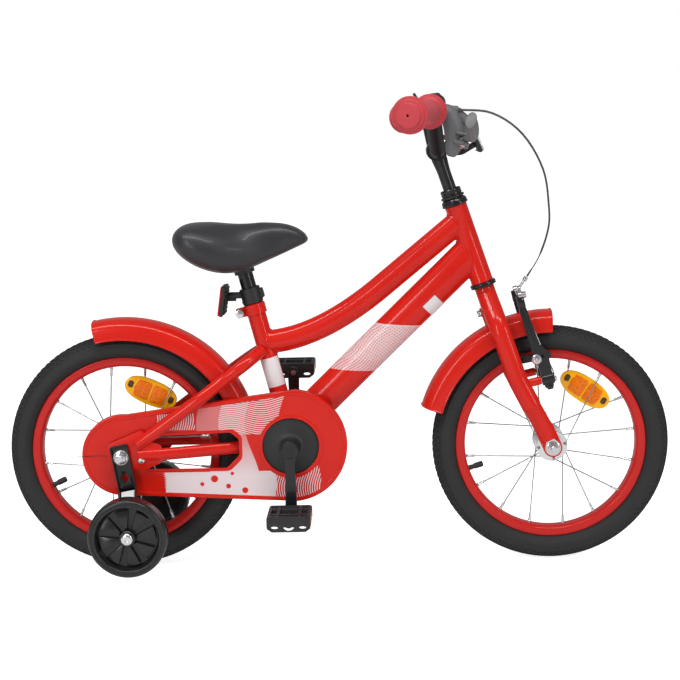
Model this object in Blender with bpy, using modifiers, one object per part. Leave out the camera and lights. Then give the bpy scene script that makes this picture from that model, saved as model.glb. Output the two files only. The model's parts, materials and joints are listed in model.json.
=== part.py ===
"""A child's 14 inch bicycle with stabilisers, built piece by piece.

Units are metres and +Z is up. The bicycle points along +X, its chain side is -Y,
and the origin is on the ground under the middle of the wheelbase.
"""
import math

import bmesh
import bpy
from mathutils import Matrix, Vector

# Clearances
TOUCH_GAP = 0.0003
RUNNING_GAP = 0.0005

# Wheels
WHEELBASE = 0.620
TYRE_RADIUS = 0.172
TYRE_WIDTH = 0.045
TYRE_WALL = 0.0035
RIM_RADIUS = 0.138
RIM_DEPTH = 0.014
RIM_WIDTH = 0.028
RIM_WALL = 0.0024
INNER_TUBE_WALL_GAP = 0.0008
VALVE_RADIUS = 0.004
VALVE_LENGTH = 0.022
SPOKE_COUNT = 16
SPOKE_RADIUS = 0.001
NIPPLE_RADIUS = 0.0022
NIPPLE_LENGTH = 0.013
SPOKE_FIRST_ANGLE = math.radians(8.5)
SPOKE_LEAN = math.radians(45)
FLANGE_THICKNESS = 0.003
FLANGE_SPACING = 0.062
AXLE_RADIUS = 0.0045
FRONT_FLANGE_RADIUS = 0.0225
FRONT_BARREL_RADIUS = 0.013
REAR_FLANGE_RADIUS = 0.029
REAR_BARREL_RADIUS = 0.022
REFLECTOR_LENGTH = 0.080
REFLECTOR_HEIGHT = 0.037
REFLECTOR_THICKNESS = 0.008
REFLECTOR_FROM_AXLE = 0.092
FRONT_REFLECTOR_ANGLE = math.radians(56)
REAR_REFLECTOR_ANGLE = math.radians(66)
FRONT_VALVE_ANGLE = math.radians(197.5)
REAR_VALVE_ANGLE = math.radians(205)

# Rear end of the frame
CHAIN_STAY_RUN = 0.2435
CRANK_RISE = 0.0095
REAR_DROPOUT_SPACING = 0.110
DROPOUT_THICKNESS = 0.004
CHAIN_STAY_HEIGHT = 0.018
CHAIN_STAY_WIDTH = 0.013
SEAT_STAY_DIAMETER = 0.018
SEAT_STAY_TOP = 0.143
STAY_WALL = 0.0016
TYRE_SIDE_ROOM = 0.0395
BRIDGE_DIAMETER = 0.010

# Main tubes
SEAT_TUBE_ANGLE = math.radians(75.8)
SEAT_TUBE_LENGTH = 0.209
SEAT_TUBE_DIAMETER = 0.027
SEAT_POST_DIAMETER = 0.0222
SHELL_DIAMETER = 0.040
SHELL_WIDTH = 0.068
SHELL_BORE = 0.034
HEAD_ANGLE = math.radians(71.5)
HEAD_TUBE_LENGTH = 0.1174
HEAD_TUBE_DIAMETER = 0.0318
HEAD_TUBE_WALL = 0.002
FORK_LENGTH = 0.2548
FORK_RAKE = 0.0157
TOP_TUBE_HEIGHT = 0.0345
TOP_TUBE_WIDTH = 0.030
TOP_TUBE_ON_SEAT_TUBE = 0.149
TOP_TUBE_ON_HEAD_TUBE = 0.095
TOP_TUBE_SLOPE = math.radians(39)
TOP_TUBE_REAR_SLOPE = math.radians(3.5)
DOWN_TUBE_HEIGHT = 0.050
DOWN_TUBE_WIDTH = 0.038
DOWN_TUBE_ON_HEAD_TUBE = 0.0465
DOWN_TUBE_ABOVE_SHELL = 0.0118
MAIN_TUBE_WALL = 0.0018

# Headset and steering
CUP_RADIUS = 0.019
LOWER_CUP_HEIGHT = 0.0065
UPPER_CUP_HEIGHT = 0.011
LOCKNUT_RADIUS = 0.0152
LOCKNUT_HEIGHT = 0.013
STEERER_DIAMETER = 0.0254
STEM_DIAMETER = 0.019
STEM_REACH = 0.200
STEM_INSERTION = 0.060
STEM_HEAD_RADIUS = 0.0148
STEM_HEAD_WIDTH = 0.040
BLADE_HEIGHT = 0.028
BLADE_WIDTH = 0.020
BLADE_SPACING = 0.090
FRONT_DROPOUT_SPACING = 0.084
FORK_TAB_THICKNESS = 0.005
CROWN_RADIUS = 0.0142
BRAKE_BOSS_SPACING = 0.084
BRAKE_BOSS_ABOVE_AXLE = 0.0978
BRAKE_BOSS_AHEAD = 0.032
CROWN_OVER_MUDGUARD = 0.0098
BLADE_SHOULDER_UNDER_MUDGUARD = 0.0062
MUDGUARD_TAB_OVER_MUDGUARD = 0.0073
MUDGUARD_BOLT_OVER_MUDGUARD = 0.0173
BRAKE_PIN_RADIUS = 0.0032
PAD_GAP = 0.0023
PAD_LENGTH = 0.046
PAD_HEIGHT = 0.009
PAD_THICKNESS = 0.0085
PAD_UNDER_RIM_EDGE = 0.0075

# Handlebar, grips and stem head
HANDLEBAR_DIAMETER = 0.0222
HANDLEBAR_WALL = 0.002
HANDLEBAR_RISE = 0.0545
HANDLEBAR_FLAT = 0.034
HANDLEBAR_SHOULDER = 0.115
GRIP_START = 0.140
GRIP_END_SIDE = 0.235
GRIP_SWEEP = 0.032
GRIP_DROP = 0.0055
GRIP_LENGTH = 0.1005
GRIP_RADIUS = 0.0158
GRIP_FLANGE_RADIUS = 0.0245
GRIP_INNER_FLANGE_RADIUS = 0.0235

# Bell
BELL_SIDE = 0.103
BELL_RADIUS = 0.0158

# Crank, chain and guard
CRANK_LENGTH = 0.089
CRANK_ARM_THICKNESS = 0.011
CRANK_ARM_CENTRE = 0.0725
CRANK_HUB_RADIUS = 0.0125
CRANK_END_RADIUS = 0.0085
SPINDLE_RADIUS = 0.0075
PEDAL_SPINDLE_RADIUS = 0.0045
PEDAL_CENTRE = 0.118
PEDAL_LENGTH = 0.061
PEDAL_WIDTH = 0.068
PEDAL_THICKNESS = 0.022
CHAIN_PITCH = 0.0127
CHAINRING_TEETH = 28
SPROCKET_TEETH = 16
CHAIN_LINE = 0.039
TOOTH_PLATE_THICKNESS = 0.0024
CHAIN_PLATE_THICKNESS = 0.0012
CHAIN_PLATE_HEIGHT = 0.009
CHAIN_INNER_WIDTH = 0.0036
GUARD_FRONT_RADIUS = 0.0814
GUARD_REAR_RADIUS = 0.0586
GUARD_OUTER_FACE = 0.049
GUARD_DEPTH = 0.0165
GUARD_WALL = 0.002
GUARD_BEAD = 0.006
GUARD_BEAD_HEIGHT = 0.001
GUARD_HOLE_RADIUS = 0.0407
GUARD_DISC_RADIUS = 0.0397
SLOT_FROM_AXLE = 0.033
SLOT_TO_CRANK = 0.0745
SLOT_TOP = 0.031
SLOT_BOTTOM = 0.0205

# Mudguards
MUDGUARD_RADIUS = 0.195
MUDGUARD_EDGE_RADIUS = 0.166
MUDGUARD_HALF_WIDTH = 0.030
MUDGUARD_THICKNESS = 0.0014
FRONT_MUDGUARD_TIP = math.radians(89.5)
FRONT_MUDGUARD_TAIL = math.radians(162.4)
REAR_MUDGUARD_TIP = math.radians(9)
REAR_MUDGUARD_TAIL = math.radians(102.5)

# Saddle
SADDLE_ABOVE_SEAT_TUBE = 0.047
SADDLE_LENGTH = 0.200
SADDLE_WIDTH = 0.138
SADDLE_CROWN = 0.0755
SADDLE_TAIL = 0.104
SEAT_POST_INSERTION = 0.085
SOCKET_DEPTH = 0.034

# Stabilisers
STABILISER_RADIUS = 0.0556
STABILISER_WIDTH = 0.030
STABILISER_DROP = 0.0996
STABILISER_AHEAD = 0.017
STABILISER_INNER_FACE = 0.114
BRACKET_WIDTH = 0.026
BRACKET_THICKNESS = 0.003
BRACKET_ABOVE_AXLE = 0.018
STABILISER_BOLT_RADIUS = 0.004

# Detail of round pieces
WHEEL_STEPS = 28
PIPE_STEPS = 18
SMALL_STEPS = 12

REAR_AXLE = Vector((-WHEELBASE / 2, 0, TYRE_RADIUS))
FRONT_AXLE = Vector((WHEELBASE / 2, 0, TYRE_RADIUS))
CRANK = REAR_AXLE + Vector((CHAIN_STAY_RUN, 0, CRANK_RISE))
SEAT_UP = Vector((-math.cos(SEAT_TUBE_ANGLE), 0, math.sin(SEAT_TUBE_ANGLE)))
SEAT_AHEAD = Vector((math.sin(SEAT_TUBE_ANGLE), 0, math.cos(SEAT_TUBE_ANGLE)))
STEER_UP = Vector((-math.cos(HEAD_ANGLE), 0, math.sin(HEAD_ANGLE)))
STEER_AHEAD = Vector((math.sin(HEAD_ANGLE), 0, math.cos(HEAD_ANGLE)))
HEAD_BOTTOM = FRONT_AXLE + STEER_UP * FORK_LENGTH - STEER_AHEAD * FORK_RAKE
SIDE = Vector((0, 1, 0))

FINISHES = {
    "red_paint": ((0.66, 0.014, 0.006), 0.22, 0.0),
    "black_paint": ((0.012, 0.012, 0.013), 0.35, 0.0),
    "black_plastic": ((0.015, 0.015, 0.016), 0.5, 0.0),
    "grey_plastic": ((0.14, 0.14, 0.145), 0.5, 0.0),
    "tyre_rubber": ((0.022, 0.021, 0.021), 0.8, 0.0),
    "tube_rubber": ((0.01, 0.01, 0.01), 0.7, 0.0),
    "grip_rubber": ((0.55, 0.03, 0.045), 0.6, 0.0),
    "saddle_vinyl": ((0.035, 0.036, 0.042), 0.45, 0.0),
    "steel": ((0.6, 0.6, 0.6), 0.3, 1.0),
    "zinc": ((0.75, 0.75, 0.76), 0.25, 1.0),
    "chain_steel": ((0.25, 0.23, 0.2), 0.45, 1.0),
    "orange_lens": ((0.95, 0.29, 0.01), 0.2, 0.0),
    "clear_lens": ((0.8, 0.8, 0.82), 0.15, 0.0),
    "cable_housing": ((0.05, 0.05, 0.055), 0.5, 0.0),
}

BODY_PLACES = {}


def start_scene():
    """Empties the scene and makes one collection for the pieces and one for the cutters."""
    for old in list(bpy.data.objects):
        bpy.data.objects.remove(old, do_unlink=True)
    for name in ("kids_bike", "cutters"):
        collection = bpy.data.collections.new(name)
        bpy.context.scene.collection.children.link(collection)


def add_body(name, position, parent=None):
    """An empty on the axis that a group of pieces turns or slides on."""
    body = bpy.data.objects.new("body_" + name, None)
    bpy.data.collections["kids_bike"].objects.link(body)
    place = Matrix.Translation(position)
    BODY_PLACES[name] = place
    body.matrix_basis = place
    if parent:
        body.parent = bpy.data.objects["body_" + parent]
        body.matrix_parent_inverse = BODY_PLACES[parent].inverted()


def add_piece(name, mesh, finish, body, place=None):
    """Puts a mesh in the bicycle as one named piece of a body."""
    piece = bpy.data.objects.new(name, mesh)
    bpy.data.collections["kids_bike"].objects.link(piece)
    piece.parent = bpy.data.objects["body_" + body]
    piece.matrix_parent_inverse = BODY_PLACES[body].inverted()
    if place is not None:
        piece.matrix_basis = place
    colour, roughness, metallic = FINISHES[finish]
    material = bpy.data.materials.new(name + "_" + finish)
    material.use_nodes = True
    shader = material.node_tree.nodes["Principled BSDF"]
    shader.inputs["Base Color"].default_value = (*colour, 1)
    shader.inputs["Roughness"].default_value = roughness
    shader.inputs["Metallic"].default_value = metallic
    material.diffuse_color = (*colour, 1)
    mesh.materials.clear()
    mesh.materials.append(material)
    return piece


def add_cutter(name, mesh, place=None):
    """A helper shape that cuts or joins a piece and is not a piece itself."""
    cutter = bpy.data.objects.new("cutter_" + name, mesh)
    bpy.data.collections["cutters"].objects.link(cutter)
    if place is not None:
        cutter.matrix_basis = place
    cutter.hide_render = True
    cutter.display_type = 'WIRE'
    return cutter


def combine(piece, cutter, operation, self_crossing=False):
    modifier = piece.modifiers.new(operation.lower() + "_" + cutter.name, 'BOOLEAN')
    modifier.operation = operation
    modifier.object = cutter
    modifier.solver = 'EXACT'
    modifier.use_self = self_crossing


def cut(piece, name, mesh, place=None):
    combine(piece, add_cutter(name, mesh, place), 'DIFFERENCE')


def join(piece, name, mesh, place=None, self_crossing=False):
    combine(piece, add_cutter(name, mesh, place), 'UNION', self_crossing)


def smooth_by_angle(mesh, degrees=40):
    mesh.shade_smooth()
    mesh.set_sharp_from_angle(angle=math.radians(degrees))


def frozen_mesh(name, holder):
    """The mesh of an object with its modifiers or curve settings worked in."""
    bpy.context.scene.collection.objects.link(holder)
    graph = bpy.context.evaluated_depsgraph_get()
    mesh = bpy.data.meshes.new_from_object(holder.evaluated_get(graph))
    mesh.name = name
    data = holder.data
    bpy.data.objects.remove(holder, do_unlink=True)
    if isinstance(data, bpy.types.Curve):
        bpy.data.curves.remove(data)
    shape = bmesh.new()
    shape.from_mesh(mesh)
    bmesh.ops.remove_doubles(shape, verts=shape.verts, dist=0.000002)
    shape.to_mesh(mesh)
    shape.free()
    smooth_by_angle(mesh)
    return mesh


def turned_mesh(name, profile, steps=PIPE_STEPS, closed=True):
    """Turns a profile of (radius, height) points round the local Z axis."""
    ring = profile if closed else profile + [(0, profile[-1][1]), (0, profile[0][1])]
    doubled_area = 0
    for (r0, h0), (r1, h1) in zip(ring, ring[1:] + ring[:1]):
        doubled_area += r0 * h1 - r1 * h0
    points = list(profile) if doubled_area < 0 else list(profile)[::-1]
    edges = [(i, i + 1) for i in range(len(points) - 1)]
    if closed:
        edges.append((len(points) - 1, 0))
    outline = bpy.data.meshes.new(name + "_outline")
    outline.from_pydata([(r, 0, h) for r, h in points], edges, [])
    holder = bpy.data.objects.new(name, outline)
    screw = holder.modifiers.new("Screw", 'SCREW')
    screw.axis = 'Z'
    screw.angle = math.tau
    screw.steps = steps
    screw.render_steps = steps
    screw.use_merge_vertices = True
    screw.merge_threshold = 0.000002
    return frozen_mesh(name, holder)


def rod_mesh(name, radius, start, end, steps=PIPE_STEPS):
    """A plain cylinder along local Z from one height to another."""
    return turned_mesh(name, [(0, start), (radius, start), (radius, end), (0, end)], steps, closed=False)


def pipe_mesh(name, outer, inner, start, end, steps=PIPE_STEPS):
    return turned_mesh(name, [(outer, start), (outer, end), (inner, end), (inner, start)], steps)


def tube_mesh(name, points, radius, resolution=2, radii=None, flatten=1.0):
    """A tube along a list of points; flatten squeezes its width along Y."""
    curve = bpy.data.curves.new(name, 'CURVE')
    curve.dimensions = '3D'
    curve.bevel_depth = radius
    curve.bevel_resolution = resolution
    curve.use_fill_caps = True
    spline = curve.splines.new('POLY')
    spline.points.add(len(points) - 1)
    for index, point in enumerate(points):
        spline.points[index].co = (point[0], point[1] / flatten, point[2], 1)
        spline.points[index].radius = radii[index] / radius if radii else 1
    mesh = frozen_mesh(name, bpy.data.objects.new(name, curve))
    mesh.transform(Matrix.Diagonal((1, flatten, 1, 1)))
    return mesh


def plate_mesh(name, outline, thickness):
    """A flat plate in the local XY plane, thickness shared by both sides."""
    curve = bpy.data.curves.new(name, 'CURVE')
    curve.dimensions = '2D'
    curve.fill_mode = 'BOTH'
    curve.extrude = thickness / 2
    spline = curve.splines.new('POLY')
    spline.points.add(len(outline) - 1)
    for index, (x, y) in enumerate(outline):
        spline.points[index].co = (x, y, 0, 1)
    spline.use_cyclic_u = True
    return frozen_mesh(name, bpy.data.objects.new(name, curve))


def box_mesh(name, size, bevel=0.0):
    """A block centred on its origin, with rounded edges if a bevel is given."""
    mesh = bpy.data.meshes.new(name)
    shape = bmesh.new()
    bmesh.ops.create_cube(shape, size=1)
    bmesh.ops.scale(shape, vec=size, verts=shape.verts)
    if bevel:
        bmesh.ops.bevel(shape, geom=list(shape.edges), offset=bevel, segments=1,
                        profile=0.5, affect='EDGES', material=-1)
    shape.to_mesh(mesh)
    shape.free()
    return mesh


def along(origin, direction, turn=0.0):
    """A place whose local Z axis points along a direction."""
    turned = Vector(direction).to_track_quat('Z', 'Y').to_matrix().to_4x4()
    return Matrix.Translation(origin) @ turned @ Matrix.Rotation(turn, 4, 'Z')


def basis_place(origin, x_way, y_way, z_way):
    rows = [(x_way[i], y_way[i], z_way[i], origin[i]) for i in range(3)]
    return Matrix((*rows, (0, 0, 0, 1)))


def upright(origin, up):
    """A place in the middle plane: local X points ahead, Y to the left, Z along up."""
    up = Vector(up).normalized()
    return basis_place(origin, SIDE.cross(up), SIDE, up)


def across(centre):
    """A place for wheels: local Z runs along +Y and local X along +X."""
    return Matrix.Translation(centre) @ Matrix.Rotation(-math.pi / 2, 4, 'X')


def side_plane(y):
    """A place for side plates: local X and Y are the bicycle's X and Z."""
    return Matrix.Translation((0, y, 0)) @ Matrix.Rotation(math.pi / 2, 4, 'X')


def steer_point(up, ahead=0.0, side=0.0):
    """A point given from the lower end of the head tube along the steering axis."""
    return HEAD_BOTTOM + STEER_UP * up + STEER_AHEAD * ahead + SIDE * side


def seat_point(up, ahead=0.0, side=0.0):
    """A point given from the crank axis along the seat tube."""
    return CRANK + SEAT_UP * up + SEAT_AHEAD * ahead + SIDE * side


def arc(centre_x, centre_y, radius, start, end, steps):
    points = []
    for index in range(steps + 1):
        angle = start + (end - start) * index / steps
        points.append((centre_x + radius * math.cos(angle), centre_y + radius * math.sin(angle)))
    return points


def rounded_route(points, bend_radius, steps=4):
    """Replaces each corner of a route by a bend of the given radius."""
    route = [Vector(points[0])]
    for before, corner, after in zip(points, points[1:], points[2:]):
        corner = Vector(corner)
        back = (Vector(before) - corner).normalized()
        on = (Vector(after) - corner).normalized()
        half = back.angle(on) / 2
        reach = min((Vector(before) - corner).length, (Vector(after) - corner).length) * 0.48
        setback = min(bend_radius / math.tan(half), reach)
        centre_distance = setback / math.cos(half)
        centre = corner + (back + on).normalized() * centre_distance
        first = corner + back * setback - centre
        last = corner + on * setback - centre
        sweep = first.angle(last)
        for index in range(steps + 1):
            share = index / steps
            near = math.sin((1 - share) * sweep) * first + math.sin(share * sweep) * last
            route.append(centre + near / math.sin(sweep))
    route.append(Vector(points[-1]))
    return route


def smooth_route(points, steps):
    """A smooth curve through all points, with some steps between each two."""
    points = [Vector(point) for point in points]
    padded = [2 * points[0] - points[1]] + points + [2 * points[-1] - points[-2]]
    route = []
    for p0, p1, p2, p3 in zip(padded, padded[1:], padded[2:], padded[3:]):
        for index in range(steps):
            t = index / steps
            even = 2 * p1 + (p2 - p0) * t
            square = (2 * p0 - 5 * p1 + 4 * p2 - p3) * t ** 2
            cube = (3 * p1 - p0 - 3 * p2 + p3) * t ** 3
            route.append((even + square + cube) / 2)
    route.append(points[-1])
    return route


def mirrored(points):
    return [Vector((point[0], -point[1], point[2])) for point in points]


def belt_outline(radius_front, radius_rear, steps):
    """The outline round two circles, one on the crank and one on the rear axle."""
    line = CRANK - REAR_AXLE
    heading = math.atan2(line.z, line.x)
    touch = math.acos((radius_rear - radius_front) / line.length)
    front = arc(CRANK.x, CRANK.z, radius_front, heading - touch, heading + touch, steps)
    rear = arc(REAR_AXLE.x, REAR_AXLE.z, radius_rear, heading + touch,
               heading - touch + math.tau, steps)
    return front + rear


def rounded_outline(corners, radius, steps=3):
    """A closed outline whose corners are rounded."""
    route = rounded_route([(*corners[-1], 0), *[(*c, 0) for c in corners], (*corners[0], 0)],
                          radius, steps)
    return [(point.x, point.y) for point in route[1:-1]]


def pitch_radius(teeth):
    return CHAIN_PITCH / 2 / math.sin(math.pi / teeth)


def toothed_outline(teeth):
    """Teeth as blunt points on a circle."""
    tip = pitch_radius(teeth) + CHAIN_PITCH * 0.2
    root = pitch_radius(teeth) - CHAIN_PITCH * 0.28
    points = []
    for index in range(teeth):
        middle = math.tau * index / teeth
        for share, radius in ((-0.5, root), (-0.13, tip), (0.13, tip)):
            angle = middle + share * math.tau / teeth
            points.append((radius * math.cos(angle), radius * math.sin(angle)))
    return points


def make_bodies():
    add_body("frame", (0, 0, 0))
    add_body("steering", HEAD_BOTTOM, "frame")
    add_body("front_wheel", FRONT_AXLE, "steering")
    add_body("rear_wheel", REAR_AXLE, "frame")
    add_body("rear_sprocket", REAR_AXLE, "frame")
    add_body("crank", CRANK, "frame")
    add_body("pedal_right", pedal_centre(-1), "crank")
    add_body("pedal_left", pedal_centre(1), "crank")
    add_body("seat_post", seat_point(SEAT_TUBE_LENGTH), "frame")
    add_body("brake_arm_right", brake_boss(-1), "steering")
    add_body("brake_arm_left", brake_boss(1), "steering")
    add_body("brake_lever", lever_pivot(), "steering")
    add_body("bell_lever", bell_lever_pivot(), "steering")
    add_body("stabiliser_wheel_right", stabiliser_centre(-1), "frame")
    add_body("stabiliser_wheel_left", stabiliser_centre(1), "frame")


# Wheels


def tyre_profile():
    """Half of the section from the tread to the bead, then mirrored: (radius, height)."""
    half_width = TYRE_WIDTH / 2
    centre = TYRE_RADIUS - half_width
    seat = RIM_RADIUS - RIM_DEPTH + RIM_WALL * 2 + 0.0025
    bead_side = RIM_WIDTH / 2 - RIM_WALL - TOUCH_GAP
    over_rim = RIM_RADIUS + TOUCH_GAP * 2
    outer = [(centre + half_width * math.cos(math.radians(a)), half_width * math.sin(math.radians(a)))
             for a in (0, 30, 62, 98)]
    lower = [(over_rim, RIM_WIDTH / 2), (over_rim, bead_side), (seat, bead_side),
             (seat, bead_side - TYRE_WALL * 0.8)]
    cavity = half_width - TYRE_WALL
    inner = [(over_rim + 0.001, bead_side - TYRE_WALL * 0.8),
             (centre, cavity), (centre + cavity * math.cos(math.radians(48)),
                                cavity * math.sin(math.radians(48))), (centre + cavity, 0)]
    half = outer + lower + inner
    other = [(r, -h) for r, h in half[::-1] if h > 0]
    return half + other


def rim_profile():
    inner = RIM_RADIUS - RIM_DEPTH
    side = RIM_WIDTH / 2
    half = [(inner, 0.0075), (inner + 0.003, side), (RIM_RADIUS, side), (RIM_RADIUS, side - RIM_WALL),
            (inner + RIM_WALL + 0.0032, side - RIM_WALL), (inner + RIM_WALL, 0.0055)]
    return half + [(r, -h) for r, h in half[::-1]]


def inner_tube_profile():
    """A ring that fills the tyre and reaches down to the rim's well."""
    half_width = TYRE_WIDTH / 2
    centre = TYRE_RADIUS - half_width
    filled = (half_width - TYRE_WALL) * 0.84
    neck = RIM_WIDTH / 2 - RIM_WALL - TYRE_WALL * 0.8 - TOUCH_GAP - INNER_TUBE_WALL_GAP * 2
    foot = RIM_RADIUS - RIM_DEPTH + RIM_WALL * 2 + 0.0035
    half = [(centre + filled * 0.93, filled * 0.36), (centre + filled * 0.38, filled * 0.92),
            (centre - filled * 0.2, filled * 0.88), (RIM_RADIUS, neck), (foot, neck)]
    return half + [(r, -h) for r, h in half[::-1]]


def spoke_mesh(name, flange_radius):
    """All spokes with their nipples, leaning left and right in turn, as one helper mesh."""
    spokes = bmesh.new()
    hole_radius = flange_radius - 0.003
    rim_end = (RIM_RADIUS - RIM_DEPTH) * math.cos(math.pi / WHEEL_STEPS) - TOUCH_GAP - 0.0006
    for index in range(SPOKE_COUNT):
        side = -1 if index % 2 == 0 else 1
        lean = 1 if (index // 2) % 2 == 0 else -1
        rim_angle = SPOKE_FIRST_ANGLE + math.tau * index / SPOKE_COUNT
        hub_angle = rim_angle + lean * SPOKE_LEAN
        hub_side = side * (FLANGE_SPACING - FLANGE_THICKNESS) / 2 - lean * side * 0.0008
        foot = Vector((hole_radius * math.cos(hub_angle), -hole_radius * math.sin(hub_angle), hub_side))
        tip = Vector((rim_end * math.cos(rim_angle), -rim_end * math.sin(rim_angle), side * 0.003))
        way = (tip - foot).normalized()
        points = [foot, tip - way * (NIPPLE_LENGTH + 0.0005), tip - way * NIPPLE_LENGTH, tip]
        radii = [SPOKE_RADIUS, SPOKE_RADIUS, NIPPLE_RADIUS, NIPPLE_RADIUS]
        one = tube_mesh("spoke", points, SPOKE_RADIUS, 0, radii)
        spokes.from_mesh(one)
        bpy.data.meshes.remove(one)
    mesh = bpy.data.meshes.new(name)
    spokes.to_mesh(mesh)
    spokes.free()
    return mesh


def hub_profile(flange_radius, barrel_radius):
    bore = AXLE_RADIUS + RUNNING_GAP
    outer = FLANGE_SPACING / 2
    inner = outer - FLANGE_THICKNESS
    end = outer + 0.006
    half = [(bore, end), (barrel_radius * 0.75, end), (barrel_radius * 0.85, outer),
            (flange_radius, outer), (flange_radius, inner), (barrel_radius, inner - 0.002)]
    return half + [(r, -h) for r, h in half[::-1]]


def reflector_mesh(name):
    """An oval lens whose long side lies along the wheel's rim."""
    outline = []
    for index in range(16):
        angle = math.tau * index / 16
        x = REFLECTOR_LENGTH / 2 * math.copysign(abs(math.cos(angle)) ** 0.8, math.cos(angle))
        y = REFLECTOR_HEIGHT / 2 * math.copysign(abs(math.sin(angle)) ** 0.9, math.sin(angle))
        outline.append((x, y))
    return plate_mesh(name, outline, REFLECTOR_THICKNESS)


def wheel_spot(centre, angle, radius):
    """A place on a wheel at an angle up from straight ahead, local X along the rim."""
    at = centre + Vector((radius * math.cos(angle), 0, radius * math.sin(angle)))
    turned = Matrix.Rotation(angle - math.pi / 2, 4, 'Z')
    return Matrix.Translation(at) @ Matrix.Rotation(math.pi / 2, 4, 'X') @ turned


def make_wheel(end, axle, flange_radius, barrel_radius, reflector_angle, valve_angle):
    body = end + "_wheel"
    place = across(axle)
    tyre = turned_mesh(end + "_tyre", tyre_profile(), WHEEL_STEPS)
    add_piece(end + "_tyre", tyre, "tyre_rubber", body, place)

    rim = add_piece(end + "_rim", turned_mesh(end + "_rim", rim_profile(), WHEEL_STEPS),
                    "red_paint", body, place)
    valve_way = Vector((math.cos(valve_angle), 0, math.sin(valve_angle)))
    valve_start = RIM_RADIUS - RIM_DEPTH / 2
    valve_place = along(axle + valve_way * valve_start, -valve_way)
    hole_end = RIM_DEPTH
    cut(rim, end + "_valve_hole",
        rod_mesh("valve_hole", VALVE_RADIUS + TOUCH_GAP, -0.004, hole_end, SMALL_STEPS), valve_place)

    tube = add_piece(end + "_inner_tube",
                     turned_mesh(end + "_inner_tube", inner_tube_profile(), WHEEL_STEPS),
                     "tube_rubber", body, place)
    join(tube, end + "_valve",
         rod_mesh("valve", VALVE_RADIUS, -0.004, VALVE_LENGTH + RIM_DEPTH / 2, SMALL_STEPS),
         valve_place)

    hub_mesh = turned_mesh(end + "_hub", hub_profile(flange_radius, barrel_radius), PIPE_STEPS)
    hub = add_piece(end + "_hub", hub_mesh, "steel", body, place)
    join(hub, end + "_spokes", spoke_mesh(end + "_spokes", flange_radius), place, self_crossing=True)

    reflector = add_piece(end + "_wheel_reflector", reflector_mesh(end + "_wheel_reflector"),
                          "orange_lens", body,
                          wheel_spot(axle, reflector_angle, REFLECTOR_FROM_AXLE))
    groove = spoke_mesh(end + "_reflector_grooves", flange_radius)
    widen_spokes(groove)
    cut(reflector, end + "_reflector_grooves", groove, place)


def widen_spokes(mesh):
    """Moves each spoke's skin outwards by the touch gap, for a groove with clearance."""
    shape = bmesh.new()
    shape.from_mesh(mesh)
    shape.normal_update()
    shifts = [(vert, vert.normal.copy()) for vert in shape.verts]
    for vert, normal in shifts:
        vert.co += normal * TOUCH_GAP * 1.6
    shape.to_mesh(mesh)
    shape.free()


def make_axle(name, body, axle, half_length, nut_face, spacer_face):
    """A threaded axle with its inner locknuts and outer flanged nuts as one turned piece."""
    hub_end = FLANGE_SPACING / 2 + 0.006 + RUNNING_GAP
    half = [(0, half_length), (AXLE_RADIUS, half_length), (AXLE_RADIUS, nut_face + 0.008),
            (0.0075, nut_face + 0.008), (0.0075, nut_face + 0.002), (0.0098, nut_face + 0.0018),
            (0.0098, nut_face), (AXLE_RADIUS, nut_face), (AXLE_RADIUS, spacer_face),
            (0.0075, spacer_face), (0.0075, hub_end), (AXLE_RADIUS, hub_end)]
    profile = half + [(r, -h) for r, h in half[::-1]]
    add_piece(name, turned_mesh(name, profile, 9, closed=False), "zinc", body, across(axle))


def make_wheels():
    make_wheel("front", FRONT_AXLE, FRONT_FLANGE_RADIUS, FRONT_BARREL_RADIUS,
               FRONT_REFLECTOR_ANGLE, FRONT_VALVE_ANGLE)
    make_wheel("rear", REAR_AXLE, REAR_FLANGE_RADIUS, REAR_BARREL_RADIUS,
               REAR_REFLECTOR_ANGLE, REAR_VALVE_ANGLE)
    front_nut = FRONT_DROPOUT_SPACING / 2 + FORK_TAB_THICKNESS + TOUCH_GAP
    make_axle("front_axle", "steering", FRONT_AXLE, front_nut + 0.012, front_nut,
              FRONT_DROPOUT_SPACING / 2 - TOUCH_GAP)
    rear_nut = bracket_plane() + BRACKET_THICKNESS + TOUCH_GAP
    make_axle("rear_axle", "frame", REAR_AXLE, rear_nut + 0.012, rear_nut,
              REAR_DROPOUT_SPACING / 2 - TOUCH_GAP)


# Main tubes of the frame


def top_tube_route():
    """From the seat tube's axis, bending up, to the head tube's axis."""
    rear = seat_point(TOP_TUBE_ON_SEAT_TUBE, SEAT_TUBE_DIAMETER * 0.22)
    front = steer_point(TOP_TUBE_ON_HEAD_TUBE)
    rise_rear = math.tan(TOP_TUBE_REAR_SLOPE)
    rise_front = math.tan(TOP_TUBE_SLOPE)
    knee_x = (front.z - rear.z - rise_front * front.x + rise_rear * rear.x) / (rise_rear - rise_front)
    knee = Vector((knee_x, 0, rear.z + rise_rear * (knee_x - rear.x)))
    bend_end = knee + (front - knee) * 0.44
    route = []
    for index in range(9):
        t = index / 8
        route.append(rear * (1 - t) ** 2 + knee * 2 * t * (1 - t) + bend_end * t ** 2)
    route.append(front)
    return route


def down_tube_route():
    front = steer_point(DOWN_TUBE_ON_HEAD_TUBE)
    line = (front - CRANK).normalized()
    lift = Vector((-line.z, 0, line.x)) * DOWN_TUBE_ABOVE_SHELL
    return [CRANK + lift, front]


def extended(route, length):
    """The same route, carried on straight past both ends."""
    first = route[0] + (route[0] - route[1]).normalized() * length
    last = route[-1] + (route[-1] - route[-2]).normalized() * length
    return [first, *route[1:-1], last]


def oval_mesh(name, route, height, width, grow):
    """An oval tube's skin, moved outwards or inwards by a wall or a clearance."""
    squeeze = (width + 2 * grow) / (height + 2 * grow)
    return tube_mesh(name, route, height / 2 + grow, 2, flatten=squeeze)


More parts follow.
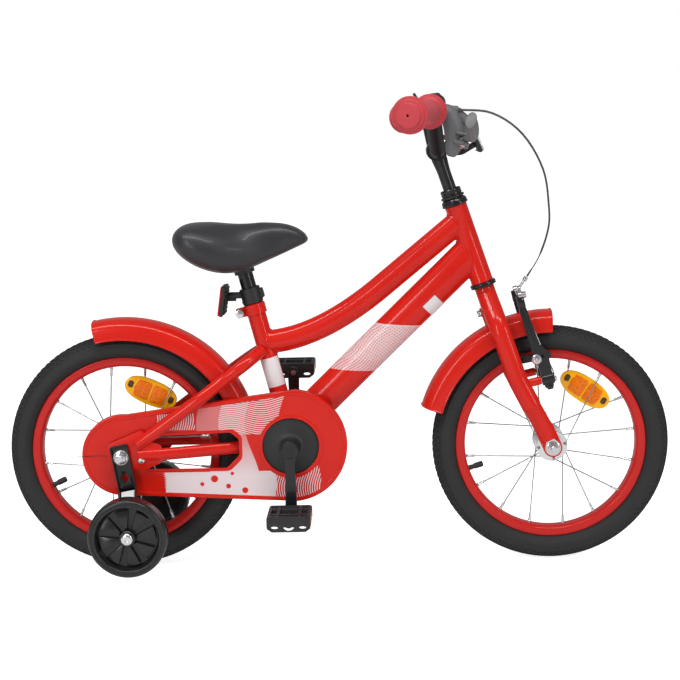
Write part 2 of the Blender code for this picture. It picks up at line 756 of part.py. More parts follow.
def make_main_tubes():
    head_radius = HEAD_TUBE_DIAMETER / 2
    head_place = along(HEAD_BOTTOM, STEER_UP)
    add_piece("head_tube", pipe_mesh("head_tube", head_radius, head_radius - HEAD_TUBE_WALL,
                                     0, HEAD_TUBE_LENGTH), "red_paint", "frame", head_place)

    seat_place = along(CRANK, SEAT_UP)
    seat_radius = SEAT_TUBE_DIAMETER / 2
    seat_tube = add_piece("seat_tube", rod_mesh("seat_tube", seat_radius, 0, SEAT_TUBE_LENGTH),
                          "red_paint", "frame", seat_place)
    half_shell = SHELL_WIDTH / 2
    join(seat_tube, "shell", rod_mesh("shell", SHELL_DIAMETER / 2, -half_shell, half_shell), across(CRANK))
    tab = guard_tab_place()
    join(seat_tube, "guard_tab", box_mesh("guard_tab", tab_size()), tab)
    cut(seat_tube, "shell_bore", rod_mesh("shell_bore", SHELL_BORE / 2, -half_shell - 0.01,
                                          half_shell + 0.01), across(CRANK))
    cut(seat_tube, "seat_bore", rod_mesh("seat_bore", SEAT_POST_DIAMETER / 2 + TOUCH_GAP, 0.01,
                                         SEAT_TUBE_LENGTH + 0.01), seat_place)

    top_size = (TOP_TUBE_HEIGHT, TOP_TUBE_WIDTH)
    down_size = (DOWN_TUBE_HEIGHT, DOWN_TUBE_WIDTH)
    down_tube = add_piece("down_tube", oval_mesh("down_tube", down_tube_route(), *down_size, 0),
                          "red_paint", "frame")
    top_tube = add_piece("top_tube", oval_mesh("top_tube", top_tube_route(), *top_size, 0),
                         "red_paint", "frame")

    for tube, label in ((top_tube, "top"), (down_tube, "down")):
        cut(tube, label + "_at_head", rod_mesh("head", head_radius + TOUCH_GAP, -0.08,
                                               HEAD_TUBE_LENGTH + 0.08), head_place)
        cut(tube, label + "_at_seat", rod_mesh("seat", seat_radius + TOUCH_GAP, -0.005,
                                               SEAT_TUBE_LENGTH + 0.03),
            along(CRANK, SEAT_UP, math.radians(7)))
    cut(down_tube, "down_at_shell", rod_mesh("shell", SHELL_DIAMETER / 2 + TOUCH_GAP, -0.08, 0.08),
        across(CRANK))
    top_long = extended(top_tube_route(), 0.02)
    down_long = extended(down_tube_route(), 0.02)
    cut(down_tube, "down_under_top", oval_mesh("top_room", top_long, *top_size, TOUCH_GAP))
    cut(top_tube, "top_core", oval_mesh("top_core", top_long, *top_size, -MAIN_TUBE_WALL))
    cut(down_tube, "down_core", oval_mesh("down_core", down_long, *down_size, -MAIN_TUBE_WALL))


def tab_size():
    reach = GUARD_OUTER_FACE - GUARD_WALL - GUARD_BEAD_HEIGHT - TOUCH_GAP - 0.004
    return (0.014, reach, 0.004)


def guard_tab_place():
    """A welded tab from the seat tube to the inside of the guard's top edge."""
    size = tab_size()
    touch = GUARD_FRONT_RADIUS - GUARD_WALL - TOUCH_GAP - size[2] / 2
    spot = seat_point(touch - 0.0006)
    spot.y = -size[1] / 2 - 0.004
    return upright(spot, SEAT_UP)


# Rear stays


def dropout_plane():
    return REAR_DROPOUT_SPACING / 2 + DROPOUT_THICKNESS / 2


def chain_stay_route():
    """Right side: from the shell, past the tyre, out to the dropout."""
    plane = dropout_plane()
    run = CHAIN_STAY_RUN
    shell = SHELL_DIAMETER / 2
    return rounded_route([
        REAR_AXLE + Vector((run - shell * 0.55, -0.022, CRANK_RISE * 0.9)),
        REAR_AXLE + Vector((run * 0.76, -0.0288, CRANK_RISE * 0.76)),
        REAR_AXLE + Vector((run * 0.60, -0.0385, CRANK_RISE * 0.6)),
        REAR_AXLE + Vector((run * 0.20, -plane, CRANK_RISE * 0.2)),
        REAR_AXLE + Vector((run * 0.10, -plane, CRANK_RISE * 0.1)),
    ], 0.08, 2)


def stay_top():
    return seat_point(SEAT_STAY_TOP)


def seat_stay_route():
    """Right side: straight outside the chain guard, in beside the mudguard, to the seat tube."""
    plane = GUARD_OUTER_FACE + SEAT_STAY_DIAMETER / 2 + RUNNING_GAP
    top = stay_top()
    line = top - REAR_AXLE
    return rounded_route([
        REAR_AXLE + line * 0.115 - SIDE * plane,
        REAR_AXLE + line * 0.56 - SIDE * plane,
        REAR_AXLE + line * 0.71 - SIDE * (TYRE_SIDE_ROOM + 0.0015),
        REAR_AXLE + line * 0.865 - SIDE * TYRE_SIDE_ROOM,
        REAR_AXLE + line * 0.965 - SIDE * 0.012,
    ], 0.05, 2)


def dropout_outline():
    """A plate round the axle that both stays run into."""
    seat_line = (stay_top() - REAR_AXLE).normalized()
    x, z = REAR_AXLE.x, REAR_AXLE.z
    corners = [(x - 0.020, z - 0.019), (x - 0.020, z + 0.018),
               (x + seat_line.x * 0.048 - 0.009, z + seat_line.z * 0.048 + 0.011),
               (x + seat_line.x * 0.048 + 0.007, z + seat_line.z * 0.048 - 0.008),
               (x + 0.058, z + 0.016), (x + 0.058, z - 0.009), (x + 0.034, z - 0.019)]
    return rounded_outline(corners, 0.004, 1)


def make_stays():
    for side, label in ((-1, "right"), (1, "left")):
        chain_route = chain_stay_route()
        seat_route = seat_stay_route()
        if side > 0:
            chain_route = mirrored(chain_route)
            seat_route = mirrored(seat_route)
        chain_height = CHAIN_STAY_HEIGHT / 2
        squeeze = CHAIN_STAY_WIDTH / CHAIN_STAY_HEIGHT
        chain_stay = add_piece("chain_stay_" + label,
                               tube_mesh("chain_stay_" + label, chain_route, chain_height, 2,
                                         flatten=squeeze), "red_paint", "frame")
        join(chain_stay, "dropout_" + label,
             plate_mesh("dropout", dropout_outline(), DROPOUT_THICKNESS),
             side_plane(side * dropout_plane()))
        shell_room = rod_mesh("shell_room", SHELL_DIAMETER / 2 + TOUCH_GAP, -0.05, 0.05)
        cut(chain_stay, "stay_at_shell_" + label, shell_room, across(CRANK))
        cut(chain_stay, "axle_hole_" + label,
            rod_mesh("axle_hole", AXLE_RADIUS + TOUCH_GAP, -0.1, 0.1, SMALL_STEPS), across(REAR_AXLE))

        seat_stay = add_piece("seat_stay_" + label,
                              tube_mesh("seat_stay_" + label, seat_route, SEAT_STAY_DIAMETER / 2, 2),
                              "red_paint", "frame")
        if side > 0:
            line = stay_top() - REAR_AXLE
            bridge_at = REAR_AXLE + line.normalized() * bridge_radius()
            join(seat_stay, "bridge",
                 rod_mesh("bridge", BRIDGE_DIAMETER / 2, -TYRE_SIDE_ROOM, TYRE_SIDE_ROOM, SMALL_STEPS),
                 across(bridge_at))
            room = tube_mesh("stay_room", seat_stay_route(), SEAT_STAY_DIAMETER / 2 + TOUCH_GAP, 2)
            cut(seat_stay, "bridge_end", room)
        plate_room = plate_mesh("plate_room", dropout_outline(), DROPOUT_THICKNESS + 2 * TOUCH_GAP)
        widen_plate(plate_room)
        cut(seat_stay, "seat_stay_at_dropout_" + label, plate_room, side_plane(side * dropout_plane()))
        cut(seat_stay, "seat_stay_at_chain_stay_" + label,
            tube_mesh("chain_room", chain_route, chain_height + TOUCH_GAP, 2, flatten=squeeze * 1.01))
        cut(seat_stay, "stay_at_seat_" + label,
            rod_mesh("seat_room", SEAT_TUBE_DIAMETER / 2 + TOUCH_GAP, 0, SEAT_TUBE_LENGTH),
            along(CRANK, SEAT_UP))


def widen_plate(mesh):
    """Grows a plate's outline a little about the axle, for a cut with clearance."""
    centre = Vector((REAR_AXLE.x, REAR_AXLE.z))
    for vert in mesh.vertices:
        away = Vector((vert.co.x, vert.co.y)) - centre
        grown = centre + away * (1 + TOUCH_GAP * 1.5 / max(away.length, 0.01))
        vert.co.x = grown.x
        vert.co.y = grown.y


def bridge_radius():
    return MUDGUARD_RADIUS + (MUDGUARD_THICKNESS + BRIDGE_DIAMETER) / 2 + TOUCH_GAP


# Seat post, clamp and saddle


def make_seat():
    seat_radius = SEAT_TUBE_DIAMETER / 2
    clamp_place = along(seat_point(SEAT_TUBE_LENGTH - 0.016), SEAT_UP)
    clamp = add_piece("seat_clamp", pipe_mesh("seat_clamp", seat_radius + 0.0025,
                                              seat_radius + TOUCH_GAP, 0, 0.0155),
                      "red_paint", "frame", clamp_place)
    ears_at = seat_point(SEAT_TUBE_LENGTH - 0.0085, -seat_radius - 0.006)
    join(clamp, "clamp_ears", box_mesh("clamp_ears", (0.016, 0.012, 0.014), 0.002),
         upright(ears_at, SEAT_UP))
    bolt = turned_mesh("clamp_bolt", [(0, -0.014), (0.0062, -0.014), (0.0062, -0.0085), (0.003, -0.0085),
                                      (0.003, 0.0085), (0.0055, 0.0085), (0.0055, 0.013), (0, 0.013)],
                       SMALL_STEPS, closed=False)
    join(clamp, "clamp_bolt", bolt, across(ears_at - SEAT_AHEAD * 0.003))
    cut(clamp, "clamp_bore", rod_mesh("clamp_bore", seat_radius + TOUCH_GAP, -0.01, 0.03), clamp_place)

    post_radius = SEAT_POST_DIAMETER / 2
    post_top = SADDLE_ABOVE_SEAT_TUBE + SOCKET_DEPTH
    add_piece("seat_post", pipe_mesh("seat_post", post_radius, post_radius - 0.002,
                                     -SEAT_POST_INSERTION, post_top),
              "black_paint", "seat_post", along(seat_point(SEAT_TUBE_LENGTH), SEAT_UP))
    make_rear_reflector()
    make_saddle()


def make_rear_reflector():
    """A clamp on the post, an arm behind it and a tilted lens with its backing."""
    post_radius = SEAT_POST_DIAMETER / 2
    clamp_height = 0.024
    low = SEAT_TUBE_LENGTH + TOUCH_GAP
    reflector = add_piece("rear_reflector",
                          pipe_mesh("rear_reflector", post_radius + 0.004, post_radius + TOUCH_GAP,
                                    0, clamp_height), "black_plastic", "seat_post",
                          along(seat_point(low), SEAT_UP))
    arm_at = seat_point(low + 0.0185, -0.025)
    join(reflector, "reflector_arm", box_mesh("reflector_arm", (0.030, 0.010, 0.009)),
         Matrix.Translation(arm_at))
    plate_at = seat_point(low + 0.0154, -0.0405)
    tilt = Matrix.Rotation(-0.145, 4, 'Y')
    join(reflector, "reflector_plate", box_mesh("reflector_plate", (0.010, 0.054, 0.044), 0.003),
         Matrix.Translation(plate_at) @ tilt.inverted())
    cut(reflector, "reflector_bore", rod_mesh("reflector_bore", post_radius + TOUCH_GAP, -0.02, 0.05),
        along(seat_point(low), SEAT_UP))


def saddle_section(index):
    """Share of the length, width share, top and bottom of one ring of the saddle."""
    stations = (
        (0.00, 0.66, 0.78, 0.57),
        (0.05, 0.90, 0.935, 0.355),
        (0.17, 1.02, 1.00, 0.125),
        (0.34, 0.95, 0.92, -0.04),
        (0.50, 0.72, 0.887, -0.007),
        (0.66, 0.50, 0.907, 0.19),
        (0.82, 0.38, 0.935, 0.37),
        (0.94, 0.36, 0.82, 0.505),
        (1.00, 0.28, 0.635, 0.53),
    )
    share, width, top, bottom = stations[index]
    return share, width, top * SADDLE_CROWN, bottom * SADDLE_CROWN


def make_saddle():
    """A lofted cage of rings round the saddle's length, then subdivided."""
    base = seat_point(SEAT_TUBE_LENGTH + SADDLE_ABOVE_SEAT_TUBE)
    tail_x = base.x - SADDLE_TAIL
    ring_shape = ((0.0, 1.0), (0.55, 0.97), (0.93, 0.74), (1.0, 0.36), (0.78, 0.0), (0.0, 0.02))
    cage = bmesh.new()
    rings = []
    for index in range(9):
        share, width_share, top, bottom = saddle_section(index)
        half_width = SADDLE_WIDTH / 2 * width_share
        x = tail_x + SADDLE_LENGTH * share
        ring = []
        for across_share, height_share in ring_shape:
            z = base.z + bottom + (top - bottom) * height_share
            ring.append(cage.verts.new((x, -half_width * across_share, z)))
        for across_share, height_share in ring_shape[-2:0:-1]:
            z = base.z + bottom + (top - bottom) * height_share
            ring.append(cage.verts.new((x, half_width * across_share, z)))
        rings.append(ring)
    for ring, following in zip(rings, rings[1:]):
        for index in range(len(ring)):
            after = (index + 1) % len(ring)
            cage.faces.new((ring[index], ring[after], following[after], following[index]))
    cage.faces.new(rings[0])
    cage.faces.new(rings[-1][::-1])
    bmesh.ops.recalc_face_normals(cage, faces=cage.faces)
    mesh = bpy.data.meshes.new("saddle")
    cage.to_mesh(mesh)
    cage.free()
    saddle = add_piece("saddle", mesh, "saddle_vinyl", "seat_post")
    soften = saddle.modifiers.new("Subdivision", 'SUBSURF')
    soften.levels = 1
    soften.render_levels = 1
    cut(saddle, "post_socket",
        rod_mesh("post_socket", SEAT_POST_DIAMETER / 2 + TOUCH_GAP, -0.05,
                 SADDLE_ABOVE_SEAT_TUBE + SOCKET_DEPTH + TOUCH_GAP, PIPE_STEPS),
        along(seat_point(SEAT_TUBE_LENGTH), SEAT_UP))


# Headset, fork and stem


def make_headset():
    place = along(HEAD_BOTTOM, STEER_UP)
    bore = STEERER_DIAMETER / 2 + RUNNING_GAP
    add_piece("headset_lower_cup",
              turned_mesh("headset_lower_cup",
                          [(bore, -TOUCH_GAP), (CUP_RADIUS - 0.002, -TOUCH_GAP), (CUP_RADIUS, -0.0015),
                           (CUP_RADIUS, -LOWER_CUP_HEIGHT + 0.001),
                           (CUP_RADIUS - 0.001, -LOWER_CUP_HEIGHT), (bore, -LOWER_CUP_HEIGHT)]),
              "black_paint", "frame", place)
    low = HEAD_TUBE_LENGTH + TOUCH_GAP
    high = HEAD_TUBE_LENGTH + UPPER_CUP_HEIGHT
    add_piece("headset_upper_cup",
              turned_mesh("headset_upper_cup",
                          [(bore, low), (CUP_RADIUS - 0.001, low), (CUP_RADIUS, low + 0.002),
                           (CUP_RADIUS, low + 0.005), (CUP_RADIUS - 0.004, high), (bore, high)]),
              "black_paint", "frame", place)
    base = high + RUNNING_GAP
    nut_bore = STEERER_DIAMETER / 2 + TOUCH_GAP
    add_piece("headset_locknut",
              turned_mesh("headset_locknut",
                          [(nut_bore, base), (LOCKNUT_RADIUS + 0.002, base),
                           (LOCKNUT_RADIUS + 0.002, base + 0.003), (LOCKNUT_RADIUS, base + 0.004),
                           (LOCKNUT_RADIUS, base + LOCKNUT_HEIGHT - 0.001),
                           (LOCKNUT_RADIUS - 0.001, base + LOCKNUT_HEIGHT),
                           (nut_bore, base + LOCKNUT_HEIGHT)]),
              "black_paint", "steering", place)


def blade_route(side):
    """From the crown, out past the wheel, down and forward to the axle."""
    half = BLADE_SPACING / 2
    shoulder = FORK_LENGTH - MUDGUARD_RADIUS + BLADE_SHOULDER_UNDER_MUDGUARD
    points = [steer_point(-0.019, 0, side * 0.006),
              steer_point(-shoulder, 0, side * half),
              steer_point(-FORK_LENGTH * 0.57, 0, side * half),
              steer_point(-FORK_LENGTH * 0.74, FORK_RAKE * 0.42, side * half),
              steer_point(-FORK_LENGTH * 0.90, FORK_RAKE * 0.90, side * half),
              steer_point(-FORK_LENGTH + 0.013, FORK_RAKE * 0.98, side * half)]
    return rounded_route(points, 0.045, 2)


def brake_boss(side):
    drop = FORK_LENGTH - BRAKE_BOSS_ABOVE_AXLE
    return steer_point(-drop, BRAKE_BOSS_AHEAD, side * BRAKE_BOSS_SPACING / 2)


def boss_way():
    """The pins of the brake arms point forward, square to the arms."""
    tilt = math.radians(12.9)
    return Vector((math.cos(tilt), 0, math.sin(tilt)))


def arm_up():
    tilt = math.radians(12.9)
    return Vector((-math.sin(tilt), 0, math.cos(tilt)))


def make_fork():
    place = along(HEAD_BOTTOM, STEER_UP)
    steerer_top = HEAD_TUBE_LENGTH + UPPER_CUP_HEIGHT + LOCKNUT_HEIGHT
    steerer = STEERER_DIAMETER / 2
    crown_top = -LOWER_CUP_HEIGHT - RUNNING_GAP
    crown_foot = MUDGUARD_RADIUS + CROWN_OVER_MUDGUARD - FORK_LENGTH
    profile = [(0, crown_foot), (CROWN_RADIUS * 0.8, crown_foot), (CROWN_RADIUS, crown_foot + 0.007),
               (CROWN_RADIUS, crown_top),
               (steerer, crown_top), (steerer, steerer_top), (0, steerer_top)]
    fork = add_piece("fork", turned_mesh("fork", profile, closed=False), "red_paint", "steering", place)
    for side, label in ((-1, "right"), (1, "left")):
        squeeze = BLADE_WIDTH / BLADE_HEIGHT
        blade = tube_mesh("blade_" + label, blade_route(side), BLADE_HEIGHT / 2, 2, flatten=squeeze)
        join(fork, "blade_" + label, blade)
        plane = side * (FRONT_DROPOUT_SPACING + FORK_TAB_THICKNESS) / 2
        join(fork, "fork_tab_" + label, plate_mesh("fork_tab", fork_tab_outline(), FORK_TAB_THICKNESS),
             side_plane(plane))
        pin = turned_mesh("brake_pin", [(0, -0.026), (0.0060, -0.026), (0.0060, -TOUCH_GAP),
                                        (BRAKE_PIN_RADIUS, -TOUCH_GAP), (BRAKE_PIN_RADIUS, 0.0184),
                                        (0.0055, 0.0184), (0.0055, 0.0215), (0, 0.0215)],
                          SMALL_STEPS, closed=False)
        join(fork, "brake_pin_" + label, pin, along(brake_boss(side), boss_way()))
    cut(fork, "steerer_bore", rod_mesh("steerer_bore", STEM_DIAMETER / 2 + TOUCH_GAP, -0.012,
                                       steerer_top + 0.01), place)
    cut(fork, "fork_axle_hole", rod_mesh("fork_axle_hole", AXLE_RADIUS + TOUCH_GAP, -0.1, 0.1,
                                         SMALL_STEPS), across(FRONT_AXLE))


def fork_tab_outline():
    """The flattened end of each blade, round at the axle."""
    x, z = FRONT_AXLE.x, FRONT_AXLE.z
    lean = math.atan2(STEER_UP.z, STEER_UP.x) + math.radians(5)
    end = arc(x, z, 0.0135, lean + math.pi / 2, lean + math.pi * 3 / 2, 6)
    up = Vector((math.cos(lean), math.sin(lean)))
    left = end[0]
    right = end[-1]
    return [(left[0] + up.x * 0.034, left[1] + up.y * 0.034), *end,
            (right[0] + up.x * 0.034, right[1] + up.y * 0.034)]


def make_stem():
    place = along(HEAD_BOTTOM, STEER_UP)
    foot = HEAD_TUBE_LENGTH - STEM_INSERTION + 0.03
    stem = add_piece("stem", turned_mesh("stem",
                                         [(0, foot), (STEM_DIAMETER / 2, foot),
                                          (STEM_DIAMETER / 2, STEM_REACH - 0.028),
                                          (STEM_DIAMETER / 2 + 0.002, STEM_REACH - 0.012),
                                          (STEM_DIAMETER / 2 + 0.002, STEM_REACH), (0, STEM_REACH)],
                                         closed=False), "black_paint", "steering", place)
    centre = steer_point(STEM_REACH)
    half = STEM_HEAD_WIDTH / 2
    join(stem, "stem_head", rod_mesh("stem_head", STEM_HEAD_RADIUS, -half, half), across(centre))
    pinch_at = steer_point(STEM_REACH + 0.011, 0.012)
    join(stem, "stem_pinch", box_mesh("stem_pinch", (0.014, 0.030, 0.013), 0.002),
         upright(pinch_at, STEER_UP))
    cut(stem, "bar_bore", rod_mesh("bar_bore", HANDLEBAR_DIAMETER / 2 + TOUCH_GAP, -0.05, 0.05),
        across(centre))


# Handlebar and what it carries


def bar_half_route():
    """Left half of the bar from its middle to its end."""
    centre = steer_point(STEM_REACH)
    return [centre,
            centre + Vector((0, HANDLEBAR_FLAT, 0)),
            centre + Vector((-0.009, HANDLEBAR_SHOULDER, HANDLEBAR_RISE)),
            grip_start(1),
            grip_end(1)]


def grip_start(side):
    return steer_point(STEM_REACH) + Vector((-0.011, side * GRIP_START, HANDLEBAR_RISE))


def grip_end(side):
    outward = Vector((-0.011 - GRIP_SWEEP, side * GRIP_END_SIDE, HANDLEBAR_RISE - GRIP_DROP))
    return steer_point(STEM_REACH) + outward


def bar_route():
    left = rounded_route(bar_half_route(), 0.026, 2)
    return mirrored(left)[:0:-1] + left


def make_handlebar():
    route = bar_route()
    bar = add_piece("handlebar", tube_mesh("handlebar", route, HANDLEBAR_DIAMETER / 2, 2),
                    "black_paint", "steering")
    core = tube_mesh("handlebar_core", extended(route, 0.01), HANDLEBAR_DIAMETER / 2 - HANDLEBAR_WALL, 1)
    cut(bar, "handlebar_core", core)
    for side, label in ((-1, "right"), (1, "left")):
        start = grip_start(side)
        way = (grip_end(side) - start).normalized()
        bore = HANDLEBAR_DIAMETER / 2 + TOUCH_GAP
        flange = GRIP_FLANGE_RADIUS
        end = GRIP_LENGTH + TOUCH_GAP + 0.006
        first = 0.0055
        profile = [(bore, first), (GRIP_INNER_FLANGE_RADIUS, first),
                   (GRIP_INNER_FLANGE_RADIUS, first + 0.004), (GRIP_RADIUS + 0.001, first + 0.007),
                   (GRIP_RADIUS, 0.050), (GRIP_RADIUS, end - 0.019),
                   (flange, end - 0.013), (flange, end - 0.008), (flange - 0.005, end - 0.006),
                   (flange - 0.006, end - 0.003), (flange - 0.010, end), (0.0016, end),
                   (0.0016, GRIP_LENGTH + TOUCH_GAP), (bore, GRIP_LENGTH + TOUCH_GAP)]
        add_piece("grip_" + label, turned_mesh("grip_" + label, profile, 14), "grip_rubber",
                  "steering", along(start, way))


def bar_point(side_distance, side):
    """A point on the bar's straight rise or shoulder at a distance from the middle."""
    centre = steer_point(STEM_REACH)
    low = Vector((0, HANDLEBAR_FLAT, 0))
    high = Vector((-0.009, HANDLEBAR_SHOULDER, HANDLEBAR_RISE))
    share = (side_distance - HANDLEBAR_FLAT) / (HANDLEBAR_SHOULDER - HANDLEBAR_FLAT)
    spot = low.lerp(high, share)
    return centre + Vector((spot.x, side * spot.y, spot.z))


def bar_way():
    return Vector((-0.009, HANDLEBAR_SHOULDER - HANDLEBAR_FLAT, HANDLEBAR_RISE)).normalized()


def lever_clamp_centre():
    return (grip_start(-1) + steer_point(STEM_REACH)
            + Vector((-0.009, -HANDLEBAR_SHOULDER, HANDLEBAR_RISE))) / 2


def lever_pivot():
    return lever_clamp_centre() + Vector((0.041, -0.011, -0.040))


def lever_place():
    """At the pivot: local Y runs out along the lever and Z is the axis it swings on."""
    blade = Vector((0.065, -0.94, 0.335)).normalized()
    swing = Vector((-0.97, 0, 0.22))
    axis = blade.cross(swing).normalized()
    return basis_place(lever_pivot(), blade.cross(axis), blade, axis)


def make_brake_lever():
    centre = lever_clamp_centre()
    bar_radius = HANDLEBAR_DIAMETER / 2
    shoulder = steer_point(STEM_REACH) + Vector((-0.009, -HANDLEBAR_SHOULDER, HANDLEBAR_RISE))
    way = (grip_start(-1) - shoulder).normalized()
    bracket = add_piece("brake_lever_bracket",
                        pipe_mesh("brake_lever_bracket", bar_radius + 0.0045, bar_radius + TOUCH_GAP,
                                  -0.0055, 0.0055), "grey_plastic", "steering", along(centre, way))
    body = tube_mesh("lever_body", rounded_route([
        centre + Vector((0.0205, -0.002, 0.001)), centre + Vector((0.027, -0.003, -0.020)),
        centre + Vector((0.028, -0.004, -0.058))], 0.03, 2), 0.0115, 2,
        radii=[0.0085, 0.0105, 0.0112, 0.0112, 0.0065])
    join(bracket, "lever_body", body)
    place = lever_place()
    join(bracket, "lever_fork", box_mesh("lever_fork", (0.020, 0.020, 0.016), 0.002), place)
    cut(bracket, "lever_slot", box_mesh("lever_slot", (0.029, 0.030, 0.0078)),
        place @ Matrix.Translation((0.0050, 0.0060, 0)))
    join(bracket, "lever_pin", rod_mesh("lever_pin", 0.0022, -0.0085, 0.0085, 8), place)

    local_route = [(0.001, 0.004, 0), (0.006, 0.018, 0.001), (0.010, 0.038, 0.003),
                   (0.007, 0.060, 0.002), (0.001, 0.080, 0)]
    route = smooth_route([place @ Vector(point) for point in local_route], 3)
    radii = [0.0045, 0.0045, 0.005] + [0.0062] * (len(route) - 6) + [0.0068, 0.0075, 0.0060]
    lever = add_piece("brake_lever", tube_mesh("brake_lever", route, 0.0060, 1, radii),
                      "grey_plastic", "brake_lever")
    join(lever, "lever_root", rod_mesh("lever_root", 0.0075, -0.0034, 0.0034, SMALL_STEPS), place)
    for sign, label in ((-1, "below"), (1, "above")):
        cut(lever, "root_" + label, box_mesh("root_" + label, (0.034, 0.030, 0.01)),
            place @ Matrix.Translation((0, 0, sign * (0.005 + 0.0034))))
    cut(lever, "lever_hole", rod_mesh("lever_hole", 0.0022 + RUNNING_GAP, -0.02, 0.02, 8), place)


def make_bell():
    spot = bar_point(BELL_SIDE, 1)
    way = bar_way()
    bar_radius = HANDLEBAR_DIAMETER / 2
    base = add_piece("bell_base", pipe_mesh("bell_base", bar_radius + 0.003, bar_radius + TOUCH_GAP,
                                            -0.0045, 0.0045, 12), "black_plastic", "steering",
                     along(spot, way))
    place = along(bell_seat(), bell_up())
    drum = turned_mesh("bell_drum", [(0, -0.012), (0.006, -0.012), (0.008, -0.004), (0.0125, -0.004),
                                     (0.0125, 0.0032), (0.002, 0.0032), (0.002, 0.0185), (0, 0.0185)],
                       SMALL_STEPS, closed=False)
    join(base, "bell_drum", drum, place)
    cut(base, "bell_bar_room", rod_mesh("bell_bar_room", bar_radius + TOUCH_GAP, -0.02, 0.02),
        along(spot, way))
    slot_place = along(bell_lever_pivot(), bell_up())
    cut(base, "bell_slot", rod_mesh("bell_slot", 0.0088, -0.0016, 0.0016, SMALL_STEPS), slot_place)
    join(base, "bell_pin", rod_mesh("bell_pin", 0.0012, -0.003, 0.003, 8), slot_place)
    radius = BELL_RADIUS
    skin = 0.0012
    height = 0.0145
    foot = 0.0036
    outer = [(0.0045, foot + height), (radius * 0.62, foot + height * 0.84),
             (radius * 0.90, foot + height * 0.48), (radius, foot)]
    inner = [(radius - skin, foot), (radius * 0.90 - skin, foot + height * 0.48 - skin * 0.6),
             (radius * 0.62 - skin * 0.6, foot + height * 0.84 - skin)]
    bore = 0.002 + TOUCH_GAP
    dome = [(bore, foot + height)] + outer + inner + [(bore, foot + height - skin)]
    add_piece("bell_dome", turned_mesh("bell_dome", dome, 16), "black_paint", "steering", place)
    lever = add_piece("bell_lever",
                      turned_mesh("bell_lever", [(0.0012 + RUNNING_GAP, -0.0011), (0.0060, -0.0011),
                                                 (0.0060, 0.0011), (0.0012 + RUNNING_GAP, 0.0011)],
                                  SMALL_STEPS), "black_plastic", "bell_lever", slot_place)
    back = bell_back()
    pivot = bell_lever_pivot()
    thumb = [pivot + back * 0.0045, pivot + back * 0.015, pivot + back * 0.027 + bell_up() * 0.0075]
    join(lever, "bell_thumb", tube_mesh("bell_thumb", thumb, 0.0014, 1, radii=[0.0009, 0.0014, 0.0030]))


def bell_up():
    tilt = math.radians(18.7)
    return Vector((math.sin(tilt), 0, math.cos(tilt)))


def bell_back():
    return SIDE.cross(bell_up()) * -1


def bell_seat():
    return bar_point(BELL_SIDE, 1) + Vector((0.0095, 0.0015, 0.0190))


def bell_lever_pivot():
    return bell_seat() + bell_back() * 0.0072


def cable_route():
    """The housing from the lever, forward in an arc, down to the guide on the front brake."""
    start = lever_clamp_centre() + Vector((0.0345, -0.003, 0.0015))
    end = noodle_route()[0]
    return [start,
            start + Vector((0.022, 0.004, 0.001)),
            steer_point(0.2264, 0.0839, -0.120),
            steer_point(0.1836, 0.1157, -0.090),
            steer_point(0.1263, 0.1303, -0.048),
            steer_point(0.0733, 0.1249, -0.010),
            steer_point(0.0394, 0.1156, 0.016),
            steer_point(0.0032, 0.0926, 0.044),
            end + Vector((0.0006, 0, 0.0009))]


def noodle_route():
    """A bent metal pipe: down, then across the top of the left brake arm."""
    tie = brake_tie_centre()
    return [tie + Vector((0.016, 0.058, 0.021)),
            tie + Vector((0.004, 0.0575, 0.004)),
            tie + Vector((0, 0.052, 0)),
            tie + Vector((0, 0.026, 0))]


def brake_tie_centre():
    """The middle of the cable that ties the two brake arms together."""
    spot = brake_boss(1) + arm_up() * 0.121
    return Vector((spot.x, 0, spot.z))


def make_cable():
    route = smooth_route(cable_route(), 4)
    cable = add_piece("brake_cable", tube_mesh("brake_cable", route, 0.0021, 1),
                      "cable_housing", "steering")
    ferrule_at = route[0]
    join(cable, "cable_ferrule", rod_mesh("cable_ferrule", 0.0034, 0.0, 0.010, 8),
         along(ferrule_at, route[1] - route[0]))


# Front brake


def arm_profile():
    """Side view of a brake arm: (along the arm, ahead of its middle line)."""
    return [(-0.0050, 0.0012), (0.028, 0.0002), (0.044, -0.0042), (0.108, -0.0080), (0.110, 0.0022),
            (0.052, 0.0090), (0.041, 0.0170), (0.022, 0.0175), (-0.0050, 0.0166)]


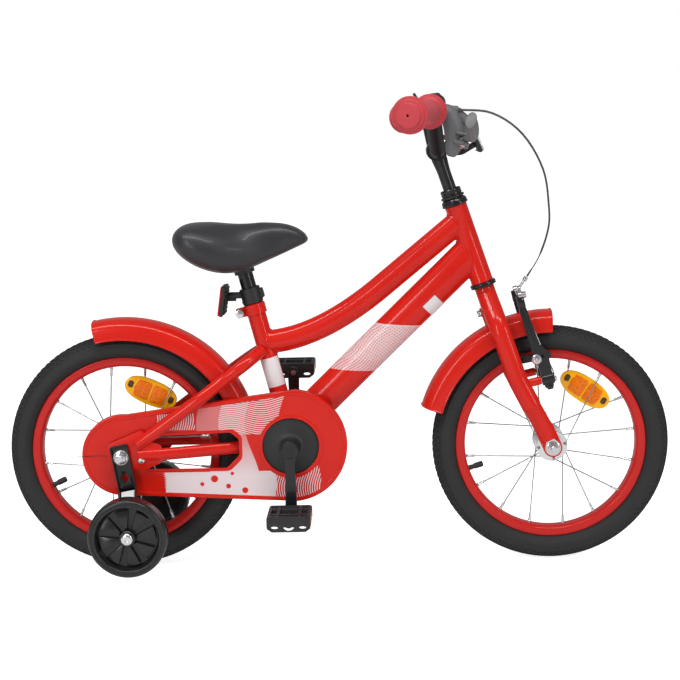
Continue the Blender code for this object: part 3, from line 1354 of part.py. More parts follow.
def make_brake_arms():
    for side, label in ((-1, "right"), (1, "left")):
        body = "brake_arm_" + label
        boss = brake_boss(side)
        up = arm_up()
        ahead = boss_way()
        place = Matrix.Translation(boss) @ Matrix((
            (up.x, ahead.x, 0, 0), (up.y, ahead.y, -1, 0), (up.z, ahead.z, 0, 0), (0, 0, 0, 1)))
        inward = side * 0.004
        shape = plate_mesh(body, arm_profile(), 0.0095)
        arm = add_piece(body, shape, "black_plastic", body,
                        Matrix.Translation((0, -inward * 0.25, 0)) @ place)
        hub_place = along(boss, ahead)
        cut(arm, "arm_eye_" + label, rod_mesh("arm_eye", 0.0060, -0.05, 0.05, SMALL_STEPS), hub_place)
        join(arm, "arm_hub_" + label,
             pipe_mesh("arm_hub", 0.0082, BRAKE_PIN_RADIUS + RUNNING_GAP, 0.0004, 0.0179, SMALL_STEPS),
             hub_place)
        pad_at = pad_centre(side)
        cut(arm, "pad_hole_" + label, rod_mesh("pad_hole", 0.003 + TOUCH_GAP, -0.1, 0.1, SMALL_STEPS),
            across(Vector((pad_at.x, boss.y, pad_at.z))))
        make_pad(side, label, body)
    top_y = BRAKE_BOSS_SPACING / 2 - 0.001
    tie = brake_tie_centre()
    guide = bpy.data.objects["brake_arm_left"]
    join(guide, "guide_holder", box_mesh("guide_holder", (0.011, 0.0085, 0.018), 0.001),
         Matrix.Translation((tie.x, top_y, tie.z - 0.0045)))
    cut(guide, "guide_bore", rod_mesh("guide_bore", 0.0022 + TOUCH_GAP, -0.02, 0.02, 8),
        across(Vector((tie.x, top_y, tie.z))))
    anchor = bpy.data.objects["brake_arm_right"]
    anchor_at = Vector((tie.x, -top_y, tie.z))
    join(anchor, "anchor_holder", box_mesh("anchor_holder", (0.0090, 0.0085, 0.024), 0.001),
         upright(anchor_at - boss_way() * 0.0058 - arm_up() * 0.0010, arm_up()))
    clamp = turned_mesh("anchor_bolt", [(0, -0.004), (0.0024, -0.004), (0.0024, 0.0014),
                                        (0.0062, 0.0014), (0.0062, 0.0026), (0.0045, 0.0026),
                                        (0.0045, 0.0062), (0, 0.0062)], SMALL_STEPS, closed=False)
    join(anchor, "anchor_bolt", clamp, along(anchor_at + arm_up() * 0.0046, boss_way()))
    route = rounded_route(noodle_route(), 0.02, 3)
    noodle = add_piece("brake_cable_guide", tube_mesh("brake_cable_guide", route, 0.0022, 1), "zinc",
                       "brake_arm_left")
    join(noodle, "tie_wire", rod_mesh("tie_wire", 0.0009, -top_y - 0.012, top_y, 6),
         across(Vector((tie.x, 0, tie.z))))
    join(noodle, "guide_stop", rod_mesh("guide_stop", 0.0040, top_y - 0.0095, top_y - 0.0050, 8),
         across(Vector((tie.x, 0, tie.z))))


def pad_centre(side):
    """On the rim's side face, straight above the brake arm's line."""
    track = RIM_RADIUS - PAD_UNDER_RIM_EDGE
    boss = brake_boss(side)
    up = arm_up()
    reach = 0.034
    spot = boss + up * reach
    way = (spot - Vector((FRONT_AXLE.x, spot.y, FRONT_AXLE.z))).normalized()
    return Vector((FRONT_AXLE.x, side * RIM_WIDTH / 2, FRONT_AXLE.z)) + Vector((way.x, 0, way.z)) * track


def make_pad(side, label, body):
    centre = pad_centre(side)
    angle = math.atan2(centre.z - FRONT_AXLE.z, centre.x - FRONT_AXLE.x)
    turn = Matrix.Rotation(-(angle - math.pi / 2), 4, 'Y')
    rubber = box_mesh("brake_pad_" + label, (PAD_LENGTH, PAD_THICKNESS, PAD_HEIGHT), 0.0015)
    rubber_at = centre + SIDE * side * (PAD_GAP + PAD_THICKNESS / 2)
    pad = add_piece("brake_pad_" + label, rubber, "black_plastic", body,
                    Matrix.Translation(rubber_at) @ turn)
    shoe_at = centre + SIDE * side * (PAD_GAP + PAD_THICKNESS + 0.001)
    join(pad, "pad_shoe_" + label, box_mesh("pad_shoe", (PAD_LENGTH - 0.006, 0.003, PAD_HEIGHT + 0.002)),
         Matrix.Translation(shoe_at) @ turn)
    outer_face = BRAKE_BOSS_SPACING / 2 + 0.0042
    depth = outer_face - RIM_WIDTH / 2
    stud = turned_mesh("pad_stud", [(0, 0.006), (0.003, 0.006), (0.003, depth), (0.0062, depth),
                                    (0.0062, depth + 0.005), (0.003, depth + 0.0055),
                                    (0.003, depth + 0.008), (0, depth + 0.008)], SMALL_STEPS, closed=False)
    join(pad, "pad_stud_" + label, stud, along(centre, SIDE * side))


def make_front_reflector():
    """A plate under the bar, facing forward, on an arm from the stem head."""
    centre = steer_point(STEM_REACH)
    plate_at = centre + Vector((0.0585, 0, 0.010))
    tilt = Matrix.Rotation(-math.radians(23), 4, 'Y')
    reflector = add_piece("front_reflector",
                          box_mesh("front_reflector", (0.008, 0.052, 0.027), 0.002),
                          "clear_lens", "steering", Matrix.Translation(plate_at) @ tilt)
    hold = HANDLEBAR_FLAT - 0.0095
    ring_at = centre + Vector((0, hold, 0))
    radius = HANDLEBAR_DIAMETER / 2
    arm = rounded_route([ring_at + Vector((radius + 0.001, 0, -0.001)),
                         centre + Vector((0.036, 0.0246, -0.004)),
                         plate_at + Vector((-0.003, 0.010, -0.002))],
                        0.012, 2)
    join(reflector, "reflector_arm_front", tube_mesh("reflector_arm_front", arm, 0.0036, 1))
    join(reflector, "reflector_ring", rod_mesh("reflector_ring", radius + 0.0035, -0.0018, 0.0018, 16),
         across(ring_at))
    cut(reflector, "reflector_ring_bore", rod_mesh("reflector_ring_bore", radius + TOUCH_GAP, -0.04, 0.04),
        across(ring_at))


# Mudguards


def mudguard_mesh(name, start, end):
    """A curved channel; angles are measured up from straight ahead of the axle."""
    width = MUDGUARD_HALF_WIDTH
    edge = MUDGUARD_EDGE_RADIUS
    top = MUDGUARD_RADIUS
    profile = [(edge, -width), (top - 0.013, -width * 0.97), (top - 0.0045, -width * 0.80),
               (top, -width * 0.42), (top, width * 0.42), (top - 0.0045, width * 0.80),
               (top - 0.013, width * 0.97), (edge, width)]
    outline = bpy.data.meshes.new(name + "_outline")
    outline.from_pydata([(r, 0, h) for r, h in profile], [(i, i + 1) for i in range(len(profile) - 1)], [])
    holder = bpy.data.objects.new(name, outline)
    steps = max(6, round(math.degrees(end - start) / 7))
    screw = holder.modifiers.new("Screw", 'SCREW')
    screw.axis = 'Z'
    screw.angle = end - start
    screw.steps = steps
    screw.render_steps = steps
    screw.use_merge_vertices = True
    screw.merge_threshold = 0.000002
    screw.use_normal_calculate = True
    wall = holder.modifiers.new("Solidify", 'SOLIDIFY')
    wall.thickness = MUDGUARD_THICKNESS
    wall.offset = 0
    return frozen_mesh(name, holder)


def make_mudguards():
    for name, axle, body, tip, tail in (
            ("front_mudguard", FRONT_AXLE, "steering", FRONT_MUDGUARD_TIP, FRONT_MUDGUARD_TAIL),
            ("rear_mudguard", REAR_AXLE, "frame", REAR_MUDGUARD_TIP, REAR_MUDGUARD_TAIL)):
        mesh = mudguard_mesh(name, tip, tail)
        place = across(axle) @ Matrix.Rotation(-tail, 4, 'Z')
        add_piece(name, mesh, "red_paint", body, place)
    front = bpy.data.objects["front_mudguard"]
    tab_up = MUDGUARD_RADIUS + MUDGUARD_TAB_OVER_MUDGUARD - FORK_LENGTH
    bolt_up = MUDGUARD_RADIUS + MUDGUARD_BOLT_OVER_MUDGUARD - FORK_LENGTH
    tab_at = steer_point(tab_up, -CROWN_RADIUS - 0.0016)
    join(front, "mudguard_tab", box_mesh("mudguard_tab", (0.002, 0.016, 0.034)), upright(tab_at, STEER_UP))
    bolt = turned_mesh("tab_bolt", [(0, -0.0065), (0.0055, -0.0065), (0.0055, -0.001), (0.0025, -0.001),
                                    (0.0025, 0.0005), (0, 0.0005)], SMALL_STEPS, closed=False)
    join(front, "tab_bolt", bolt, along(steer_point(bolt_up, -CROWN_RADIUS - 0.0016), STEER_AHEAD))
    rear = bpy.data.objects["rear_mudguard"]
    line = (stay_top() - REAR_AXLE).normalized()
    nut_at = REAR_AXLE + line * (MUDGUARD_RADIUS - 0.0075)
    nut = turned_mesh("guard_nut", [(0, 0), (0.005, 0), (0.005, 0.007), (0, 0.007)], SMALL_STEPS,
                      closed=False)
    join(rear, "guard_nut", nut, along(nut_at, line))


# Crank, pedals, chain and guard


def pedal_centre(side):
    """The right pedal is at the bottom of its turn and the left one at the top."""
    return CRANK + Vector((0, side * PEDAL_CENTRE, side * CRANK_LENGTH))


def crank_arm_outline(side):
    """A tapered bar from the crank axis to the pedal, round at both ends."""
    lower = arc(0, 0, CRANK_HUB_RADIUS, math.pi, math.tau, 8)
    upper = arc(0, CRANK_LENGTH, CRANK_END_RADIUS, 0, math.pi, 6)
    waist = CRANK_HUB_RADIUS * 0.56
    points = lower + [(waist, CRANK_HUB_RADIUS * 1.5)] + upper + [(-waist, CRANK_HUB_RADIUS * 1.5)]
    return [(CRANK.x + x, CRANK.z + side * z) for x, z in points]


def make_crank():
    half = CRANK_ARM_THICKNESS / 2
    outer = CRANK_ARM_CENTRE + half
    arms = {}
    for side, label in ((-1, "right"), (1, "left")):
        outline = crank_arm_outline(side)
        arms[side] = add_piece("crank_arm_" + label,
                               plate_mesh("crank_arm_" + label, outline, CRANK_ARM_THICKNESS),
                               "black_paint", "crank", side_plane(side * CRANK_ARM_CENTRE))
        spindle_end = PEDAL_CENTRE + PEDAL_WIDTH / 2 - 0.006
        hub_axis = CRANK + Vector((0, 0, side * CRANK_LENGTH))
        join(arms[side], "pedal_spindle_" + label,
             turned_mesh("pedal_spindle", [(0, outer - 0.004), (PEDAL_SPINDLE_RADIUS, outer - 0.004),
                                           (PEDAL_SPINDLE_RADIUS, spindle_end), (0, spindle_end)],
                         SMALL_STEPS, closed=False), along(hub_axis, SIDE * side))
    spindle_stop = CRANK_ARM_CENTRE + half * 0.9
    join(arms[1], "crank_spindle", rod_mesh("crank_spindle", SPINDLE_RADIUS, -spindle_stop, outer - 0.004,
                                            16), across(CRANK))
    cut(arms[-1], "spindle_hole", rod_mesh("spindle_hole", SPINDLE_RADIUS + TOUCH_GAP, -0.01,
                                           spindle_stop + TOUCH_GAP, 16), along(CRANK, -SIDE))
    make_bottom_bracket()
    make_chainring()
    for side, label in ((-1, "right"), (1, "left")):
        make_pedal(side, label)


def make_bottom_bracket():
    half = SHELL_WIDTH / 2 - 0.001
    outer = SHELL_BORE / 2 - TOUCH_GAP
    bore = SPINDLE_RADIUS + RUNNING_GAP
    add_piece("bottom_bracket",
              turned_mesh("bottom_bracket",
                          [(bore, half), (outer, half), (outer, half - 0.012), (outer - 0.003, half - 0.014),
                           (outer - 0.003, -half + 0.014), (outer, -half + 0.012), (outer, -half),
                           (bore, -half)], PIPE_STEPS), "steel", "frame", across(CRANK))


def make_chainring():
    """The toothed ring, its spacer and the disc that fills the guard's opening."""
    inner_face = CHAIN_LINE - TOOTH_PLATE_THICKNESS / 2
    outer_face = CHAIN_LINE + TOOTH_PLATE_THICKNESS / 2
    disc_back = GUARD_OUTER_FACE - 0.0030
    disc_face = GUARD_OUTER_FACE - 0.0008
    arm_face = CRANK_ARM_CENTRE - CRANK_ARM_THICKNESS / 2 - TOUCH_GAP
    bore = SPINDLE_RADIUS + TOUCH_GAP
    hub = 0.0135
    profile = [(bore, inner_face), (0.030, inner_face), (0.030, outer_face), (hub, outer_face),
               (hub, disc_back), (GUARD_DISC_RADIUS, disc_back), (GUARD_DISC_RADIUS, disc_face - 0.001),
               (GUARD_DISC_RADIUS - 0.002, disc_face), (hub, disc_face), (hub - 0.001, arm_face),
               (bore, arm_face)]
    ring = add_piece("chainring", turned_mesh("chainring", profile, 20), "black_plastic", "crank",
                     along(CRANK, -SIDE))
    teeth = plate_mesh("chainring_teeth", toothed_outline(CHAINRING_TEETH), TOOTH_PLATE_THICKNESS)
    join(ring, "chainring_teeth", teeth, Matrix.Translation(CRANK) @ side_plane(-CHAIN_LINE))
    cut(ring, "chainring_bore", rod_mesh("chainring_bore", bore, 0, 0.1, PIPE_STEPS), along(CRANK, -SIDE))


def make_pedal(side, label):
    centre = pedal_centre(side)
    size = (PEDAL_LENGTH, PEDAL_WIDTH, PEDAL_THICKNESS)
    pedal = add_piece("pedal_" + label, box_mesh("pedal_" + label, size, 0.003), "black_plastic",
                      "pedal_" + label, Matrix.Translation(centre))
    for way, word in ((-1, "rear"), (1, "front")):
        window = box_mesh("pedal_window", (PEDAL_LENGTH * 0.24, PEDAL_WIDTH * 0.66, PEDAL_THICKNESS * 2))
        cut(pedal, "pedal_window_" + word + "_" + label, window,
            Matrix.Translation(centre + Vector((way * PEDAL_LENGTH * 0.26, side * 0.002, 0))))
    cut(pedal, "pedal_bore_" + label,
        rod_mesh("pedal_bore", PEDAL_SPINDLE_RADIUS + RUNNING_GAP, -PEDAL_WIDTH,
                 PEDAL_WIDTH / 2 - 0.005, SMALL_STEPS), along(centre, SIDE * side))


def make_sprocket():
    """The toothed ring on the driver of the rear hub, outside the right flange."""
    radius = AXLE_RADIUS + RUNNING_GAP
    start = FLANGE_SPACING / 2 + 0.0068
    end = CHAIN_LINE + 0.0036
    sprocket = add_piece("rear_sprocket",
                         pipe_mesh("rear_sprocket", 0.016, 0.0075 + RUNNING_GAP, start, end, 16),
                         "chain_steel", "rear_sprocket", along(REAR_AXLE, -SIDE))
    teeth = plate_mesh("sprocket_teeth", toothed_outline(SPROCKET_TEETH), TOOTH_PLATE_THICKNESS)
    join(sprocket, "sprocket_teeth", teeth, Matrix.Translation(REAR_AXLE) @ side_plane(-CHAIN_LINE))
    cut(sprocket, "sprocket_bore", rod_mesh("sprocket_bore", max(radius, 0.0075 + RUNNING_GAP), 0, 0.1,
                                            16), along(REAR_AXLE, -SIDE))


def make_chain():
    """Two side plates round both rings, joined by the links of the straight runs."""
    front = pitch_radius(CHAINRING_TEETH)
    rear = pitch_radius(SPROCKET_TEETH)
    half = CHAIN_PLATE_HEIGHT / 2
    outer = belt_outline(front + half, rear + half, 12)
    inner = belt_outline(front - half, rear - half, 12)
    width = CHAIN_INNER_WIDTH + 2 * CHAIN_PLATE_THICKNESS
    chain = add_piece("chain", plate_mesh("chain", outer, width), "chain_steel", "frame",
                      side_plane(-CHAIN_LINE))
    cut(chain, "chain_inside", plate_mesh("chain_inside", inner, width * 2), side_plane(-CHAIN_LINE))
    for radius, centre, label in ((front, CRANK, "front"), (rear, REAR_AXLE, "rear")):
        reach = radius + half + 0.004
        ring_room = rod_mesh("tooth_room", reach, -CHAIN_INNER_WIDTH / 2, CHAIN_INNER_WIDTH / 2, 18)
        cut(chain, "tooth_room_" + label, ring_room,
            across(Vector((centre.x, -CHAIN_LINE, centre.z))))


def make_guard():
    outer = belt_outline(GUARD_FRONT_RADIUS, GUARD_REAR_RADIUS, 12)
    inner = belt_outline(GUARD_FRONT_RADIUS - GUARD_WALL, GUARD_REAR_RADIUS - GUARD_WALL, 12)
    middle = -(GUARD_OUTER_FACE - GUARD_DEPTH / 2)
    guard = add_piece("chain_guard", plate_mesh("chain_guard", outer, GUARD_DEPTH), "red_paint",
                      "frame", side_plane(middle))
    cut(guard, "guard_inside", plate_mesh("guard_inside", inner, GUARD_DEPTH),
        side_plane(middle + GUARD_WALL + GUARD_BEAD_HEIGHT))
    field = add_cutter("guard_field", plate_mesh("guard_field", belt_outline(
        GUARD_FRONT_RADIUS - GUARD_BEAD, GUARD_REAR_RADIUS - GUARD_BEAD, 12), GUARD_BEAD_HEIGHT * 2),
        side_plane(-GUARD_OUTER_FACE))
    slot = slot_outline(0)
    slot_edge = slot_outline(GUARD_BEAD * 0.8)
    cut(field, "slot_edge", plate_mesh("slot_edge", slot_edge, 0.02), side_plane(-GUARD_OUTER_FACE))
    cut(field, "hole_edge", rod_mesh("hole_edge", GUARD_HOLE_RADIUS + GUARD_BEAD, 0.03, 0.07, 24),
        along(CRANK, -SIDE))
    combine(guard, field, 'DIFFERENCE')
    cut(guard, "guard_slot", plate_mesh("guard_slot", slot, 0.06), side_plane(-GUARD_OUTER_FACE))
    cut(guard, "guard_axle_hole", rod_mesh("guard_axle_hole", 0.0105, 0.03, 0.07, SMALL_STEPS),
        along(REAR_AXLE, -SIDE))
    seam = box_mesh("guard_seam", (GUARD_REAR_RADIUS, 0.03, 0.0006))
    cut(guard, "guard_seam", seam,
        Matrix.Translation(REAR_AXLE + Vector((-GUARD_REAR_RADIUS / 2 - 0.004, -0.0425, 0))))
    cut(guard, "guard_hole", rod_mesh("guard_hole", GUARD_HOLE_RADIUS, 0.03, 0.07, 24),
        along(CRANK, -SIDE))


def slot_outline(grow):
    """The long opening that the chain stay passes through."""
    x0 = REAR_AXLE.x + SLOT_FROM_AXLE - grow
    x1 = CRANK.x - SLOT_TO_CRANK + grow
    top = REAR_AXLE.z + SLOT_TOP + grow
    bottom = REAR_AXLE.z - SLOT_BOTTOM - grow
    corners = [(x0, bottom), (x1 - 0.018, bottom), (x1, bottom + 0.018), (x1, top - 0.010),
               (x1 - 0.012, top), (x0, top - 0.004)]
    return rounded_outline(corners, 0.008 + grow, 3)


# Stabilisers and the brake's reaction arm


def bracket_plane():
    return REAR_DROPOUT_SPACING / 2 + DROPOUT_THICKNESS + TOUCH_GAP


def stabiliser_centre(side):
    middle = STABILISER_INNER_FACE + STABILISER_WIDTH / 2
    return REAR_AXLE + Vector((STABILISER_AHEAD, side * middle, -STABILISER_DROP))


def make_stabilisers():
    lean = math.atan2(STABILISER_AHEAD, STABILISER_DROP)
    length = math.hypot(STABILISER_AHEAD, STABILISER_DROP)
    plane = bracket_plane()
    far = STABILISER_INNER_FACE - 0.0005 - BRACKET_THICKNESS
    thick = BRACKET_THICKNESS
    slope_top = length * 0.50
    slope_end = length * 0.84
    inner_line = [(plane, BRACKET_ABOVE_AXLE), (plane, -slope_top), (far, -slope_end),
                  (far, -length - 0.014)]
    outer_line = [(far + thick, -length - 0.014), (far + thick, -slope_end + thick * 0.5),
                  (plane + thick, -slope_top + thick * 0.5), (plane + thick, BRACKET_ABOVE_AXLE)]
    for side, label in ((-1, "right"), (1, "left")):
        outline = [(side * y, z) for y, z in inner_line + outer_line]
        if side > 0:
            outline = outline[::-1]
        face = Matrix(((0, 0, 1, 0), (1, 0, 0, 0), (0, 1, 0, 0), (0, 0, 0, 1)))
        place = Matrix.Translation(REAR_AXLE) @ Matrix.Rotation(-lean, 4, 'Y') @ face
        bracket = add_piece("stabiliser_bracket_" + label,
                            plate_mesh("stabiliser_bracket_" + label, outline, BRACKET_WIDTH),
                            "black_paint", "frame", place)
        cut(bracket, "bracket_hole_" + label,
            rod_mesh("bracket_hole", AXLE_RADIUS + TOUCH_GAP, 0.04, 0.09, SMALL_STEPS),
            along(REAR_AXLE, SIDE * side))
        centre = stabiliser_centre(side)
        half = STABILISER_WIDTH / 2
        bolt = turned_mesh("wheel_bolt", [(0, -half - 0.0025), (STABILISER_BOLT_RADIUS, -half - 0.0025),
                                          (STABILISER_BOLT_RADIUS, half - 0.0015),
                                          (0.0078, half - 0.0015), (0.0078, half + 0.001),
                                          (0.0060, half + 0.002), (0, half + 0.002)],
                           SMALL_STEPS, closed=False)
        join(bracket, "wheel_bolt_" + label, bolt, along(centre, SIDE * side))
        add_piece("stabiliser_wheel_" + label,
                  turned_mesh("stabiliser_wheel_" + label, stabiliser_profile(), 20), "black_plastic",
                  "stabiliser_wheel_" + label, along(centre, SIDE * side))


def stabiliser_profile():
    """A wide tread, a thin web and a hub, height measured outwards."""
    half = STABILISER_WIDTH / 2
    radius = STABILISER_RADIUS
    bore = STABILISER_BOLT_RADIUS + RUNNING_GAP
    return [(bore, -half + 0.0005), (0.0115, -half + 0.0005), (0.0115, -0.003), (radius - 0.014, -0.003),
            (radius - 0.012, -half), (radius - 0.003, -half), (radius, -half + 0.003),
            (radius, half - 0.003), (radius - 0.003, half), (radius - 0.010, half),
            (radius - 0.014, 0.001), (0.0115, 0.001), (0.0115, half - 0.0025), (bore, half - 0.0025)]


def make_reaction_arm():
    """The strap that keeps the back-pedal brake from turning, under the left chain stay."""
    plane = REAR_DROPOUT_SPACING / 2 - 0.0026
    x, z = REAR_AXLE.x, REAR_AXLE.z
    top = z - CHAIN_STAY_HEIGHT / 2 - 0.002
    outline = arc(x, z, 0.016, math.radians(60), math.radians(250), 6)
    outline += [(x + 0.040, top - 0.013), (x + 0.118, top - 0.010), (x + 0.122, top - 0.002),
                (x + 0.118, top + 0.0012), (x + 0.040, top), (x + 0.019, top - 0.001)]
    arm = add_piece("brake_reaction_arm", plate_mesh("brake_reaction_arm", outline, 0.0024),
                    "zinc", "frame", side_plane(plane))
    cut(arm, "reaction_hole", rod_mesh("reaction_hole", 0.0075 + TOUCH_GAP, 0, 0.1, SMALL_STEPS),
        along(REAR_AXLE, SIDE))


def make_bicycle():
    start_scene()
    make_bodies()
    make_wheels()
    make_main_tubes()
    make_stays()
    make_seat()
    make_headset()
    make_fork()
    make_stem()
    make_handlebar()
    make_brake_lever()
    make_brake_arms()
    make_cable()
    make_front_reflector()
    make_bell()
    make_mudguards()
    make_crank()
    make_sprocket()
    make_chain()
    make_guard()
    make_stabilisers()
    make_reaction_arm()


make_bicycle()
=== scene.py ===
# %% [markdown]
# # A child's red bicycle with stabilisers
# The frame of this lesson is a finished set of solids, one for each real piece of the bicycle.
# Each cell below dresses one of them: a smoother mesh where the solid is coarse, and a material
# made of nodes. Sizes are in metres, the bicycle points along +X and its chain side is -Y.

# %% Load the solids and read the main places from them
import json
import math

import bmesh
import bpy
from mathutils import Matrix, Vector


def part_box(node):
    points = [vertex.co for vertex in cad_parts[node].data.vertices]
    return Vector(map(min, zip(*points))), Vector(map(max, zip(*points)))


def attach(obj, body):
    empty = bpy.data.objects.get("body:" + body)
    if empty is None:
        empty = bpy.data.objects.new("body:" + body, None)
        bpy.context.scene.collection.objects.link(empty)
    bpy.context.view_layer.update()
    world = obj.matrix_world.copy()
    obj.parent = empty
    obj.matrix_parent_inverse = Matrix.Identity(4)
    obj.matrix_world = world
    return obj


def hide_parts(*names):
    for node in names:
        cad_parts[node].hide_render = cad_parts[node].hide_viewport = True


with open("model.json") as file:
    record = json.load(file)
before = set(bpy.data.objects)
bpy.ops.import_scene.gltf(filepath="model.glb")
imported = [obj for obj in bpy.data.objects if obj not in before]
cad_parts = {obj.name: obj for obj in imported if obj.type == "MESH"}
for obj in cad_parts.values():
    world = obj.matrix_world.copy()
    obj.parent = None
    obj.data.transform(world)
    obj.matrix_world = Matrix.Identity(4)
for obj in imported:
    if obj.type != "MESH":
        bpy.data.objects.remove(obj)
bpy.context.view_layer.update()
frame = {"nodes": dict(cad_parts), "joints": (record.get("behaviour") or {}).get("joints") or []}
joints = {joint["name"]: joint for joint in frame["joints"]}
SIDE = Vector((0, 1, 0))
SIDES = ((-1, "right"), (1, "left"))


def joint_point(name):
    return Vector(joints[name]["pos_m"])


front_axle = joint_point("front_wheel_spin")
rear_axle = joint_point("rear_wheel_spin")
crank_axis = joint_point("crank_turn")
head_foot = joint_point("steering_turn")
steer_up = Vector(joints["steering_turn"]["axis"]).normalized()
steer_ahead = SIDE.cross(steer_up)
seat_up = Vector(joints["seat_post_slide"]["axis"]).normalized()
seat_ahead = SIDE.cross(seat_up)
tyre_radius = front_axle.z
rim_radius = (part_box("front_rim")[1].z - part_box("front_rim")[0].z) / 2
print("axles", front_axle, rear_axle, "crank", crank_axis, "rim", round(rim_radius, 4))

# %% [markdown]
# ## Places
# A place is a matrix whose origin and local Z axis say where a turned or flat shape goes. Nearly
# every piece of a bicycle is turned round an axis, cut from plate or bent from tube, so a few
# kinds of place and a few shape helpers are enough.

# %% Places and points
def basis_place(origin, x_way, y_way, z_way):
    rows = [(x_way[i], y_way[i], z_way[i], origin[i]) for i in range(3)]
    return Matrix((*rows, (0, 0, 0, 1)))


def shift(x, y, z):
    return Matrix.Translation((x, y, z))


def along(origin, direction):
    """Local Z points along the direction."""
    return Matrix.Translation(origin) @ Vector(direction).to_track_quat("Z", "Y").to_matrix().to_4x4()


def across(centre, side=1):
    """Local Z runs to the left, or to the right for a side of -1."""
    return along(centre, SIDE * side)


def upright(origin, up):
    """Local X points ahead, Y to the left, Z along up."""
    up = Vector(up).normalized()
    return basis_place(origin, SIDE.cross(up), SIDE, up)


def side_plane(y):
    """Local X and Y are the bicycle's X and Z, and local Z points to the chain side."""
    return shift(0, y, 0) @ Matrix.Rotation(math.pi / 2, 4, "X")


def steer_point(up, ahead=0.0, side=0.0):
    return head_foot + steer_up * up + steer_ahead * ahead + SIDE * side


def seat_point(up, ahead=0.0, side=0.0):
    return crank_axis + seat_up * up + seat_ahead * ahead + SIDE * side


def wheel_point(axle, radius, angle, side=0.0):
    return axle + Vector((radius * math.cos(angle), side, radius * math.sin(angle)))


head_lean = math.degrees(steer_up.angle(Vector((0, 0, 1))))
print("head tube starts at", head_foot, "and leans", round(head_lean, 1))

# %% [markdown]
# ## Shape helpers
# bmesh operators do the modelling. `turned` spins a profile, `swept` bridges circles along a
# route, `plate` fills an outline and extrudes it, and `block` bevels a cube. They all add to one
# open bmesh, so that a piece can be made of several shapes. Profiles and outlines that are only
# numbers are written in millimetres, as on a drawing, and `mm` turns them into metres.

# %% Turned shapes
def mm(*points):
    return [tuple(value / 1000 for value in point) for point in points]


def mirrored(half):
    """A profile whose second half repeats the first, upside down."""
    return half + [(radius, -height) for radius, height in half[::-1] if height > 0]


def turned(shape, profile, place, steps=64):
    """Spins a profile of (radius, height) round the place's local Z.

    A profile that starts on the axis ends there too, and any other is a closed loop.
    """
    verts = [shape.verts.new(place @ Vector((radius, 0, height))) for radius, height in profile]
    edges = [shape.edges.new(pair) for pair in zip(verts, verts[1:])]
    if profile[0][0] > 0:
        edges.append(shape.edges.new((verts[-1], verts[0])))
    axis = place.to_3x3() @ Vector((0, 0, 1))
    bmesh.ops.spin(shape, geom=verts + edges, cent=place.translation, axis=axis, dvec=(0, 0, 0),
                   angle=math.tau, steps=steps, use_merge=True)


def rod(shape, place, radius, start, end, steps=32, edge=0.0006):
    """A cylinder with a small chamfer at both ends."""
    turned(shape, [(0, start), (radius - edge, start), (radius, start + edge), (radius, end - edge),
                   (radius - edge, end), (0, end)], place, steps)


def pipe(shape, place, outer, inner, start, end, steps=48, edge=0.0005):
    turned(shape, [(inner, start), (outer - edge, start), (outer, start + edge), (outer, end - edge),
                   (outer - edge, end), (inner, end)], place, steps)


# %% Swept tubes
def smooth_route(points, steps=6):
    """A smooth curve through all points."""
    points = [Vector(point) for point in points]
    padded = [2 * points[0] - points[1]] + points + [2 * points[-1] - points[-2]]
    route = []
    for p0, p1, p2, p3 in zip(padded, padded[1:], padded[2:], padded[3:]):
        for index in range(steps):
            t = index / steps
            square = (2 * p0 - 5 * p1 + 4 * p2 - p3) * t ** 2
            cube = (3 * p1 - p0 - 3 * p2 + p3) * t ** 3
            route.append((2 * p1 + (p2 - p0) * t + square + cube) / 2)
    return route + [points[-1]]


def bent_route(points, bend, steps=10):
    """Straight runs joined by round bends, as a tube bender leaves them."""
    points = [Vector(point) for point in points]
    route = [points[0]]
    for before, corner, after in zip(points, points[1:], points[2:]):
        back, on = before - corner, after - corner
        half = back.angle(on) / 2
        reach = min(back.length, on.length) * 0.48
        setback = min(bend / math.tan(half), reach)
        centre = corner + (back.normalized() + on.normalized()).normalized() * setback / math.cos(half)
        first = corner + back.normalized() * setback - centre
        last = corner + on.normalized() * setback - centre
        sweep = first.angle(last)
        for index in range(steps + 1):
            share = index / steps
            mixed = math.sin((1 - share) * sweep) * first + math.sin(share * sweep) * last
            route.append(centre + mixed / math.sin(sweep))
    return route + [points[-1]]


def at_station(value, index):
    """One value holds for a whole route, and a list has one for each station."""
    return value[index] if isinstance(value, list) else value


def swept(shape, route, radius, sides=24, width=1.0, start_side=SIDE, closed=False):
    """Circles bridged along a route; width stretches them along the start side."""
    side = Vector(start_side)
    rings = []
    last = len(route) - 1
    for index, point in enumerate(route):
        before = route[index - 1] if closed or index else route[0]
        after = route[(index + 1) % len(route)] if closed or index < last else route[last]
        way = (after - before).normalized()
        side = (side - way * side.dot(way)).normalized()
        size = at_station(radius, index)
        wide = size * at_station(width, index)
        place = basis_place(point, side.cross(way), side, way) @ Matrix.Diagonal((size, wide, 1, 1))
        ring = bmesh.ops.create_circle(shape, segments=sides, radius=1, matrix=place)["verts"]
        rings.append(list({edge for vert in ring for edge in vert.link_edges}))
    pairs = list(zip(rings, rings[1:])) + ([(rings[-1], rings[0])] if closed else [])
    for one, following in pairs:
        bmesh.ops.bridge_loops(shape, edges=one + following)
    if not closed:
        for ring in (rings[0], rings[-1]):
            bmesh.ops.edgeloop_fill(shape, edges=ring)


# %% Plates and blocks
def arc(centre_x, centre_y, radius, start, end, steps):
    angles = [start + (end - start) * index / steps for index in range(steps + 1)]
    return [(centre_x + radius * math.cos(a), centre_y + radius * math.sin(a)) for a in angles]


def rounded(corners, radius, steps=6):
    """A closed outline with its corners rounded."""
    loop = [(*corners[-1], 0), *[(*corner, 0) for corner in corners], (*corners[0], 0)]
    return [(point.x, point.y) for point in bent_route(loop, radius, steps)[1:-1]]


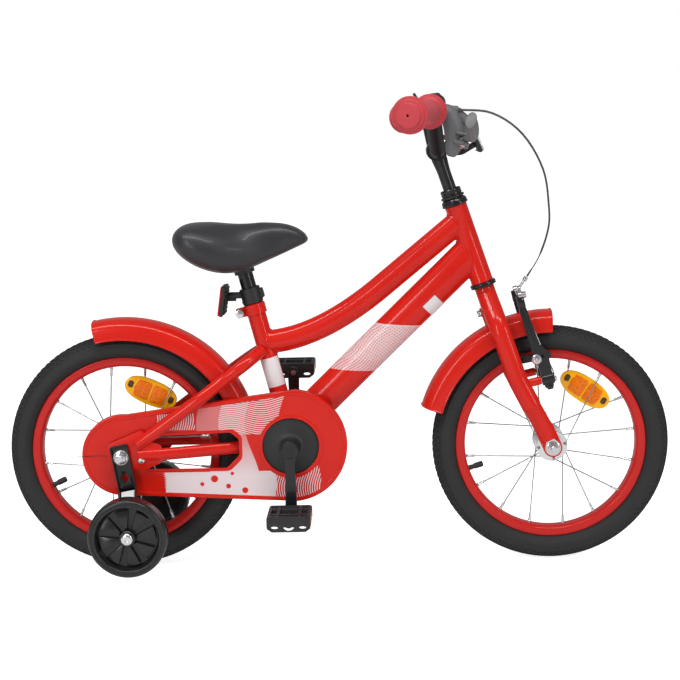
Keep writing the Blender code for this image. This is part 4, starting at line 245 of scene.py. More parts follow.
def plate(shape, outline, place, thickness, holes=(), edge=0.0):
    """Fills an outline with holes and gives it a thickness, half on each side of the place."""
    edges = []
    for loop in (outline, *holes):
        verts = [shape.verts.new(place @ Vector((x, y, -thickness / 2))) for x, y in loop]
        edges += [shape.edges.new(pair) for pair in zip(verts, verts[1:] + verts[:1])]
    filled = bmesh.ops.triangle_fill(shape, edges=edges, use_beauty=True, use_dissolve=False)
    faces = [item for item in filled["geom"] if isinstance(item, bmesh.types.BMFace)]
    raised = bmesh.ops.extrude_face_region(shape, geom=faces)["geom"]
    top = [item for item in raised if isinstance(item, bmesh.types.BMVert)]
    lift = place.to_3x3() @ Vector((0, 0, thickness))
    bmesh.ops.translate(shape, verts=top, vec=lift)
    if edge:
        rims = [e for e in shape.edges if e.is_valid and len(e.link_faces) == 2
                and (e.verts[0] in top) == (e.verts[1] in top) and e.calc_face_angle(0) > 1.2
                and (e in edges or (e.verts[0] in top and e.verts[1] in top))]
        bmesh.ops.bevel(shape, geom=rims, offset=edge, segments=2, profile=0.5, affect="EDGES",
                        material=-1, clamp_overlap=True)


def block(shape, place, size, edge=0.001, segments=3):
    """A cube with rounded edges."""
    made = bmesh.ops.create_cube(shape, size=1, matrix=place @ Matrix.Diagonal((*size, 1)))["verts"]
    if edge:
        sharp = list({e for vert in made for e in vert.link_edges})
        bmesh.ops.bevel(shape, geom=sharp, offset=edge, segments=segments, profile=0.5,
                        affect="EDGES", material=-1)


def hex_nut(shape, place, across_flats, start, end, edge=0.0005):
    """A six-sided nut along the place's local Z."""
    height = end - start
    made = bmesh.ops.create_cone(shape, cap_ends=True, segments=6, radius1=across_flats * 0.577,
                                 radius2=across_flats * 0.577, depth=height,
                                 matrix=place @ shift(0, 0, (start + end) / 2))["verts"]
    bmesh.ops.bevel(shape, geom=list({e for vert in made for e in vert.link_edges}), offset=edge,
                    segments=2, profile=0.5, affect="EDGES", material=-1)


# %% [markdown]
# ## Finishing a piece
# A finished mesh gets its doubles merged, its faces turned outwards, smooth shading with sharp
# edges kept, a material, and the body that it moves with. `covers` names the solids it stands for.

# %% Finish a piece
def finish_piece(name, shape, material, body, covers=(), slot=None, sharp=35):
    bmesh.ops.remove_doubles(shape, verts=shape.verts, dist=0.000004)
    bmesh.ops.recalc_face_normals(shape, faces=shape.faces)
    mesh = bpy.data.meshes.new(name)
    shape.to_mesh(mesh)
    shape.free()
    mesh.shade_smooth()
    mesh.set_sharp_from_angle(angle=math.radians(sharp))
    mesh.materials.append(material)
    piece = bpy.data.objects.new(name, mesh)
    bpy.context.scene.collection.objects.link(piece)
    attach(piece, body)
    if covers:
        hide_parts(*covers)
    print(name, "faces", len(mesh.polygons))
    return piece


def turned_piece(name, profile, place, steps, *finish, **choices):
    """A piece that is one turned profile, finished as finish_piece is told."""
    shape = bmesh.new()
    turned(shape, profile, place, steps)
    finish_piece(name, shape, *finish, **choices)


# %% [markdown]
# ## Materials
# Every finish starts from the Principled shader. Colour moves a little with a slow noise, since no
# sprayed, moulded or rolled surface is even, and a fine noise gives the bump: orange peel in
# paint, grain in plastic, dust in rubber. Shader values that are even all over are set on the
# shader's own sockets.

# %% Node helpers
def plug(tree, socket, value):
    """Links another node's output to a socket, or sets the socket's own value."""
    if isinstance(value, bpy.types.NodeSocket):
        tree.links.new(value, socket)
    else:
        socket.default_value = value


def add_node(tree, kind, settings=None, **inputs):
    """A shader node; an input is said by its name, or by i and its number."""
    node = tree.nodes.new("ShaderNode" + kind)
    for key, value in (settings or {}).items():
        setattr(node, key, value)
    for key, value in inputs.items():
        numbered = key[0] == "i" and key[1:].isdigit()
        plug(tree, node.inputs[int(key[1:]) if numbered else key.replace("_", " ")], value)
    return node


def maths(tree, operation, first, second=0.5):
    return add_node(tree, "Math", {"operation": operation}, i0=first, i1=second).outputs[0]


def mix_colour(tree, share, first, second):
    return add_node(tree, "Mix", {"data_type": "RGBA"}, i0=share, i6=first, i7=second).outputs[2]


def band(tree, value, low, high):
    """1 between low and high, 0 outside."""
    above = maths(tree, "GREATER_THAN", value, low)
    below = maths(tree, "LESS_THAN", value, high)
    return maths(tree, "MULTIPLY", above, below)


def rgba(colour):
    return (*colour, 1)


def shader_of(material):
    return material.node_tree.nodes["Principled BSDF"]


def set_shader(material, **inputs):
    for key, value in inputs.items():
        plug(material.node_tree, shader_of(material).inputs[key.replace("_", " ")], value)


def new_finish(name, dark, light, roughness, metallic=0.0, grain=0.02, grain_scale=900, coat=0.0,
               patch_scale=18, rough_range=0.08, sheen=0.0, specular=0.5):
    """Base colour between two close tones, uneven gloss and a fine bump."""
    material = bpy.data.materials.new(name)
    material.use_nodes = True
    tree = material.node_tree
    coords = add_node(tree, "TexCoord").outputs["Object"]
    patch = add_node(tree, "TexNoise", Vector=coords, Scale=patch_scale, Detail=4.0).outputs["Fac"]
    fine = add_node(tree, "TexNoise", Vector=coords, Scale=grain_scale, Detail=2.0).outputs["Fac"]
    gloss = add_node(tree, "MapRange", Value=patch, i3=roughness - rough_range / 2,
                     i4=roughness + rough_range / 2)
    bump = add_node(tree, "Bump", Strength=grain, Distance=0.001, Height=fine)
    set_shader(material, Base_Color=mix_colour(tree, patch, rgba(dark), rgba(light)),
               Roughness=gloss.outputs[0], Normal=bump.outputs[0], Metallic=metallic, Coat_Weight=coat,
               Coat_Roughness=0.06, Sheen_Weight=sheen, Specular_IOR_Level=specular)
    material.diffuse_color = rgba(light)
    return material


def colour_source(material):
    """The socket that feeds the base colour, so that more paint can go over it."""
    return shader_of(material).inputs["Base Color"].links[0].from_socket


# %% Plain finishes
red_paint = new_finish("red gloss paint", (0.6, 0.01, 0.005), (0.7, 0.017, 0.008), 0.26, grain=0.0,
                       coat=0.32, rough_range=0.06, specular=0.12)
rim_paint = new_finish("red rim paint", (0.52, 0.012, 0.01), (0.6, 0.018, 0.014), 0.36, grain=0.0,
                       coat=0.32, specular=0.12)
black_paint = new_finish("black gloss paint", (0.008, 0.008, 0.009), (0.014, 0.014, 0.016), 0.26,
                         grain=0.015, coat=0.3, specular=0.3)
bar_paint = new_finish("satin black bar paint", (0.005, 0.005, 0.006), (0.01, 0.01, 0.011), 0.4,
                       grain=0.015, specular=0.15)
black_plastic = new_finish("moulded black plastic", (0.01, 0.01, 0.011), (0.019, 0.019, 0.02), 0.46,
                           grain=0.1, grain_scale=1600, rough_range=0.12)
shiny_plastic = new_finish("shiny black plastic", (0.009, 0.009, 0.01), (0.017, 0.017, 0.018), 0.24,
                           grain=0.03, grain_scale=500)
grey_plastic = new_finish("grey lever plastic", (0.115, 0.116, 0.12), (0.16, 0.162, 0.168), 0.5,
                          grain=0.1, grain_scale=1500, rough_range=0.1)
tyre_rubber = new_finish("tyre rubber", (0.011, 0.011, 0.011), (0.021, 0.021, 0.021), 0.74,
                         grain=0.22, grain_scale=1400, patch_scale=30, rough_range=0.16)
grip_rubber = new_finish("soft grip rubber", (0.46, 0.022, 0.034), (0.57, 0.034, 0.048), 0.52,
                         grain=0.14, grain_scale=1800, sheen=0.15)
zinc_steel = new_finish("zinc plated steel", (0.55, 0.55, 0.56), (0.78, 0.78, 0.8), 0.24, metallic=1.0,
                        grain=0.03, patch_scale=60, rough_range=0.18)
hub_steel = new_finish("polished hub steel", (0.66, 0.66, 0.67), (0.8, 0.8, 0.81), 0.2, metallic=1.0,
                       grain=0.02, patch_scale=90, rough_range=0.12)
spoke_steel = new_finish("spoke steel", (0.3, 0.3, 0.31), (0.48, 0.48, 0.5), 0.3, metallic=1.0,
                         grain=0.02, patch_scale=120)
chain_steel = new_finish("oiled chain steel", (0.1, 0.09, 0.08), (0.26, 0.24, 0.21), 0.42, metallic=1.0,
                         grain=0.05, patch_scale=160, rough_range=0.2)
print("plain finishes", len(bpy.data.materials))

# %% [markdown]
# ## Camera, floor and light
# The camera stands at the chain side, a little ahead of the middle and above the frame, and looks
# slightly down. Floor and world look white to the camera and through clear pieces. For all other
# rays the floor doesn't glow and the world is dim, so that gloss paint stays deep. Three long
# lamps, one above and one on each side of the camera, draw the highlights along the tubes.

# %% Camera
EYE = Vector((0.0677, -2.2558, 0.6326))
AIM = Vector((0.00659, 0, 0.3278))
ROLL = -0.02307
looking = (AIM - EYE).normalized()
level_right = looking.cross(Vector((0, 0, 1))).normalized()
level_up = level_right.cross(looking)
right_way = level_right * math.cos(ROLL) + level_up * math.sin(ROLL)
up_way = level_up * math.cos(ROLL) - level_right * math.sin(ROLL)
camera_data = bpy.data.cameras.new("studio camera")
camera_data.lens = 82.81
camera_data.sensor_width = 36
camera = bpy.data.objects.new("studio camera", camera_data)
camera.matrix_world = basis_place(EYE, right_way, up_way, -looking)
bpy.context.scene.collection.objects.link(camera)
bpy.context.scene.camera = camera
print("camera", EYE, "lens", camera_data.lens)


# %% Floor, world and lamps
def seen_directly(tree):
    """1 for camera and transmission rays, so that the backdrop is white but doesn't veil the gloss."""
    path = add_node(tree, "LightPath")
    return maths(tree, "MAXIMUM", path.outputs["Is Camera Ray"], path.outputs["Is Transmission Ray"])


WHITE = (1, 1, 1, 1)
FLOOR_GLOW = 0.82
WORLD_LIGHT = 0.3
floor_shape = bmesh.new()
bmesh.ops.create_grid(floor_shape, x_segments=2, y_segments=2, size=40, matrix=shift(0, 0, -0.0004))
floor_mesh = bpy.data.meshes.new("studio_floor")
floor_shape.to_mesh(floor_mesh)
floor_shape.free()
floor = bpy.data.objects.new("studio_floor", floor_mesh)
bpy.context.scene.collection.objects.link(floor)
floor_paint = bpy.data.materials.new("pale floor")
floor_paint.use_nodes = True
glow = add_node(floor_paint.node_tree, "MapRange", Value=seen_directly(floor_paint.node_tree),
                i3=0.0, i4=FLOOR_GLOW)
set_shader(floor_paint, Base_Color=(0.97, 0.97, 0.97, 1), Roughness=1.0, Specular_IOR_Level=0.0,
           Emission_Color=WHITE, Emission_Strength=glow.outputs[0])
floor_mesh.materials.append(floor_paint)

world = bpy.data.worlds.new("studio world")
world.use_nodes = True
bpy.context.scene.world = world
bpy.context.scene.view_settings.view_transform = "Standard"
sky = world.node_tree.nodes["Background"]
strength = add_node(world.node_tree, "MapRange", Value=seen_directly(world.node_tree),
                    i3=WORLD_LIGHT, i4=1.0)
plug(world.node_tree, sky.inputs["Strength"], strength.outputs[0])
plug(world.node_tree, sky.inputs["Color"], WHITE)


def add_lamp(name, place, target, size, power):
    lamp = bpy.data.lights.new(name, "AREA")
    lamp.shape = "RECTANGLE"
    lamp.size, lamp.size_y = size
    lamp.energy = power
    holder = bpy.data.objects.new(name, lamp)
    holder.matrix_world = along(Vector(place), Vector(place) - Vector(target))
    bpy.context.scene.collection.objects.link(holder)


add_lamp("top lamp", (-0.2, -1.0, 2.4), (0, 0, 0.3), (2.6, 0.32), 38)
add_lamp("front lamp", (-1.5, -2.6, 1.2), (0, 0, 0.35), (0.5, 1.6), 20)
add_lamp("side lamp", (2.1, -1.7, 1.2), (0.1, 0, 0.35), (0.4, 1.4), 12)
print("stage and lamps ready")

# %% [markdown]
# ## The brake cable
# The cable is a steel wire in a dark grey housing. It leaves the lever forwards, bows in front of
# the head tube and ends in the bent guide on the left brake arm. A few chosen points give one
# smooth curve, and the last stretch before the guide shows the thinner bare wire.

# %% Handlebar places that the cable, the grips and the levers share
STEM_REACH = 0.2
bar_centre = steer_point(STEM_REACH)
bar_radius = 0.0111
BAR_FLAT = 0.034
SHOULDER = Vector((-0.009, 0.115, 0.0545))
grip_start_offset = Vector((-0.011, 0.14, 0.0545))
grip_end_offset = Vector((-0.043, 0.235, 0.049))


def flipped(point, side):
    return Vector((point.x, side * point.y, point.z))


def grip_start(side):
    return bar_centre + flipped(grip_start_offset, side)


def grip_way(side):
    return flipped(grip_end_offset - grip_start_offset, side).normalized()


lever_clamp = (grip_start(-1) + bar_centre + flipped(SHOULDER, -1)) / 2
lever_pivot = joint_point("brake_lever_pull")
ARM_TILT = math.radians(12.9)
arm_up = Vector((-math.sin(ARM_TILT), 0, math.cos(ARM_TILT)))
arm_ahead = Vector((math.cos(ARM_TILT), 0, math.sin(ARM_TILT)))


def brake_boss(side):
    return steer_point(-(0.2548 - 0.0978), 0.032, side * 0.042)


tie = brake_boss(1) + arm_up * 0.121
tie.y = 0
noodle_top = tie + Vector((0.016, 0.058, 0.021))
print("bar centre", bar_centre, "tie", tie)

# %% The cable itself
HOUSING_RADIUS = 0.0015
WIRE_RADIUS = 0.00085
WIRE_END_RADIUS = 0.0014
BARE_STATIONS = 6
cable_start = lever_clamp + Vector((0.0345, -0.003, 0.0015))
cable_points = [cable_start,
                steer_point(0.225, 0.0839, -0.12),
                steer_point(0.1836, 0.1157, -0.09),
                steer_point(0.1263, 0.1303, -0.048),
                steer_point(0.0733, 0.1249, -0.01),
                steer_point(0.0394, 0.1156, 0.016),
                steer_point(0.0032, 0.0926, 0.044),
                noodle_top + Vector((0.0006, 0, 0.0009))]
cable_route = smooth_route(cable_points, 5)
cable_grey = new_finish("cable housing", (0.055, 0.055, 0.058), (0.075, 0.075, 0.078), 0.45, grain=0.03,
                        grain_scale=1500)
cable_shape = bmesh.new()
cable_radii = [HOUSING_RADIUS] * (len(cable_route) - BARE_STATIONS) + [WIRE_RADIUS] * BARE_STATIONS
cable_radii[-2:] = [WIRE_END_RADIUS, WIRE_END_RADIUS]
swept(cable_shape, cable_route, cable_radii, sides=12)
ferrule_place = along(cable_route[0], cable_route[1] - cable_route[0])
turned(cable_shape, mm((0, -1), (2.6, -1), (2.8, 0), (2.8, 3), (2.2, 4), (1.8, 5), (0, 5)), ferrule_place,
       24)
cable = finish_piece("cable_run", cable_shape, cable_grey, "steering", ["brake_cable"], "cable_housing")

# %% [markdown]
# ## Tyres
# A tyre is a rubber horseshoe section turned round the axle, with a fine raised line on its side
# wall and rows of slanted knobs round the outside. The section is spun once. One knob of each row
# is placed on the surface, and a spin that copies it fills the row.

# %% One tyre section and its tread
TYRE_HALF = 0.0225
tyre_middle = tyre_radius - TYRE_HALF
TREAD_DEPTH = 0.0012
TREAD_KNOBS = 112
WHEEL_STEPS = 144


def tyre_section():
    casing = TYRE_HALF - TREAD_DEPTH
    half = []
    for degrees in (0, 8, 16, 24, 32, 40, 48, 54, 60, 63, 65, 68, 70, 73, 80, 88, 96):
        lift = 0.0009 if degrees in (65, 68) else 0
        swell = (TREAD_DEPTH - 0.0002) * max(0.0, (degrees - 54) / 42) ** 0.5
        spread = min(casing + lift + swell, TYRE_HALF)
        angle = math.radians(degrees)
        half.append((tyre_middle + spread * math.cos(angle), spread * math.sin(angle)))
    half += [(rim_radius + 0.0028, 0.0172), (rim_radius + 0.0012, 0.015), (rim_radius + 0.0005, 0.0136),
             (rim_radius + 0.0003, 0.0112), (rim_radius - 0.0066, 0.0112), (rim_radius - 0.0066, 0.0085),
             (rim_radius + 0.0016, 0.0085), (tyre_middle, 0.019), (tyre_middle + 0.0135, 0.0135),
             (tyre_middle + 0.019, 0)]
    return mirrored(half)


def tread_row(shape, axle, degrees, slant, size, offset):
    """One slanted knob, copied round the axle by a spin."""
    angle = math.tau * offset / TREAD_KNOBS
    round_way = Vector((math.cos(angle), 0, math.sin(angle)))
    lean = math.radians(degrees)
    outward = round_way * math.cos(lean) + SIDE * math.sin(lean)
    ahead = SIDE.cross(round_way).normalized()
    spot = axle + round_way * tyre_middle + outward * (TYRE_HALF - size[2] / 2)
    place = basis_place(spot, ahead, outward.cross(ahead), outward) @ Matrix.Rotation(slant, 4, "Z")
    knob = bmesh.ops.create_cube(shape, size=1, matrix=place @ Matrix.Diagonal((*size, 1)))["verts"]
    top = [face for face in shape.faces[-6:]
           if (face.calc_center_median() - spot).dot(outward) > size[2] * 0.4]
    bmesh.ops.scale(shape, vec=(0.8, 0.8, 0.8), space=Matrix.Translation(-spot),
                    verts=[vert for face in top for vert in face.verts])
    faces = list({face for vert in knob for face in vert.link_faces})
    bmesh.ops.spin(shape, geom=faces, cent=axle, axis=(0, 1, 0), dvec=(0, 0, 0),
                   angle=math.tau * (1 - 1 / TREAD_KNOBS), steps=TREAD_KNOBS - 1, use_duplicate=True)


def make_tyre(end, axle):
    shape = bmesh.new()
    for row, degrees in enumerate((5, 17, 29, 40)):
        for side in (-1, 1):
            slant = math.radians(32) * side * (1 if row % 2 else -1)
            tread_row(shape, axle, degrees * side, slant, (0.0068, 0.0031, 0.0016), 0.5 * (row % 2))
    for side in (-1, 1):
        tread_row(shape, axle, 51 * side, 0.0, (0.0052, 0.004, 0.0013), 0.25)
    turned(shape, tyre_section(), across(axle), WHEEL_STEPS)
    finish_piece(end + "_tyre_casing", shape, tyre_rubber, end + "_wheel", [end + "_tyre"], "tyre_rubber",
                 sharp=50)


# %% [markdown]
# ## Rims, valves, hubs and spokes
# The rim is a painted steel channel, the valve a rubber stem with a cap, and the hub a turned
# barrel with two flanges. Sixteen spokes lean left and right in turn and cross near the hub. Each
# is a thin swept tube with a flat head at the flange and a turned nipple at the rim.

# %% Rim and valve
def make_rim(end, axle):
    half = mm((124, 0), (124, 6), (124.4, 9.2), (125.6, 11.8), (127.4, 13.5), (129.2, 14), (136.2, 14),
              (137.4, 13.7), (138, 12.9), (138, 11.8), (130, 11.6), (128, 9), (127, 5.2), (127, 0))
    turned_piece(end + "_rim_channel", mirrored(half), across(axle), WHEEL_STEPS, rim_paint, end + "_wheel",
                 [end + "_rim"], "red_paint", sharp=40)


def make_valve(end, axle, degrees):
    angle = math.radians(degrees)
    inward = -wheel_point(Vector(), 1, angle)
    stem = mm((0, 0), (4, 0), (3.8, 11), (3.4, 12.4), (3.4, 15), (4.4, 15.4))
    for groove in range(5):
        start = 0.016 + groove * 0.002
        stem += [(0.0044, start), (0.0041, start + 0.0006), (0.0044, start + 0.0012)]
    stem += mm((4.2, 27.2), (3.4, 28.4), (0, 28.8))
    turned_piece(end + "_valve", stem, along(wheel_point(axle, 0.131, angle), inward), 24, black_plastic,
                 end + "_wheel", [end + "_inner_tube"], "tube_rubber")


# %% Hub and spokes
FLANGE_SPACING = 0.062
SPOKE_COUNT = 16
SPOKE_RADIUS = 0.00095
SPOKE_TIP = 0.1238
SPOKE_LEAN = math.radians(45)
FIRST_SPOKE = math.radians(8.5)
NIPPLE_LENGTH = 0.013


def make_hub(end, axle, flange, barrel):
    outer = FLANGE_SPACING / 2
    half = [(0.005, outer + 0.006), (barrel * 0.7, outer + 0.006), (barrel * 0.76, outer + 0.0052),
            (barrel * 0.84, outer + 0.0008), (flange - 0.0075, outer), (flange - 0.0008, outer),
            (flange, outer - 0.0006), (flange, outer - 0.0024), (flange - 0.0008, outer - 0.003),
            (barrel + 0.0012, outer - 0.0034), (barrel, outer - 0.0052), (barrel * 0.97, 0.004),
            (barrel * 0.97, 0)]
    turned_piece(end + "_hub_shell", mirrored(half), across(axle), 72, hub_steel, end + "_wheel",
                 [end + "_hub"], "steel", sharp=30)
    make_spokes(end, axle, flange - 0.003)


def make_spokes(end, axle, hole_radius):
    spokes = bmesh.new()
    nipples = bmesh.new()
    for index in range(SPOKE_COUNT):
        side = -1 if index % 2 == 0 else 1
        lean = 1 if (index // 2) % 2 == 0 else -1
        rim_angle = FIRST_SPOKE + math.tau * index / SPOKE_COUNT
        hub_angle = rim_angle + lean * SPOKE_LEAN
        outside = side * (FLANGE_SPACING / 2 - 0.0015) - lean * side * 0.0008
        foot = wheel_point(axle, hole_radius, hub_angle, outside)
        tip = wheel_point(axle, SPOKE_TIP, rim_angle, side * 0.003)
        way = (tip - foot).normalized()
        inward = -SIDE * lean * side
        bend = foot + inward * 0.0016
        swept(spokes, [bend + inward * 0.0014, bend, foot + way * 0.003, tip - way * NIPPLE_LENGTH],
              SPOKE_RADIUS, sides=8, start_side=(0.3, 0.1, 0.9))
        turned(nipples, [(0, 0), (0.0015, 0), (0.0019, 0.0012), (0.0019, 0.0095), (0.0024, 0.0105),
                         (0.0024, NIPPLE_LENGTH), (0, NIPPLE_LENGTH)],
               along(tip - way * NIPPLE_LENGTH, way), 10)
        rod(spokes, across(bend + inward * 0.002, side), 0.0021, -0.0004, 0.0004, 12, 0.0002)
    finish_piece(end + "_spokes", spokes, spoke_steel, end + "_wheel", slot="steel", sharp=60)
    finish_piece(end + "_nipples", nipples, zinc_steel, end + "_wheel", slot="zinc")


# %% [markdown]
# ## Wheel reflectors
# The amber reflector is a moulded oval whose back is cut into small cells that send light back.
# The body is a filled outline with a bevelled edge. Two raised fields hold the cells, which a
# Voronoi pattern in the material draws, and dark clips sit near both ends.

# %% Lens material with cells
def new_lens(name, dark, light, cell_scale=420.0):
    material = new_finish(name, dark, light, 0.16, grain=0.0, coat=0.15, rough_range=0.04, specular=0.2)
    tree = material.node_tree
    coords = add_node(tree, "TexCoord").outputs["Object"]
    cells = add_node(tree, "TexVoronoi", {"feature": "F1"}, Vector=coords, Scale=cell_scale)
    bright, deep = rgba([c * 1.06 for c in light]), rgba([c * 0.66 for c in dark])
    bump = add_node(tree, "Bump", Strength=0.35, Distance=0.0006, Height=cells.outputs["Distance"])
    set_shader(material, Base_Color=mix_colour(tree, cells.outputs["Distance"], bright, deep),
               Normal=bump.outputs[0])
    return material


amber_frame = new_finish("amber moulding", (0.97, 0.42, 0.003), (1.0, 0.52, 0.008), 0.2, grain=0.02,
                         coat=0.2, specular=0.2)
amber_cells = new_lens("amber cells", (0.92, 0.14, 0.0006), (1.0, 0.24, 0.001))
red_cells = new_lens("red cells", (0.42, 0.004, 0.004), (0.62, 0.012, 0.012), 380.0)
clear_cells = new_lens("clear cells", (0.55, 0.56, 0.58), (0.8, 0.81, 0.83), 380.0)
brown_clip = new_finish("dark clip", (0.05, 0.018, 0.004), (0.1, 0.035, 0.006), 0.4, grain=0.06)
REFLECTOR_FROM_AXLE = 0.092


def wheel_spot(centre, angle, radius):
    """Local X runs along the rim, Y outwards from the axle, Z to the chain side."""
    spot = Matrix.Translation(wheel_point(centre, radius, angle))
    return spot @ side_plane(0) @ Matrix.Rotation(angle - math.pi / 2, 4, "Z")


def oval(length, height, steps=48):
    points = []
    for index in range(steps):
        angle = math.tau * index / steps
        x, y = math.cos(angle), math.sin(angle)
        points.append((length / 2 * math.copysign(abs(x) ** 0.8, x),
                       height / 2 * math.copysign(abs(y) ** 0.9, y)))
    return points


def make_wheel_reflector(end, axle, degrees):
    place = wheel_spot(axle, math.radians(degrees), REFLECTOR_FROM_AXLE)
    body = end + "_wheel"
    shape = bmesh.new()
    plate(shape, oval(0.08, 0.037), place, 0.0056, edge=0.0012)
    finish_piece(end + "_reflector_body", shape, amber_frame, body, [end + "_wheel_reflector"],
                 "orange_lens")
    shape = bmesh.new()
    corners = mm((1.2, -13.5), (22.5, -12.5), (25, 0), (22.5, 12.5), (1.2, 13.5))
    field = rounded(corners, 0.003)
    for sign in (-1, 1):
        plate(shape, [(sign * x, y) for x, y in field][::sign], place, 0.0068, edge=0.0004)
    finish_piece(end + "_reflector_cells", shape, amber_cells, body, slot="orange_lens")
    shape = bmesh.new()
    for sign in (-1, 1):
        clip = place @ shift(sign * 0.0315, 0.001, 0)
        block(shape, clip, (0.0075, 0.0085, 0.008), 0.0008)
        block(shape, clip, (0.003, 0.0105, 0.0074), 0.0004)
    finish_piece(end + "_reflector_clips", shape, brown_clip, body, slot="orange_lens")


# %% Axles, washers and nuts
def flanged_nut(shape, place, start, length=0.008, flats=0.015, flange=0.0098):
    """A hexagon nut on a round flange, local Z pointing outwards."""
    turned(shape, [(0, start), (flange - 0.0004, start), (flange, start + 0.0005),
                   (flange - 0.0003, start + 0.0014), (flats * 0.52, start + 0.0022), (0, start + 0.0022)],
           place, 40)
    hex_nut(shape, place, flats, start + 0.0012, start + length, 0.0007)


def threaded_end(shape, place, radius, start, end):
    profile = [(0, start), (radius, start)]
    turns = max(2, round((end - start) / 0.0011))
    for index in range(turns):
        z = start + (end - start - 0.0006) * index / turns
        profile += [(radius, z + 0.0003), (radius - 0.0004, z + 0.0007)]
    turned(shape, profile + [(radius - 0.0006, end), (0, end)], place, 24)


def make_axle(end, body, axle, face, half_length, inner_face):
    shape = bmesh.new()
    rod(shape, across(axle), 0.0044, -face, face, 24)
    for side in (-1, 1):
        place = across(axle, side)
        flanged_nut(shape, place, face + 0.0009)
        threaded_end(shape, place, 0.0044, face + 0.004, half_length)
        hex_nut(shape, place, 0.0145, inner_face - 0.0052, inner_face, 0.0004)
        pipe(shape, place, 0.0078, 0.0044, 0.0378, inner_face - 0.005, 24)
        if end == "front":
            tear = arc(0, 0, 0.0112, math.radians(150), math.radians(390), 28)
            flat = basis_place(axle + SIDE * side * (face + 0.00045), steer_ahead * side, steer_up,
                               SIDE * side)
            plate(shape, tear + [(0.0024, 0.018), (-0.0024, 0.018)], flat, 0.0009)
        else:
            pipe(shape, place, 0.0108, 0.0045, face, face + 0.0009, 32, 0.0002)
    finish_piece(end + "_axle_set", shape, zinc_steel, body, [end + "_axle"], "zinc", sharp=32)


# %% Make both wheels
for end, axle, flange, barrel, reflector_degrees, valve_degrees in (
        ("front", front_axle, 0.0225, 0.013, 56, 197.5), ("rear", rear_axle, 0.029, 0.022, 66, 205)):
    make_tyre(end, axle)
    make_rim(end, axle)
    make_valve(end, axle, valve_degrees)
    make_hub(end, axle, flange, barrel)
    make_wheel_reflector(end, axle, reflector_degrees)
make_axle("front", "steering", front_axle, 0.0473, 0.0593, 0.0417)
make_axle("rear", "frame", rear_axle, 0.0626, 0.0746, 0.0547)

# %% [markdown]
# ## Frame tubes
# The frame is welded from steel tubes: a round head tube, a curved oval top tube, a deep oval down
# tube and a round seat tube on the bearing shell. Oval tubes are sweeps of stretched circles, round
# ones are turned, and a bead of weld follows the true line where two of them meet. The bead route
# is found by sliding every point of an oval section along its tube until it touches the round one.

# %% Weld beads
HEAD_TUBE_LENGTH = 0.1174
HEAD_TUBE_RADIUS = 0.0159
SEAT_TUBE_LENGTH = 0.209
SEAT_TUBE_RADIUS = 0.0135


def meeting_line(centre, way, height, width, axis_point, axis_way, radius, steps=40):
    """Where the surface of an oval tube meets the surface of a round one."""
    way = way.normalized()
    up = SIDE.cross(way).normalized()
    line = []
    flat_way = way - axis_way * way.dot(axis_way)
    for index in range(steps):
        angle = math.tau * index / steps
        round_offset = up * height / 2 * math.cos(angle) + SIDE * width / 2 * math.sin(angle)
        offset = centre - axis_point + round_offset
        flat = offset - axis_way * offset.dot(axis_way)
        a, b, c = flat_way.dot(flat_way), flat.dot(flat_way), flat.dot(flat) - radius * radius
        reach = (-b - math.sqrt(max(b * b - a * c, 0))) / a
        line.append(axis_point + offset + way * reach)
    return line


def weld(shape, centre, way, height, width, axis_point, axis_way, radius, bead=0.0016):
    """A rippled bead along the line where two tubes meet."""
    line = meeting_line(centre, way, height, width, axis_point, axis_way, radius)
    ripple = [bead * (1 + 0.14 * math.sin(index * 2.4)) for index in range(len(line))]
    swept(shape, line, ripple, sides=8, start_side=way.cross(SIDE) + axis_way, closed=True)


# %% Head, top, down and seat tubes
head_place = along(head_foot, steer_up)
seat_place = along(crank_axis, seat_up)

head_half = [(0.0139, 0), (0.0155, 0), (0.0161, 0.0004), (0.0161, 0.003), (HEAD_TUBE_RADIUS, 0.0034)]
head_profile = head_half + [(radius, HEAD_TUBE_LENGTH - height) for radius, height in head_half[::-1]]
turned_piece("head_pipe", head_profile, head_place, 64, red_paint, "frame", ["head_tube"], "red_paint")


def top_tube_route():
    """A curve that leaves the seat tube nearly level and climbs straight to the head tube."""
    rear = seat_point(0.149, SEAT_TUBE_RADIUS * 0.44)
    front = steer_point(0.095)
    rear_rise, front_rise = math.tan(math.radians(3.5)), math.tan(math.radians(39))
    knee_x = (front.z - rear.z - front_rise * front.x + rear_rise * rear.x) / (rear_rise - front_rise)
    knee = Vector((knee_x, 0, rear.z + rear_rise * (knee_x - rear.x)))
    bend_end = knee + (front - knee) * 0.44
    steps = 24
    route = []
    for t in [index / steps for index in range(steps + 1)]:
        route.append(rear * (1 - t) ** 2 + knee * 2 * t * (1 - t) + bend_end * t ** 2)
    return route + [bend_end.lerp(front, share) for share in (0.25, 0.5, 0.75, 1)]


TOP_HEIGHT, TOP_WIDTH = 0.0345, 0.03
DOWN_HEIGHT, DOWN_WIDTH = 0.05, 0.038
top_route = top_tube_route()
top_shape = bmesh.new()
swept(top_shape, top_route, TOP_HEIGHT / 2, sides=40, width=TOP_WIDTH / TOP_HEIGHT)
weld(top_shape, top_route[-1], top_route[-1] - top_route[-2], TOP_HEIGHT, TOP_WIDTH, head_foot, steer_up,
     HEAD_TUBE_RADIUS)
weld(top_shape, top_route[0], top_route[0] - top_route[1], TOP_HEIGHT, TOP_WIDTH * 0.86, crank_axis, seat_up,
     SEAT_TUBE_RADIUS)
finish_piece("top_pipe", top_shape, red_paint, "frame", ["top_tube"], "red_paint")

